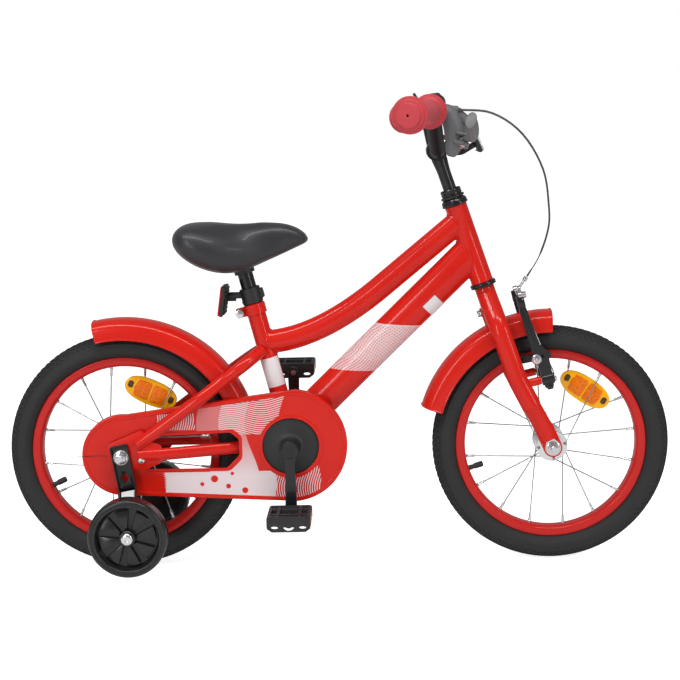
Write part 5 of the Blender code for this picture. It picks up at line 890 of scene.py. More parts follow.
down_front = steer_point(0.0465)
down_way = (down_front - crank_axis).normalized()
down_start = crank_axis + Vector((-down_way.z, 0, down_way.x)) * 0.0118
down_line = down_front - down_start
down_shares = [0, 0.05, 0.12, 0.2, 0.35, 0.5, 0.65, 0.78, 0.86, 0.92, 0.96, 1]
down_route = [down_start + down_line * share for share in down_shares]
down_radii = [DOWN_HEIGHT / 2 * min(1, 0.82 + share * 1.2) for share in down_shares]
down_widths = [DOWN_WIDTH / DOWN_HEIGHT * (1 - 0.17 * max(0, (share - 0.78) / 0.22))
               for share in down_shares]
down_shape = bmesh.new()
swept(down_shape, down_route, down_radii, sides=48, width=down_widths)
weld(down_shape, down_route[-1], down_line, DOWN_HEIGHT, DOWN_WIDTH * 0.82, head_foot, steer_up,
     HEAD_TUBE_RADIUS)

seat_shape = bmesh.new()
pipe(seat_shape, seat_place, SEAT_TUBE_RADIUS, 0.0114, 0.018, SEAT_TUBE_LENGTH, 48)
pipe(seat_shape, across(crank_axis), 0.02, 0.017, -0.034, 0.034, 64, 0.0008)
turned(seat_shape, arc(SEAT_TUBE_RADIUS + 0.0003, 0.0206, 0.0016, 0, math.tau, 10)[:-1], seat_place, 48)
tab_reach = 0.0417
tab_spot = seat_point(0.0765)
tab_spot.y = -tab_reach / 2 - 0.004
block(seat_shape, upright(tab_spot, seat_up), (0.014, tab_reach, 0.004), 0.0008)
print("top tube stations", len(top_route))

# %% [markdown]
# ## Printed patterns on the paint
# The down tube and the chain guard carry a pale printed pattern of thin waves that cross on a
# tinted ground. Nodes draw it from Object coordinates, so it lies still on the surface and needs
# no picture. Two of the tubes also carry blank pale labels.

# %% Paint with a printed field
PRINT_WHITE = (0.8, 0.74, 0.76, 1)


def printed_paint(name, draw):
    """A copy of the red paint with pale ink laid over it; draw returns how much ink there is."""
    material = red_paint.copy()
    material.name = name
    tree = material.node_tree
    coords = add_node(tree, "TexCoord").outputs["Object"]
    split = add_node(tree, "SeparateXYZ", Vector=coords)
    amount = draw(tree, split.outputs[0], split.outputs[1], split.outputs[2])
    set_shader(material, Base_Color=mix_colour(tree, amount, colour_source(material), PRINT_WHITE))
    return material


def both(tree, first, second):
    """The product, which is 1 only where both are 1."""
    return maths(tree, "MULTIPLY", first, second)


def either(tree, first, second):
    return maths(tree, "MAXIMUM", first, second)


def slanted(tree, x, z, start, heading):
    """How far a point lies along a heading and to its left, from a start point."""
    along_x = maths(tree, "SUBTRACT", x, start.x)
    along_z = maths(tree, "SUBTRACT", z, start.z)
    cos, sin = math.cos(heading), math.sin(heading)
    far = maths(tree, "ADD", both(tree, along_x, cos), both(tree, along_z, sin))
    left = maths(tree, "SUBTRACT", both(tree, along_z, cos), both(tree, along_x, sin))
    return far, left


def wave_lines(tree, far, left, pitch, swing, length, thickness):
    """Thin lines that follow a slow wave."""
    wave = maths(tree, "SINE", both(tree, far, math.tau / length))
    shifted = maths(tree, "ADD", left, both(tree, wave, swing))
    share = maths(tree, "FRACT", maths(tree, "DIVIDE", shifted, pitch))
    return band(tree, share, 0.5 - thickness / 2, 0.5 + thickness / 2)


def down_tube_print(tree, x, y, z):
    """Crossing waves on a tinted ground, with a brighter front edge."""
    far, left = slanted(tree, x, z, down_start, math.atan2(down_line.z, down_line.x))
    curved = maths(tree, "ADD", far, both(tree, left, 0.9))
    lines = wave_lines(tree, far, left, 0.0036, 0.0034, 0.07, 0.4)
    cross = wave_lines(tree, left, far, 0.004, 0.0026, 0.06, 0.3)
    mesh = either(tree, lines, both(tree, cross, band(tree, curved, 0.16, 0.232)))
    field = band(tree, curved, 0.138, 0.232)
    ink = either(tree, both(tree, field, 0.4), both(tree, field, both(tree, mesh, 0.82)))
    edge = both(tree, band(tree, curved, 0.2295, 0.232), 0.8)
    return both(tree, maths(tree, "LESS_THAN", y, 0.014), either(tree, ink, edge))


down_paint = printed_paint("red paint with waves", down_tube_print)
finish_piece("down_pipe", down_shape, down_paint, "frame", ["down_tube"], "red_paint")
finish_piece("seat_pipe", seat_shape, red_paint, "frame", ["seat_tube"], "red_paint")

label_paper = new_finish("blank pale label", (0.74, 0.73, 0.74), (0.86, 0.85, 0.86), 0.36, grain=0.02,
                         patch_scale=60)
FILM = 0.0003


def make_label(name, route_start, way, height, width, start, end, low, high):
    """A thin film over part of a tube's surface, between two distances and two angles."""
    up = SIDE.cross(way).normalized()
    shape = bmesh.new()
    steps = 24
    verts = []
    for index in range(steps + 1):
        angle = low + (high - low) * index / steps
        offset = up * (height / 2 + FILM) * math.cos(angle) - SIDE * (width / 2 + FILM) * math.sin(angle)
        verts.append(shape.verts.new(route_start + way * start + offset))
    edges = [shape.edges.new(pair) for pair in zip(verts, verts[1:])]
    raised = bmesh.ops.extrude_edge_only(shape, edges=edges)["geom"]
    moved = [item for item in raised if isinstance(item, bmesh.types.BMVert)]
    bmesh.ops.translate(shape, verts=moved, vec=way * (end - start))
    bmesh.ops.recalc_face_normals(shape, faces=shape.faces)
    bmesh.ops.solidify(shape, geom=list(shape.faces), thickness=0.0002)
    finish_piece(name, shape, label_paper, "frame", slot="red_paint")


make_label("down_tube_label", down_start, down_line.normalized(), DOWN_HEIGHT, DOWN_WIDTH, 0.275, 0.299,
           math.radians(-8), math.radians(78))
make_label("seat_tube_label", crank_axis, seat_up, 2 * SEAT_TUBE_RADIUS, 2 * SEAT_TUBE_RADIUS, 0.084, 0.127,
           math.radians(20), math.radians(160))

# %% [markdown]
# ## Stays and dropouts
# Two chain stays and two seat stays carry the rear axle. Each pair ends at a flat plate that is
# welded between them. The stays bend round the tyre, so their routes are straight runs with bends
# of one radius, and the left side is the right side mirrored.

# %% Stays
CHAIN_STAY_RUN, CRANK_RISE = 0.2435, 0.0095
dropout_plane = 0.057
stay_top = seat_point(0.143)
stay_line = stay_top - rear_axle
stay_way = stay_line.normalized()


def rear_point(ahead, side, up):
    return rear_axle + Vector((ahead, side, up))


def chain_stay_points():
    front = rear_point(CHAIN_STAY_RUN - 0.011, -0.022, CRANK_RISE * 0.9)
    return [front] + [rear_point(CHAIN_STAY_RUN * share, -out, CRANK_RISE * share) for share, out in
                      ((0.76, 0.0288), (0.6, 0.0385), (0.2, dropout_plane), (0.1, dropout_plane))]


def seat_stay_points():
    plane = 0.0585
    return [rear_axle + stay_line * share - SIDE * out for share, out in
            ((0.115, plane), (0.56, plane), (0.71, 0.041), (0.865, 0.0395), (0.975, 0.012))]


def dropout_outline():
    lug = stay_way * 0.048
    corners = [(-0.02, -0.019), (-0.02, 0.018), (lug.x - 0.009, lug.z + 0.011),
               (lug.x + 0.007, lug.z - 0.008), (0.058, 0.016), (0.058, -0.009), (0.034, -0.019)]
    return rounded([(rear_axle.x + x, rear_axle.z + z) for x, z in corners], 0.005)


for side, label in SIDES:
    shape = bmesh.new()
    route = [flipped(point, -side) for point in bent_route(chain_stay_points(), 0.08, 8)]
    swept(shape, route, 0.009, sides=28, width=0.013 / 0.018)
    plate(shape, dropout_outline(), side_plane(side * dropout_plane), 0.004, edge=0.0006)
    last_step = route[-1] - route[-2]
    weld(shape, route[-1], last_step, 0.0182, 0.0132, route[-1] + last_step, SIDE, 0.0006)
    finish_piece("chain_stay_pipe_" + label, shape, red_paint, "frame", ["chain_stay_" + label], "red_paint")
    shape = bmesh.new()
    route = [flipped(point, -side) for point in bent_route(seat_stay_points(), 0.05, 8)]
    swept(shape, route, 0.009, sides=28, width=[0.55] + [1.0] * (len(route) - 1))
    weld(shape, route[-1], route[-1] - route[-2], 0.018, 0.018, crank_axis, seat_up, SEAT_TUBE_RADIUS,
         0.0013)
    if side > 0:
        rod(shape, across(rear_axle + stay_way * 0.201), 0.005, -0.0375, 0.0375, 24)
    finish_piece("seat_stay_pipe_" + label, shape, red_paint, "frame", ["seat_stay_" + label], "red_paint")
    bolt_head = mm((0, 0), (5.2, 0), (5.4, 0.8), (4.6, 3), (3, 4), (0, 4.2))
    bolt_place = across(rear_point(0.029, side * (dropout_plane + 0.002), -0.0045), side)
    turned_piece("dropout_bolt_" + label, bolt_head, bolt_place, 24, zinc_steel, "frame", slot="zinc")

# %% [markdown]
# ## Saddle post, clamp and rear reflector
# The post is a plain black tube. A split collar with two ears and a bolt grips it. The reflector's
# black body has its own collar and arm, ribs on its back and a red lens that looks backwards.

# %% Clamp, post and reflector
clamp_at = seat_point(SEAT_TUBE_LENGTH - 0.016)
clamp_shape = bmesh.new()
pipe(clamp_shape, along(clamp_at, seat_up), 0.016, 0.0138, 0, 0.0155, 48, 0.0008)
ears_at = seat_point(SEAT_TUBE_LENGTH - 0.0085, -0.0195)
for side in (-1, 1):
    block(clamp_shape, upright(ears_at + SIDE * side * 0.0036, seat_up), (0.016, 0.0044, 0.014), 0.0014)
finish_piece("post_collar", clamp_shape, red_paint, "frame", ["seat_clamp"], "red_paint")
bolt_shape = bmesh.new()
bolt_place = across(ears_at - seat_ahead * 0.003)
turned(bolt_shape, mm((0, -13.8), (3.5, -13.8), (5.8, -13.2), (6.2, -12), (6.2, -8.5), (3, -8.5), (3, 8.5),
                      (0, 8.5)), bolt_place, 32)
hex_nut(bolt_shape, bolt_place, 0.01, 0.006, 0.0125)
threaded_end(bolt_shape, bolt_place, 0.0029, 0.01, 0.0138)
finish_piece("collar_bolt", bolt_shape, zinc_steel, "frame", slot="zinc")

post_shape = bmesh.new()
pipe(post_shape, along(seat_point(SEAT_TUBE_LENGTH), seat_up), 0.0111, 0.0091, -0.085, 0.08, 48)
finish_piece("saddle_pillar", post_shape, black_paint, "seat_post", ["seat_post"], "black_paint")

holder_shape = bmesh.new()
low = SEAT_TUBE_LENGTH + 0.0004
ring_place = along(seat_point(low), seat_up)
pipe(holder_shape, ring_place, 0.0151, 0.0113, 0, 0.0235, 48, 0.001)
pipe(holder_shape, ring_place, 0.0157, 0.0148, 0.003, 0.006, 48, 0.0003)
arm_at = seat_point(low + 0.0185, -0.025)
block(holder_shape, Matrix.Translation(arm_at), (0.03, 0.01, 0.009), 0.0016)
block(holder_shape, Matrix.Translation(arm_at) @ shift(-0.004, 0, -0.0055), (0.016, 0.004, 0.006), 0.0012)
block(holder_shape, upright(seat_point(low + 0.012, 0.0158), seat_up), (0.006, 0.012, 0.014), 0.0014)
lens_place = Matrix.Translation(seat_point(low + 0.0154, -0.0405)) @ Matrix.Rotation(0.145, 4, "Y")
block(holder_shape, lens_place @ shift(0.0002, 0, 0), (0.005, 0.054, 0.044), 0.0016)
for index in range(7):
    height = -0.018 + index * 0.006
    block(holder_shape, lens_place @ shift(0.0033, 0, height), (0.0034, 0.048, 0.0016), 0.0003)
for index in range(5):
    out = -0.02 + index * 0.01
    block(holder_shape, lens_place @ shift(0.003, out, 0), (0.003, 0.0014, 0.038), 0.0003)
rod(holder_shape, across(arm_at + Vector((-0.004, 0, 0))), 0.0024, -0.0066, 0.0066, 16)
finish_piece("rear_reflector_body", holder_shape, black_plastic, "seat_post", ["rear_reflector"],
             "black_plastic")
lens_shape = bmesh.new()
block(lens_shape, lens_place @ shift(-0.0034, 0, 0), (0.003, 0.052, 0.0425), 0.0012)
finish_piece("rear_reflector_lens", lens_shape, red_cells, "seat_post", slot="black_plastic")

# %% [markdown]
# ## Headset, fork and stem
# Two cups and a locknut are turned rings. The fork's blades leave the crown sideways, bend down
# past the tyre and sweep forward to flat tabs that hold the axle. Bosses on the blades carry the
# brake arms. The stem is a post with a round head that clamps the bar.

# %% Headset
lower_cup = mm((13.2, -0.3), (17.2, -0.3), (18.4, -0.7), (19, -1.8), (19, -3.4), (18.4, -3.8), (18.4, -4.4),
               (19, -4.8), (18.8, -6), (18, -6.5), (13.2, -6.5))
upper_cup = mm((13.2, 0.3), (18.2, 0.3), (19, 1.2), (19, 3.2), (18.2, 3.8), (18.2, 4.6), (18.8, 5),
               (18, 7.8), (16, 9.8), (15, 11), (13.2, 11))
lock_nut = mm((13, 11.5), (16.8, 11.5), (17.2, 12.1), (17.2, 14.1), (16.4, 14.7), (14.6, 15.1), (14.6, 16.3),
              (15.2, 16.9), (15.2, 18.5), (14.6, 19.1), (15, 19.9), (15, 23.1), (14, 24.5), (13, 24.5))
head_top = head_place @ shift(0, 0, HEAD_TUBE_LENGTH)
for name, profile, place, body, cad_name in (
        ("lower_cup", lower_cup, head_place, "frame", "headset_lower_cup"),
        ("upper_cup", upper_cup, head_top, "frame", "headset_upper_cup"),
        ("lock_nut", lock_nut, head_top, "steering", "headset_locknut")):
    turned_piece(name, profile, place, 64, black_paint, body, [cad_name], "black_paint")

# %% Fork
FORK_LENGTH, FORK_RAKE = 0.2548, 0.0157
BLADE_OUT = 0.045
BLADE_WIDE = 0.014


def blade_route(side):
    stations = ((-0.066, 0), (-FORK_LENGTH * 0.57, 0), (-FORK_LENGTH * 0.74, FORK_RAKE * 0.42),
                (-FORK_LENGTH * 0.9, FORK_RAKE * 0.9), (-FORK_LENGTH + 0.013, FORK_RAKE * 0.98))
    points = [steer_point(up, ahead, side * BLADE_OUT) for up, ahead in stations]
    return bent_route([steer_point(-0.019, 0, side * 0.006)] + points, 0.045, 8)


def fork_tab_outline():
    x, z = front_axle.x, front_axle.z
    lean = math.atan2(steer_up.z, steer_up.x) + math.radians(5)
    end = arc(x, z, 0.0135, lean + math.pi / 2, lean + math.pi * 3 / 2, 16)
    up = Vector((math.cos(lean), math.sin(lean)))
    tops = [(x + up.x * 0.034, z + up.y * 0.034) for x, z in (end[0], end[-1])]
    return [tops[0], *end, tops[1]]


fork_shape = bmesh.new()
turned(fork_shape, mm((0, -50), (10, -50), (11.4, -49.4), (14, -44), (14.2, -42), (14.2, -8), (13.8, -7.2),
                      (12.7, -7), (12.7, 141), (0, 141)), head_place, 48)
for side in (-1, 1):
    route = blade_route(side)
    last = len(route) - 1
    taper = [BLADE_WIDE - 0.0022 * max(0, (index / last - 0.55) / 0.45) for index in range(last + 1)]
    swept(fork_shape, route, taper, sides=32, width=0.02 / 0.028)
    plate(fork_shape, fork_tab_outline(), side_plane(side * 0.0445), 0.005, edge=0.0008)
    boss_place = along(brake_boss(side), arm_ahead)
    turned(fork_shape, mm((0, -26), (6, -26), (6, -3), (5.6, -0.4), (0, -0.4)), boss_place, 32)
    block(fork_shape, boss_place @ shift(0.0055, 0, -0.0052), (0.0055, 0.004, 0.007), 0.0008)
finish_piece("fork_steel", fork_shape, red_paint, "steering", ["fork"], "red_paint")
pin_shape = bmesh.new()
for side in (-1, 1):
    boss_place = along(brake_boss(side), arm_ahead)
    turned(pin_shape, mm((0, -0.4), (3.2, -0.4), (3.2, 18.2), (5.5, 18.4), (5.8, 19), (5.6, 20.8),
                         (4.6, 21.5), (2.6, 21.5), (2.4, 19.6), (0, 19.6)), boss_place, 32)
finish_piece("brake_boss_bolts", pin_shape, zinc_steel, "steering", slot="zinc")

# %% Stem
stem_shape = bmesh.new()
turned(stem_shape, [(0, 0.0874), (0.0095, 0.0874), (0.0095, STEM_REACH - 0.034),
                    (0.0098, STEM_REACH - 0.028), (0.0112, STEM_REACH - 0.014), (0.0116, STEM_REACH),
                    (0, STEM_REACH)], head_place, 48)
pipe(stem_shape, across(bar_centre), 0.0148, 0.0112, -0.02, 0.02, 64, 0.0012)
pinch = upright(steer_point(STEM_REACH + 0.011, 0.012), steer_up)
for side in (-1, 1):
    block(stem_shape, pinch @ shift(0, side * 0.008, 0), (0.014, 0.0138, 0.013), 0.0018)
finish_piece("stem_post", stem_shape, black_paint, "steering", ["stem"], "black_paint")
stem_bolt = mm((0, -17.2), (2.2, -17.2), (2.4, -15), (2.4, -16), (4.4, -16.6), (4.8, -15), (3, -14), (3, 15),
               (0, 16.5))
bolt_place = across(steer_point(STEM_REACH + 0.012, 0.0125))
turned_piece("stem_bolt", stem_bolt, bolt_place, 24, zinc_steel, "steering", slot="zinc")

# %% [markdown]
# ## Handlebar and grips
# The bar is one bent tube. The grips are soft rubber sleeves with a flange at both ends, turned
# from one profile. The outer end has two stepped rings and a small vent hole, as moulded grips do.

# %% Bar and grips
left_bar = bent_route([bar_centre, bar_centre + SIDE * BAR_FLAT, bar_centre + SHOULDER, grip_start(1),
                       bar_centre + grip_end_offset], 0.026, 10)
bar_route = [flipped(point, -1) for point in left_bar][:0:-1] + left_bar
bar_shape = bmesh.new()
swept(bar_shape, bar_route, bar_radius, sides=32, start_side=(1, 0, 0))
finish_piece("bar_tube", bar_shape, bar_paint, "steering", ["handlebar"], "black_paint")

GRIP_END = 0.1068
GRIP_CORE = 0.0158
GRIP_RINGS = 14
RING_PITCH = 0.0046
grip_profile = mm((11.4, 5.5), (22.6, 5.5), (23.4, 6), (23.5, 8.6), (23, 9.4), (19, 10.6), (17.2, 12.2),
                  (16.6, 15))
for ring in range(GRIP_RINGS):
    start = 0.02 + ring * RING_PITCH
    grip_profile += [(GRIP_CORE + 0.0003, start), (GRIP_CORE + 0.0003, start + 0.0034),
                     (GRIP_CORE, start + 0.004)]
grip_profile += [(0.0162, GRIP_END - 0.019), (0.0176, GRIP_END - 0.0164), (0.0232, GRIP_END - 0.0142),
                 (0.0244, GRIP_END - 0.013), (0.0245, GRIP_END - 0.0096), (0.0238, GRIP_END - 0.0084),
                 (0.0214, GRIP_END - 0.008), (0.0208, GRIP_END - 0.0072), (0.0206, GRIP_END - 0.0052),
                 (0.0198, GRIP_END - 0.0046), (0.0172, GRIP_END - 0.0044), (0.0165, GRIP_END - 0.0036),
                 (0.0162, GRIP_END - 0.0014), (0.0152, GRIP_END - 0.0004), (0.009, GRIP_END),
                 (0.0018, GRIP_END), (0.0018, 0.1008), (0.0114, 0.1008)]
for side, label in SIDES:
    turned_piece("grip_sleeve_" + label, grip_profile, along(grip_start(side), grip_way(side)), 72,
                 grip_rubber, "steering", ["grip_" + label], "grip_rubber")

# %% [markdown]
# ## Brake lever
# The lever's holder is a grey moulding that clamps the bar, hoods the cable and forks round the
# lever. The blade is a sweep that swells to a rounded finger end, on a pin through the fork.

# %% Holder and lever
def shares(stations):
    """How far along a route each of its stations is, from 0 to 1."""
    return [index / (len(stations) - 1) for index in range(len(stations))]


def from_clamp(*offsets):
    return [lever_clamp + Vector(offset) for offset in offsets]


blade_way = Vector((0.065, -0.94, 0.335)).normalized()
lever_axis = blade_way.cross(Vector((-0.97, 0, 0.22))).normalized()
lever_place = basis_place(lever_pivot, blade_way.cross(lever_axis), blade_way, lever_axis)
clamp_way = (grip_start(-1) - bar_centre - flipped(SHOULDER, -1)).normalized()
PIN_END = 0.0078
holder = bmesh.new()
pipe(holder, along(lever_clamp, clamp_way), 0.0158, 0.0113, -0.0062, 0.0062, 48, 0.0016)
hood = smooth_route(from_clamp((0.012, -0.0015, 0), (0.0215, -0.002, -0.004), (0.0275, -0.003, -0.018),
                               (0.029, -0.004, -0.035), (0.027, -0.0045, -0.05),
                               (0.024, -0.0045, -0.061)), 5)
hood_radii = [0.004 + 0.0092 * math.sin(math.pi * min(1, 0.14 + 0.86 * share)) ** 0.55
              for share in shares(hood)]
swept(holder, hood, hood_radii, sides=28, width=0.95)
for side in (-1, 1):
    cheek = lever_place @ shift(-0.002, 0.0005, side * 0.0063)
    block(holder, cheek, (0.021, 0.02, 0.0042), 0.0019)
block(holder, lever_place @ shift(-0.0108, -0.003, 0), (0.0055, 0.015, 0.015), 0.0016)
nose = smooth_route(from_clamp((0.015, 0.003, 0.003), (0.028, 0.004, -0.002),
                               (0.04, 0.0045, -0.0095), (0.0468, 0.005, -0.018),
                               (0.045, 0.005, -0.0255)), 6)
nose_radii = [0.0085 * math.sin(math.pi * min(1, 0.3 + 0.62 * share)) ** 0.5 for share in shares(nose)]
swept(holder, nose, nose_radii, sides=28, width=0.85)
nose_block = Matrix.Translation(from_clamp((0.036, 0.005, -0.0215))[0])
block(holder, nose_block, (0.026, 0.01, 0.026), 0.004)
barrel_place = along(cable_start - Vector((0.0115, -0.001, -0.0005)), cable_route[1] - cable_route[0])
turned(holder, mm((0, 0), (5.2, 0), (5.6, 1), (5.6, 11), (5, 12), (3.6, 12.4), (0, 12.4)), barrel_place, 24)
finish_piece("lever_holder", holder, grey_plastic, "steering", ["brake_lever_bracket"], "grey_plastic")
screws = bmesh.new()
for flip in (0, math.pi):
    screw_place = lever_place @ Matrix.Rotation(flip, 4, "X") @ shift(0, 0, PIN_END)
    turned(screws, mm((0, 0), (3.4, 0), (3.6, 0.6), (3, 1.4), (1.4, 1.4), (1.2, 0.8), (0, 0.8)), screw_place,
           20)
rod(screws, lever_place, 0.002, -PIN_END, PIN_END, 16, 0.0002)
clamp_screw = along(from_clamp((0.0145, 0.002, -0.008))[0], (0.2, -1, 0))
rod(screws, clamp_screw, 0.0026, -0.0105, 0.0105, 16, 0.0006)
finish_piece("lever_screws", screws, zinc_steel, "steering", slot="zinc")
blade_points = [lever_place @ Vector(point) for point in (
    (0.001, 0.001, 0), (0.0035, 0.01, 0), (0.007, 0.02, 0.001), (0.01, 0.038, 0.003),
    (0.007, 0.06, 0.002), (0.002, 0.078, 0.0005), (0.0008, 0.0825, 0))]
blade = smooth_route(blade_points, 6)
blade_shape = bmesh.new()
blade_radii = [0.0046 + 0.002 * min(1, share / 0.3) + 0.0012 * max(0, (share - 0.8) / 0.2)
               for share in shares(blade)]
blade_radii[-3:] = [0.0074, 0.0066, 0.0042]
blade_widths = [0.62 + 0.98 * min(1, max(0, share - 0.22) / 0.35) for share in shares(blade)]
swept(blade_shape, blade, blade_radii, sides=28, start_side=lever_axis, width=blade_widths)
pipe(blade_shape, lever_place, 0.0072, 0.0026, -0.0033, 0.0033, 32, 0.0008)
finish_piece("lever_blade", blade_shape, grey_plastic, "brake_lever", ["brake_lever"], "grey_plastic")

# %% [markdown]
# ## Bell
# A small bell sits on the left shoulder of the bar: a collar, a round base with a slot, a domed
# gong on a post and a thumb lever that strikes it.

# %% Bell
bell_tilt = math.radians(18.7)
bell_up = Vector((math.sin(bell_tilt), 0, math.cos(bell_tilt)))
bell_back = SIDE.cross(bell_up) * -1
bell_share = (0.103 - BAR_FLAT) / (SHOULDER.y - BAR_FLAT)
bell_spot = bar_centre + (SIDE * BAR_FLAT).lerp(SHOULDER, bell_share)
bell_seat = bell_spot + Vector((0.0095, 0.0015, 0.019))
bell_pivot = joint_point("bell_lever_push")
bell_place = along(bell_seat, bell_up)
base_shape = bmesh.new()
pipe(base_shape, along(bell_spot, (SHOULDER - SIDE * BAR_FLAT)), 0.0141, 0.0113, -0.0045, 0.0045, 40, 0.0008)
for low, high, radius in ((-0.012, -0.0075, 0.0068), (-0.008, -0.0014, 0.0122), (0.0015, 0.0033, 0.0125)):
    rod(base_shape, bell_place, radius, low, high, 40, 0.0006)
rod(base_shape, bell_place, 0.0052, -0.0016, 0.0018, 24, 0.0002)
finish_piece("bell_body", base_shape, black_plastic, "steering", ["bell_base"], "black_plastic")
dome_shape = bmesh.new()
dome = mm((2.3, 18.1), (4.6, 17.8), (9.8, 15.8), (13.2, 12.4), (15, 8.6), (15.7, 5), (16, 3.6), (14.8, 3.6),
          (14.6, 5.2), (13.8, 8.6), (12, 11.8), (8.8, 14.7), (4.4, 16.6), (2.3, 16.9))
turned(dome_shape, dome, bell_place, 56)
rod(dome_shape, bell_place, 0.0019, 0.003, 0.0186, 16, 0.0003)
turned(dome_shape, mm((0, 17.8), (3.2, 17.8), (3.4, 18.4), (2.6, 19.2), (0, 19.4)), bell_place, 24)
finish_piece("bell_gong", dome_shape, black_paint, "steering", ["bell_dome"], "black_paint")
thumb_shape = bmesh.new()
pipe(thumb_shape, along(bell_pivot, bell_up), 0.0058, 0.0017, -0.001, 0.001, 32, 0.0002)
thumb = smooth_route([bell_pivot + bell_back * back + bell_up * up for back, up in
                      ((0.0045, 0), (0.015, 0), (0.022, 0.0035), (0.028, 0.0073))], 5)
swept(thumb_shape, thumb, [0.0009 + 0.0015 * share ** 2 for share in shares(thumb)], sides=16, width=2.0)
finish_piece("bell_thumb", thumb_shape, black_plastic, "bell_lever", ["bell_lever"], "black_plastic")

# %% [markdown]
# ## Front reflector
# A clear lens in a black frame looks forward, on an arm from a ring round the bar.

# %% Front reflector
plate_at = bar_centre + Vector((0.0585, 0, 0.01))
front_lens_place = Matrix.Translation(plate_at) @ Matrix.Rotation(-math.radians(23), 4, "Y")
shape = bmesh.new()
block(shape, front_lens_place @ shift(-0.0012, 0, 0), (0.0052, 0.052, 0.027), 0.0014)
for index in range(4):
    rib = front_lens_place @ shift(-0.0046, 0, -0.0096 + index * 0.0064)
    block(shape, rib, (0.003, 0.044, 0.0012), 0.0003)
ring_at = bar_centre + SIDE * 0.0245
pipe(shape, across(ring_at), 0.0147, 0.0113, -0.0026, 0.0026, 40, 0.0006)
arm = bent_route([ring_at + Vector((0.0118, 0, -0.001)), bar_centre + Vector((0.036, 0.0246, -0.004)),
                  plate_at + Vector((-0.003, 0.01, -0.002))], 0.012, 6)
swept(shape, arm, 0.0036, sides=16, width=1.2, start_side=(0, 0, 1))
block(shape, Matrix.Translation(ring_at + Vector((0.003, 0, -0.0165))), (0.008, 0.005, 0.007), 0.0012)
finish_piece("front_reflector_body", shape, black_plastic, "steering", ["front_reflector"], "clear_lens")
shape = bmesh.new()
block(shape, front_lens_place @ shift(0.0026, 0, 0), (0.0028, 0.05, 0.0252), 0.0012)
finish_piece("front_reflector_lens", shape, clear_cells, "steering", slot="clear_lens")

# %% [markdown]
# ## Front brake
# Two pressed arms pivot on the fork's bosses. A cable through the bent guide pulls their tops
# together and the pads grip the rim. Each arm is a plate cut to its side view with a hub, a
# return spring of wire beside it, a black spring cover and a plated clamp bolt on top.

# %% Brake arms
PAD_TRACK = rim_radius - 0.0075


def pad_centre(side):
    way = brake_boss(side) + arm_up * 0.034 - front_axle
    way.y = 0
    return front_axle + SIDE * side * 0.014 + way.normalized() * PAD_TRACK


def make_brake_arm(side, label):
    body = "brake_arm_" + label
    boss = brake_boss(side)
    place = basis_place(boss, arm_up, arm_ahead, -SIDE)
    hub = along(boss, arm_ahead)
    shape = bmesh.new()
    outline = mm((-5, 1.2), (28, 0.2), (44, -4.2), (108, -8), (110, 2.2), (52, 9), (41, 17), (22, 17.5),
                 (-5, 16.6))
    eye = arc(0.034, 0.0078, 0.0031, 0, math.tau, 20)[:-1]
    plate(shape, rounded(outline, 0.003), place, 0.0095, holes=[eye], edge=0.0009)
    pipe(shape, hub, 0.0082, 0.0037, 0.0004, 0.0179, 40, 0.0006)
    block(shape, place @ shift(0.078, -0.001, 0), (0.05, 0.0042, 0.011), 0.0012)
    block(shape, place @ shift(0.1165, -0.0028, 0), (0.017, 0.011, 0.0092), 0.0016)
    finish_piece("arm_plate_" + label, shape, black_paint, body, [body], "black_plastic")
    shape = bmesh.new()
    block(shape, place @ shift(-0.0035, 0.0095, side * 0.003), (0.02, 0.013, 0.0105), 0.0026)
    block(shape, place @ shift(-0.012, 0.01, side * 0.002), (0.008, 0.009, 0.0085), 0.0018)
    finish_piece("spring_cover_" + label, shape, black_plastic, body, slot="black_plastic")
    shape = bmesh.new()
    spring = [place @ Vector((up, ahead, out * side)) for up, ahead, out in (
        (-0.004, 0.0185, 0.001), (0.012, 0.019, 0.0012), (0.04, 0.012, 0.002),
        (0.07, 0.0068, 0.003), (0.074, 0.0062, 0.0004), (0.076, 0.0058, -0.0012))]
    swept(shape, smooth_route(spring, 4), 0.00095, sides=10)
    wire_clamp = along(tie + SIDE * side * 0.041 + arm_up * 0.0046, arm_ahead)
    flanged_nut(shape, wire_clamp, 0.0006, 0.0064, 0.0085, 0.006)
    turned(shape, mm((0, -4.4), (5, -4.4), (5.8, -3.6), (5.8, 0.6), (0, 0.6)), wire_clamp, 24)
    adjuster = place @ shift(-0.004, 0.016, side * 0.003)
    turned(shape, mm((0, 0), (2.6, 0), (2.8, 0.8), (2.8, 4), (2.2, 4.8), (0, 4.8)),
           adjuster @ Matrix.Rotation(-math.pi / 2, 4, "X"), 20)
    finish_piece("arm_fittings_" + label, shape, zinc_steel, body, slot="zinc")


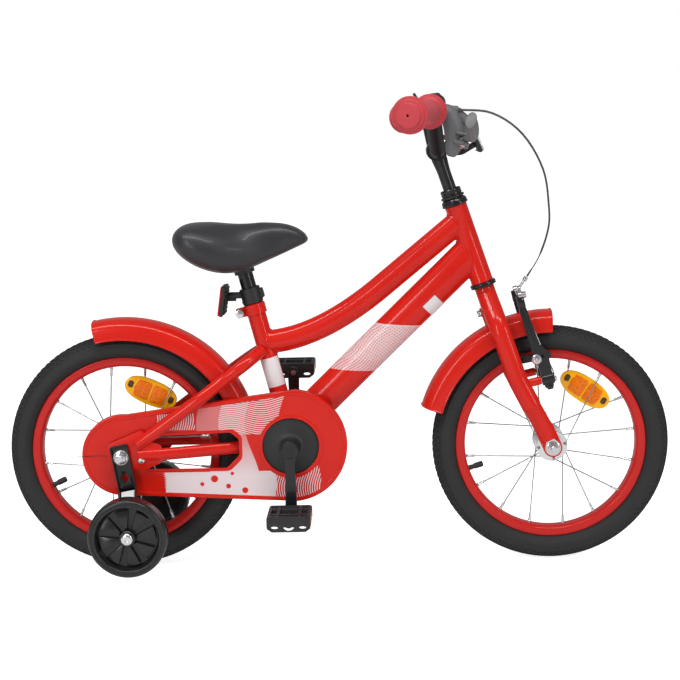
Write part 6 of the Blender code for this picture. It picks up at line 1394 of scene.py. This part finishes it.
def make_pad(side, label):
    centre = pad_centre(side)
    angle = math.atan2(centre.z - front_axle.z, centre.x - front_axle.x)
    turn = Matrix.Rotation(math.pi / 2 - angle, 4, "Y")
    body = "brake_arm_" + label
    shape = bmesh.new()
    middle = Matrix.Translation(centre + SIDE * side * (0.0023 + 0.00425)) @ turn
    block(shape, middle, (0.046, 0.0083, 0.009), 0.0016)
    for index in range(3):
        groove = shift(-0.0115 + index * 0.0115, -side * 0.0026, 0)
        block(shape, middle @ groove, (0.0075, 0.0032, 0.0094), 0.0004)
    shoe = Matrix.Translation(centre + SIDE * side * 0.0118) @ turn
    block(shape, shoe, (0.04, 0.003, 0.011), 0.001)
    finish_piece("pad_block_" + label, shape, black_plastic, body, ["brake_pad_" + label], "black_plastic")
    shape = bmesh.new()
    stud = along(centre, SIDE * side)
    turned(shape, mm((0, 12), (3, 12), (3, 17), (6.6, 17.6), (7, 19.6), (6, 22.6), (3, 23.2), (3, 31.6),
                     (0, 31.6)), stud, 32)
    turned(shape, mm((0, 32.2), (7.2, 32.2), (7.4, 33.2), (6, 34.6), (0, 34.6)), stud, 32)
    hex_nut(shape, stud, 0.0096, 0.034, 0.0382, 0.0006)
    rod(shape, stud, 0.0026, 0.035, 0.0402, 20, 0.0005)
    finish_piece("pad_stud_" + label, shape, zinc_steel, body, slot="zinc")


for side, label in SIDES:
    make_brake_arm(side, label)
    make_pad(side, label)

# %% Bent guide and tie wire
guide_shape = bmesh.new()
guide = bent_route([noodle_top, tie + Vector((0.004, 0.0575, 0.004)), tie + Vector((0, 0.052, 0)),
                    tie + Vector((0, 0.026, 0))], 0.02, 8)
swept(guide_shape, guide, 0.0021, sides=18, start_side=(1, 0, 0))
rod(guide_shape, across(tie), 0.0009, -0.053, 0.041, 10, 0.0002)
guide_way = (guide[1] - guide[0]).normalized()
turned(guide_shape, mm((0, 0), (3.4, 0), (3.6, 0.6), (3.6, 6), (3, 6.8), (0, 6.8)),
       along(noodle_top - guide_way * 0.0002, guide_way), 24)
rod(guide_shape, across(tie), 0.0036, 0.0316, 0.0364, 24, 0.0006)
finish_piece("cable_guide", guide_shape, zinc_steel, "brake_arm_left", ["brake_cable_guide"], "zinc")

# %% [markdown]
# ## Mudguards
# Each mudguard is a pressed steel channel: a flat-topped section with deep sides, spun round the
# axle for part of a turn. Its edges are rolled into a thin bead, so no raw sheet shows.

# %% Mudguard sections
MUDGUARD_EDGE = 0.166
MUDGUARD_HALF = 0.03
SHEET = 0.0012


def mudguard_section():
    """The sheet's outer line from edge to edge, as (radius, side)."""
    half = [(MUDGUARD_EDGE, -MUDGUARD_HALF), (0.17, -0.03), (0.176, -0.0297), (0.1815, -0.0291),
            (0.1853, -0.0277), (0.1884, -0.0254), (0.1906, -0.0226), (0.1925, -0.019), (0.1941, -0.0145),
            (0.195, -0.009), (0.1954, -0.004)]
    return half + [(radius, -side) for radius, side in half[::-1]]


def make_mudguard(axle, start, stop):
    line = mudguard_section()
    inner = []
    for index, (radius, side) in enumerate(line):
        before, after = line[max(0, index - 1)], line[min(len(line) - 1, index + 1)]
        slope = Vector((after[0] - before[0], after[1] - before[1])).normalized()
        inner.append((radius - slope.y * SHEET, side + slope.x * SHEET))
    loop = line + inner[::-1]
    shape = bmesh.new()
    verts = [shape.verts.new(wheel_point(axle, radius, start, side)) for radius, side in loop]
    edges = [shape.edges.new(pair) for pair in zip(verts, verts[1:] + verts[:1])]
    steps = max(24, round(math.degrees(stop - start)))
    bmesh.ops.edgeloop_fill(shape, edges=edges)
    spun = bmesh.ops.spin(shape, geom=verts + edges, cent=axle, axis=(0, -1, 0), dvec=(0, 0, 0),
                          angle=stop - start, steps=steps)["geom_last"]
    bmesh.ops.edgeloop_fill(shape, edges=[item for item in spun if isinstance(item, bmesh.types.BMEdge)])
    for side in (-1, 1):
        out = side * (MUDGUARD_HALF - 0.0004)
        bead = [wheel_point(axle, MUDGUARD_EDGE, start + (stop - start) * index / steps, out)
                for index in range(steps + 1)]
        swept(shape, bead, 0.0014, sides=10)
    for angle in (start, stop):
        rim = [wheel_point(axle, radius, angle, side * 0.985) for radius, side in line]
        swept(shape, rim, 0.0011, sides=10, start_side=wheel_point(Vector(), 1, angle + math.pi / 2))
    return shape


front_guard = make_mudguard(front_axle, math.radians(89.5), math.radians(162.4))
block(front_guard, upright(steer_point(-0.0525, -0.0158), steer_up), (0.002, 0.016, 0.034), 0.0006)
finish_piece("front_guard_sheet", front_guard, red_paint, "steering", ["front_mudguard"], "red_paint")
front_guard_bolt = bmesh.new()
flanged_nut(front_guard_bolt, along(steer_point(-0.0425, -0.0158), -steer_ahead), 0.0008, 0.0058,
            0.0085, 0.0058)
finish_piece("front_guard_bolt", front_guard_bolt, zinc_steel, "steering", slot="zinc")
rear_guard = make_mudguard(rear_axle, math.radians(9), math.radians(102.5))
finish_piece("rear_guard_sheet", rear_guard, red_paint, "frame", ["rear_mudguard"], "red_paint")
rear_guard_nut = bmesh.new()
flanged_nut(rear_guard_nut, along(rear_axle + stay_way * 0.1875, -stay_way), -0.0002, 0.006, 0.0085, 0.0056)
finish_piece("rear_guard_nut", rear_guard_nut, zinc_steel, "frame", slot="zinc")

# %% [markdown]
# ## Chain guard
# The guard is one pressing: a flat face with a deep rim round it, a long slot for the chain stay
# and a round opening for the crank. Its edges stand up as beads. The face carries a print of
# waves, pale ground and open dots, as ink laid over the paint in the shader.

# %% Guard outlines
GUARD_FRONT = 0.0814
GUARD_REAR = 0.0586
GUARD_FACE = 0.049
GUARD_DEPTH = 0.0165
GUARD_SHEET = 0.0018
GUARD_HOLE = 0.0407


def belt(front, rear, steps=48):
    """The outline of a belt round the crank axis and the rear axle."""
    touch = math.acos((front - rear) / (crank_axis.x - rear_axle.x))
    return (arc(crank_axis.x, crank_axis.z, front, -touch, touch, steps)
            + arc(rear_axle.x, rear_axle.z, rear, touch, math.tau - touch, steps))


def slot_outline(grow):
    x0, x1 = rear_axle.x + 0.033 - grow, crank_axis.x - 0.0745 + grow
    top, bottom = rear_axle.z + 0.031 + grow, rear_axle.z - 0.0205 - grow
    return rounded([(x0, bottom), (x1 - 0.018, bottom), (x1, bottom + 0.018), (x1, top - 0.01),
                    (x1 - 0.012, top), (x0, top - 0.004)], 0.008 + grow, 8)


def circle(centre, radius, steps=64):
    return arc(centre.x, centre.z, radius, 0, math.tau, steps)[:-1]


def guard_print(tree, x, y, z):
    """Waves in two headings beside a pale ground that carries a few open dots."""
    def field(across_value, low, high, up_value, bottom, top):
        return both(tree, band(tree, across_value, low, high), band(tree, up_value, bottom, top))

    far, left = slanted(tree, x, z, rear_axle, 0)
    down = both(tree, left, -1)
    bent = maths(tree, "ADD", far, both(tree, maths(tree, "SINE", both(tree, left, 38)), 0.01))
    pale = either(tree, band(tree, bent, 0.118, 0.188), field(bent, 0.052, 0.212, down, 0.026, 0.07))
    fade = add_node(tree, "MapRange", Value=down, i1=-0.03, i2=0.032, i3=0.24, i4=0.9).outputs[0]
    level_lines = wave_lines(tree, far, left, 0.0031, 0.0045, 0.09, 0.44)
    upright_lines = wave_lines(tree, left, far, 0.0034, 0.004, 0.07, 0.4)
    level_fields = either(tree, field(bent, 0.15, 0.236, left, 0.028, 0.09),
                          field(bent, 0.05, 0.104, down, 0.026, 0.05))
    upright_fields = either(tree, field(bent, 0.206, 0.276, down, 0.02, 0.076),
                            field(far, 0.052, 0.106, left, 0.036, 0.06))
    inked = either(tree, both(tree, level_fields, level_lines), both(tree, upright_fields, upright_lines))
    amount = either(tree, both(tree, pale, fade), both(tree, inked, 0.86))
    for dot_x, dot_z, size in ((0.132, -0.0365, 0.0052), (0.152, -0.0475, 0.0036), (0.158, -0.029, 0.0026),
                               (0.114, -0.044, 0.003), (0.176, -0.054, 0.0044)):
        squares = [maths(tree, "POWER", maths(tree, "SUBTRACT", value, middle), 2)
                   for value, middle in ((far, dot_x), (left, dot_z))]
        gap = maths(tree, "SQRT", maths(tree, "ADD", *squares))
        amount = both(tree, amount, maths(tree, "GREATER_THAN", gap, size))
    return both(tree, amount, maths(tree, "LESS_THAN", y, -GUARD_FACE + 0.0012))


# %% Guard face, rim and beads
wave_paint = printed_paint("red paint with waves and dots", guard_print)
face_shape = bmesh.new()
plate(face_shape, belt(GUARD_FRONT - 0.0006, GUARD_REAR - 0.0006), side_plane(-GUARD_FACE + 0.0015),
      GUARD_SHEET, holes=[slot_outline(0.0004), circle(crank_axis, GUARD_HOLE + 0.0004),
                          circle(rear_axle, 0.0105, 32)])
finish_piece("guard_face", face_shape, wave_paint, "frame", ["chain_guard"], "red_paint")
rim_shape = bmesh.new()
middle = side_plane(-GUARD_FACE + GUARD_DEPTH / 2)
plate(rim_shape, belt(GUARD_FRONT, GUARD_REAR), middle, GUARD_DEPTH - 0.0006,
      holes=[belt(GUARD_FRONT - GUARD_SHEET, GUARD_REAR - GUARD_SHEET)], edge=0.0006)
bead_plane = side_plane(-GUARD_FACE + 0.0009)
plate(rim_shape, belt(GUARD_FRONT - 0.0003, GUARD_REAR - 0.0003), bead_plane, 0.0018,
      holes=[belt(GUARD_FRONT - 0.0062, GUARD_REAR - 0.0062)], edge=0.0007)
plate(rim_shape, slot_outline(0.0046), bead_plane, 0.0018, holes=[slot_outline(0)], edge=0.0006)
plate(rim_shape, circle(crank_axis, GUARD_HOLE + 0.0058), bead_plane, 0.0018,
      holes=[circle(crank_axis, GUARD_HOLE)], edge=0.0006)
finish_piece("guard_rim", rim_shape, red_paint, "frame", slot="red_paint")
seam_shape = bmesh.new()
for ahead, out, size in ((-0.0335, 0.048, (0.047, 0.0012, 0.0006)),
                         (-0.0575, 0.0486, (0.016, 0.0012, 0.0005)),
                         (-0.05, 0.0486, (0.016, 0.0012, 0.0005))):
    block(seam_shape, Matrix.Translation(rear_point(ahead, -out, 0)), size, 0)
finish_piece("guard_seam", seam_shape, black_plastic, "frame", slot="red_paint")

# %% [markdown]
# ## Crank, pedals and chain
# The chainring's teeth hide behind the guard. A black disc on its carrier fills the opening. The
# cranks are forged bars, the pedals moulded cages on a barrel with reflectors at both ends. The
# chain runs round ring and sprocket on its pitch line, link by link.

# %% Chainring, cranks and sprocket
CHAIN_PITCH = 0.0127
CHAIN_LINE = 0.039
RING_TEETH = 28
SPROCKET_TEETH = 16


def pitch_radius(teeth):
    return CHAIN_PITCH / 2 / math.sin(math.pi / teeth)


def tooth_outline(centre, teeth):
    outline = []
    for tooth in range(teeth):
        for share, reach in ((-0.5, -0.0035), (-0.22, -0.0026), (-0.09, 0.0022), (0.0, 0.0026),
                             (0.09, 0.0022), (0.22, -0.0026)):
            spot = wheel_point(centre, pitch_radius(teeth) + reach, math.tau * (tooth + share) / teeth)
            outline.append((spot.x, spot.z))
    return outline


ring_shape = bmesh.new()
crank_place = along(crank_axis, -SIDE)
plate(ring_shape, tooth_outline(crank_axis, RING_TEETH), side_plane(-CHAIN_LINE), 0.0024,
      holes=[circle(crank_axis, 0.0125, 40)])
turned(ring_shape, mm((7.8, 37.2), (30, 37.8), (30, 40.2), (13.5, 40.4), (13.5, 47), (7.8, 47)), crank_place,
       56)
finish_piece("chainring_steel", ring_shape, chain_steel, "crank", slot="chain_steel")
disc = mm((7.8, 46.2), (39.2, 46.2), (39.7, 46.6), (39.7, 47.4), (39.2, 48), (37.7, 48.3), (37.4, 47.8),
          (36.4, 47.8), (36.2, 48.2), (19, 48.4), (18, 48.9), (16.5, 49.6), (15.2, 50.4), (14.8, 52),
          (14, 52.8), (13.2, 54), (12.8, 58), (12.5, 66), (7.8, 66.7))
turned_piece("chainring_disc", disc, crank_place, 80, black_plastic, "crank", ["chainring"], "black_plastic")

CRANK_LENGTH = 0.089


def crank_outline(side):
    lower = arc(0, 0, 0.0125, math.pi, math.tau, 20)
    upper = arc(0, CRANK_LENGTH, 0.0085, 0, math.pi, 16)
    right = mm((12.1, 4), (10.5, 9.5), (8.5, 14.5), (7.4, 20), (7, 30))
    left = [(-x, z) for x, z in right[::-1]]
    return [(crank_axis.x + x, crank_axis.z + side * z) for x, z in lower + right + upper + left]


for side, label in SIDES:
    arm_shape = bmesh.new()
    plate(arm_shape, crank_outline(side), side_plane(side * 0.0725), 0.011, edge=0.0022)
    boss = across(crank_axis, side)
    rod(arm_shape, boss, 0.0122, 0.066, 0.079, 40, 0.001)
    if side > 0:
        rod(arm_shape, boss, 0.0074, -0.074, 0.07, 24, 0.0004)
    pipe(arm_shape, boss, 0.0068, 0.004, 0.0778, 0.0797, 32, 0.0004)
    rod(arm_shape, boss, 0.004, 0.077, 0.0791, 24, 0.0006)
    finish_piece("crank_forging_" + label, arm_shape, black_paint, "crank", ["crank_arm_" + label],
                 "black_paint")
    steel_shape = bmesh.new()
    pedal_eye = across(wheel_point(crank_axis, side * CRANK_LENGTH, math.pi / 2), side)
    rod(steel_shape, pedal_eye, 0.0045, 0.067, 0.144, 24, 0.0006)
    hex_nut(steel_shape, pedal_eye, 0.013, 0.0782, 0.0808, 0.0005)
    finish_piece("crank_steel_" + label, steel_shape, zinc_steel, "crank", slot="zinc")

sprocket_shape = bmesh.new()
sprocket_place = along(rear_axle, -SIDE)
pipe(sprocket_shape, sprocket_place, 0.016, 0.0082, 0.0378, 0.0426, 48, 0.0004)
plate(sprocket_shape, tooth_outline(rear_axle, SPROCKET_TEETH), side_plane(-CHAIN_LINE), 0.0024,
      holes=[circle(rear_axle, 0.014, 40)])
finish_piece("sprocket_steel", sprocket_shape, chain_steel, "rear_sprocket", ["rear_sprocket"],
             "chain_steel")

# %% Chain links
def chain_line_points():
    """Pin centres along the chain's pitch line, as many as links fit it."""
    line = [Vector((x, 0, z)) for x, z in belt(pitch_radius(RING_TEETH), pitch_radius(SPROCKET_TEETH), 96)]
    line.append(line[0])
    marks = [0.0]
    for one, following in zip(line, line[1:]):
        marks.append(marks[-1] + (following - one).length)
    count = 2 * round(marks[-1] / CHAIN_PITCH / 2)
    points = []
    at = 0
    for index in range(count):
        goal = marks[-1] * index / count
        while marks[at + 1] < goal:
            at += 1
        share = (goal - marks[at]) / (marks[at + 1] - marks[at])
        points.append(line[at].lerp(line[at + 1], share))
    return points


LINK_RADIUS = 0.0042
links = chain_line_points()
link_shape = bmesh.new()
for index, (pin, following) in enumerate(zip(links, links[1:] + links[:1])):
    gap = 0.0022 if index % 2 else 0.0029
    step = following - pin
    way = step.normalized()
    outline = (arc(0, 0, LINK_RADIUS, math.pi / 2, math.pi * 1.5, 5)
               + arc(step.length, 0, LINK_RADIUS, -math.pi / 2, math.pi / 2, 5))
    for side in (-1, 1):
        flat = basis_place(pin + SIDE * (side * gap - CHAIN_LINE), way, way.cross(SIDE), -SIDE)
        plate(link_shape, outline, flat, 0.0007)
    rod(link_shape, across(pin - SIDE * CHAIN_LINE), 0.002, -0.0033, 0.0033, 8, 0.0001)
finish_piece("chain_links", link_shape, chain_steel, "frame", ["chain"], "chain_steel")

# %% Pedals
def ellipse(x, y, half_wide, half_high, steps):
    angles = [math.tau * index / steps for index in range(steps)]
    return [(x + half_wide * math.cos(angle), y + half_high * math.sin(angle)) for angle in angles]


PEDAL_BARS = (-0.0275, -0.015, 0.015, 0.0275)
GRIP_ROWS = 7
for side, label in SIDES:
    centre = joint_point("pedal_%s_spin" % label)
    pedal_place = Matrix.Translation(centre)
    body = "pedal_" + label
    shape = bmesh.new()
    outline = rounded(mm((-30.5, -6), (-23.5, -11), (23.5, -11), (30.5, -6), (30.5, 11), (-30.5, 11)),
                      0.0034, 5)
    smile = arc(0, -0.001, 0.0088, math.pi * 1.12, math.pi * 1.88, 12)
    windows = [smile] + [ellipse(x, -0.005, 0.0052, 0.0022, 16) for x in (-0.0195, 0.0195)]
    for out in (0.0315, -0.0315):
        plate(shape, outline, pedal_place @ side_plane(side * out), 0.005, holes=windows, edge=0.0008)
    for x in PEDAL_BARS[::3]:
        block(shape, pedal_place @ shift(x, 0, 0.0022), (0.0055, 0.063, 0.017), 0.0014)
    for x in PEDAL_BARS[1:3]:
        block(shape, pedal_place @ shift(x, 0, 0.0062), (0.004, 0.062, 0.009), 0.001)
    for y in (-0.0155, 0.0155):
        block(shape, pedal_place @ shift(0, y, 0.0066), (0.056, 0.004, 0.008), 0.001)
    for row in range(GRIP_ROWS):
        for x in PEDAL_BARS:
            rib = pedal_place @ shift(x, (row - (GRIP_ROWS - 1) / 2) * 0.009, 0.0104)
            block(shape, rib, (0.0046, 0.003, 0.0012), 0.0003, 1)
    pipe(shape, across(centre, side), 0.007, 0.0048, -0.0335, 0.029, 36, 0.0006)
    finish_piece("pedal_cage_" + label, shape, black_plastic, body, ["pedal_" + label], "black_plastic")
    shape = bmesh.new()
    for x in (-0.0296, 0.0296):
        block(shape, pedal_place @ shift(x, 0, -0.001), (0.0016, 0.04, 0.011), 0.0004)
    finish_piece("pedal_reflectors_" + label, shape, amber_cells, body, slot="orange_lens")

# %% [markdown]
# ## Stabilisers
# A channel of pressed steel hangs from each end of the rear axle, cranked outwards. A pale patch
# on its outward bend is a painted reflection of the light there. The wheel is one moulding: a ring
# for the floor, a dish inside it with fan blades, and a hub on a bolt with a bright cap.

# %% Brackets
BRACKET_PLANE = 0.0593
BRACKET_FAR = 0.1105
BRACKET_SHEET = 0.003
STABILISER_AHEAD = joint_point("stabiliser_left_spin").x - rear_axle.x
STABILISER_DROP = rear_axle.z - joint_point("stabiliser_left_spin").z
bracket_lean = math.atan2(STABILISER_AHEAD, STABILISER_DROP)
bracket_length = math.hypot(STABILISER_AHEAD, STABILISER_DROP)
SLOPE_TOP = bracket_length * 0.5
SLOPE_END = bracket_length * 0.84
FAN_BLADES = 8
wheel_profile = mm((4.5, -14.5), (11, -14.5), (11.5, -14), (11.5, -3), (41.6, -3), (42, -4.4), (43.4, -13.8),
                   (44, -14.8), (51.8, -14.8), (53.2, -14.4), (54.8, -13), (55.4, -11.2), (55.6, -6),
                   (55.6, 6), (55.4, 11.2), (54.8, 13), (53.2, 14.6), (51.6, 15), (50.4, 15), (50, 14.4),
                   (48.8, 14.4), (48.4, 15), (46.4, 15), (45.6, 14.6), (45, 13.6), (42, 2), (41.4, 1),
                   (15, 1), (12.5, 1.6), (11.8, 3), (11.2, 12), (10.6, 12.6), (4.5, 12.6))


def make_stabiliser(side, label):
    base = Matrix.Translation(rear_axle) @ Matrix.Rotation(-bracket_lean, 4, "Y")
    edge_on = base @ Matrix(((0, 0, 1, 0), (1, 0, 0, 0), (0, 1, 0, 0), (0, 0, 0, 1)))
    near, far = BRACKET_PLANE, BRACKET_FAR
    near_out, far_out = near + BRACKET_SHEET, far + BRACKET_SHEET
    shape = bmesh.new()
    strip = [(near, -SLOPE_TOP + 0.004), (near, -SLOPE_TOP), (far, -SLOPE_END),
             (far, -bracket_length - 0.014), (far_out, -bracket_length - 0.014),
             (far_out, -SLOPE_END + BRACKET_SHEET / 2), (near_out, -SLOPE_TOP + BRACKET_SHEET / 2),
             (near_out, -SLOPE_TOP + 0.004)]
    plate(shape, [(side * y, z) for y, z in strip], edge_on, 0.026)
    lip = near_out + 0.0045
    ridge = [(near + 0.001, 0.016), (near + 0.001, -SLOPE_TOP), (far + 0.001, -SLOPE_END),
             (far_out, -SLOPE_END + 0.001), (lip, -SLOPE_TOP + 0.006), (lip, 0.015)]
    for x in (-0.012, 0.012):
        plate(shape, [(side * y, z) for y, z in ridge], edge_on @ shift(0, 0, x), 0.002, edge=0.0006)
    middle = side * (near + near_out) / 2
    face = base @ Matrix(((1, 0, 0, 0), (0, 0, 1, middle), (0, 1, 0, 0), (0, 0, 0, 1)))
    outline = rounded([(-0.013, -SLOPE_TOP), (0.013, -SLOPE_TOP), (0.013, 0.018), (-0.013, 0.018)], 0.003, 5)
    holes = [ellipse(0, 0, 0.0049, 0.0049, 24), ellipse(0, -0.03, 0.0046, 0.006, 24)]
    plate(shape, outline, face, BRACKET_SHEET, holes=holes, edge=0.0006)
    finish_piece("bracket_channel_" + label, shape, black_paint, "frame", ["stabiliser_bracket_" + label],
                 "black_paint")
    # Painted reflection: a pale patch of label paper on the outward bend, where the web catches the light.
    shape = bmesh.new()
    slope_way = Vector((0, side * (far - near), SLOPE_TOP - SLOPE_END)).normalized()
    slope_out = Vector((0, side * (SLOPE_END - SLOPE_TOP), far - near)).normalized()
    reflection_patch_at = Vector((0, side * near_out, -SLOPE_TOP + 0.0015)) + slope_way * 0.018 + slope_out * 0.0006
    ahead = Vector((1, 0, 0))
    block(shape, base @ basis_place(reflection_patch_at, ahead, slope_way, ahead.cross(slope_way)),
          (0.019, 0.032, 0.0006), 0.0001, 1)
    finish_piece("bracket_painted_reflection_" + label, shape, label_paper, "frame", slot="black_paint")
    place = across(joint_point("stabiliser_%s_spin" % label), side)
    bolt = mm((0, -17.5), (4.1, -17.5), (4.1, 12.8), (8.5, 13.2), (8.6, 14.6), (8, 15.6), (6.2, 16.6),
              (4, 17), (3, 16.8), (2.6, 15), (0, 15))
    turned_piece("stabiliser_bolt_" + label, bolt, place, 40, hub_steel, "frame", slot="zinc")
    shape = bmesh.new()
    turned(shape, wheel_profile, place, 96)
    sector = arc(0, 0, 0.0398, -0.25, 0.25, 10) + arc(0, 0, 0.0125, 0.13, -0.13, 4)
    tilt = shift(0, 0, 0.004) @ Matrix.Rotation(math.radians(10), 4, "X")
    for blade_index in range(FAN_BLADES):
        turn = Matrix.Rotation(math.tau * (blade_index + 0.25) / FAN_BLADES, 4, "Z")
        plate(shape, sector, place @ turn @ tilt, 0.0052, edge=0.0009)
    finish_piece("stabiliser_tread_" + label, shape, shiny_plastic, "stabiliser_wheel_" + label,
                 ["stabiliser_wheel_" + label], "black_plastic")


for side, label in SIDES:
    make_stabiliser(side, label)

# %% [markdown]
# ## Saddle
# The saddle is a soft shell over foam. Rings across its length are bridged into a cage a little
# smaller than the real one, remeshed finely and blown up as cloth, so the vinyl swells as foam
# pushes it. A socket under it takes the pillar.

# %% Saddle cage and cloth
SADDLE_LENGTH = 0.2
SADDLE_HALF = 0.069
SADDLE_CROWN = 0.0755
CAGE_SHRINK = 0.045
SADDLE_STATIONS = ((0.004, 0.42, 0.72, 0.6), (0.03, 0.74, 0.86, 0.46), (0.08, 0.92, 0.955, 0.3),
                   (0.17, 1.0, 0.985, 0.135), (0.26, 0.98, 0.945, 0.035), (0.34, 0.92, 0.915, -0.015),
                   (0.42, 0.82, 0.893, -0.025), (0.5, 0.7, 0.882, 0.005), (0.58, 0.59, 0.888, 0.085),
                   (0.66, 0.5, 0.905, 0.19), (0.74, 0.43, 0.925, 0.285), (0.82, 0.38, 0.93, 0.375),
                   (0.9, 0.355, 0.865, 0.462), (0.96, 0.33, 0.765, 0.52), (0.996, 0.25, 0.655, 0.555))
saddle_base = seat_point(0.256)
saddle_tail = saddle_base.x - 0.104
saddle_vinyl = new_finish("grained saddle vinyl", (0.011, 0.0115, 0.015), (0.017, 0.0175, 0.022), 0.46,
                          grain=0.1, grain_scale=1500, coat=0.1, rough_range=0.08, sheen=0.1)


def saddle_ring(share, width, top, bottom, shrink):
    half_ring = [(0, 1.0), (0.3, 0.995), (0.58, 0.965), (0.8, 0.885), (0.94, 0.74), (1.0, 0.54),
                 (0.975, 0.34), (0.88, 0.16), (0.7, 0.05), (0.42, 0.012), (0, 0.008)]
    around = half_ring + [(-a, h) for a, h in half_ring[-2:0:-1]]
    middle = (top + bottom) / 2
    x = saddle_tail + SADDLE_LENGTH * (0.5 + (share - 0.5) * (1 - shrink * 0.2))
    points = []
    for across_share, height in around:
        z = bottom + (top - bottom) * height
        z = middle + (z - middle) * (1 - shrink)
        y = -SADDLE_HALF * width * across_share * (1 - shrink)
        points.append(Vector((x, y, saddle_base.z + z * SADDLE_CROWN)))
    return points


def saddle_cage(shape, shrink):
    rings = []
    for station in SADDLE_STATIONS:
        verts = [shape.verts.new(point) for point in saddle_ring(*station, shrink)]
        rings.append([shape.edges.new(pair) for pair in zip(verts, verts[1:] + verts[:1])])
    for one, following in zip(rings, rings[1:]):
        bmesh.ops.bridge_loops(shape, edges=one + following)
    for ring in (rings[0], rings[-1]):
        bmesh.ops.edgeloop_fill(shape, edges=ring)


def apply_modifiers(piece):
    graph = bpy.context.evaluated_depsgraph_get()
    baked = bpy.data.meshes.new_from_object(piece.evaluated_get(graph))
    old = piece.data
    piece.modifiers.clear()
    piece.data = baked
    bpy.data.meshes.remove(old)


cage_shape = bmesh.new()
saddle_cage(cage_shape, CAGE_SHRINK)
saddle = finish_piece("saddle_cover", cage_shape, saddle_vinyl, "seat_post", ["saddle"], "saddle_vinyl", 180)
soften = saddle.modifiers.new("Subdivision", "SUBSURF")
soften.levels = soften.render_levels = 2
remesh = saddle.modifiers.new("Remesh", "REMESH")
remesh.mode = "VOXEL"
remesh.voxel_size = 0.004
apply_modifiers(saddle)
print("saddle remeshed to", len(saddle.data.vertices), "points")

# %% Blow the cover up
SADDLE_CAP = 0.005
CLOTH_FRAMES = 20
before = [vert.co.copy() for vert in saddle.data.vertices]
cloth = saddle.modifiers.new("Cloth", "CLOTH")
cloth.settings.quality = 6
cloth.settings.mass = 0.3
cloth.settings.tension_stiffness = cloth.settings.compression_stiffness = 40
cloth.settings.shear_stiffness = 20
cloth.settings.bending_stiffness = 4
cloth.settings.use_pressure = True
cloth.settings.uniform_pressure_force = 4
cloth.settings.effector_weights.gravity = 0
cloth.collision_settings.use_collision = False
for moment in range(1, CLOTH_FRAMES + 1):
    bpy.context.scene.frame_set(moment)
apply_modifiers(saddle)
for vert, start in zip(saddle.data.vertices, before):
    move = vert.co - start
    if move.length > SADDLE_CAP:
        vert.co = start + move.normalized() * SADDLE_CAP
bpy.context.scene.frame_set(1)
smoother = saddle.modifiers.new("Smooth", "SMOOTH")
smoother.iterations = 6
final = saddle.modifiers.new("Subdivision", "SUBSURF")
final.levels = final.render_levels = 1
apply_modifiers(saddle)
saddle.data.shade_smooth()

# %% Saddle base
base_shape = bmesh.new()
socket = along(seat_point(SEAT_TUBE_LENGTH), seat_up)
pipe(base_shape, socket, 0.015, 0.0116, 0.0455, 0.052, 32, 0.0008)
finish_piece("saddle_socket", base_shape, black_plastic, "seat_post", slot="black_plastic")

# %% [markdown]
# ## Solids that stay
# The bottom bracket and the brake's reaction arm stay as the frame made them, in zinc and black.

# %% Finish what stays
for node, material in (("bottom_bracket", zinc_steel), ("brake_reaction_arm", black_paint)):
    solid = frame["nodes"][node]
    solid.data.materials.clear()
    solid.data.materials.append(material)
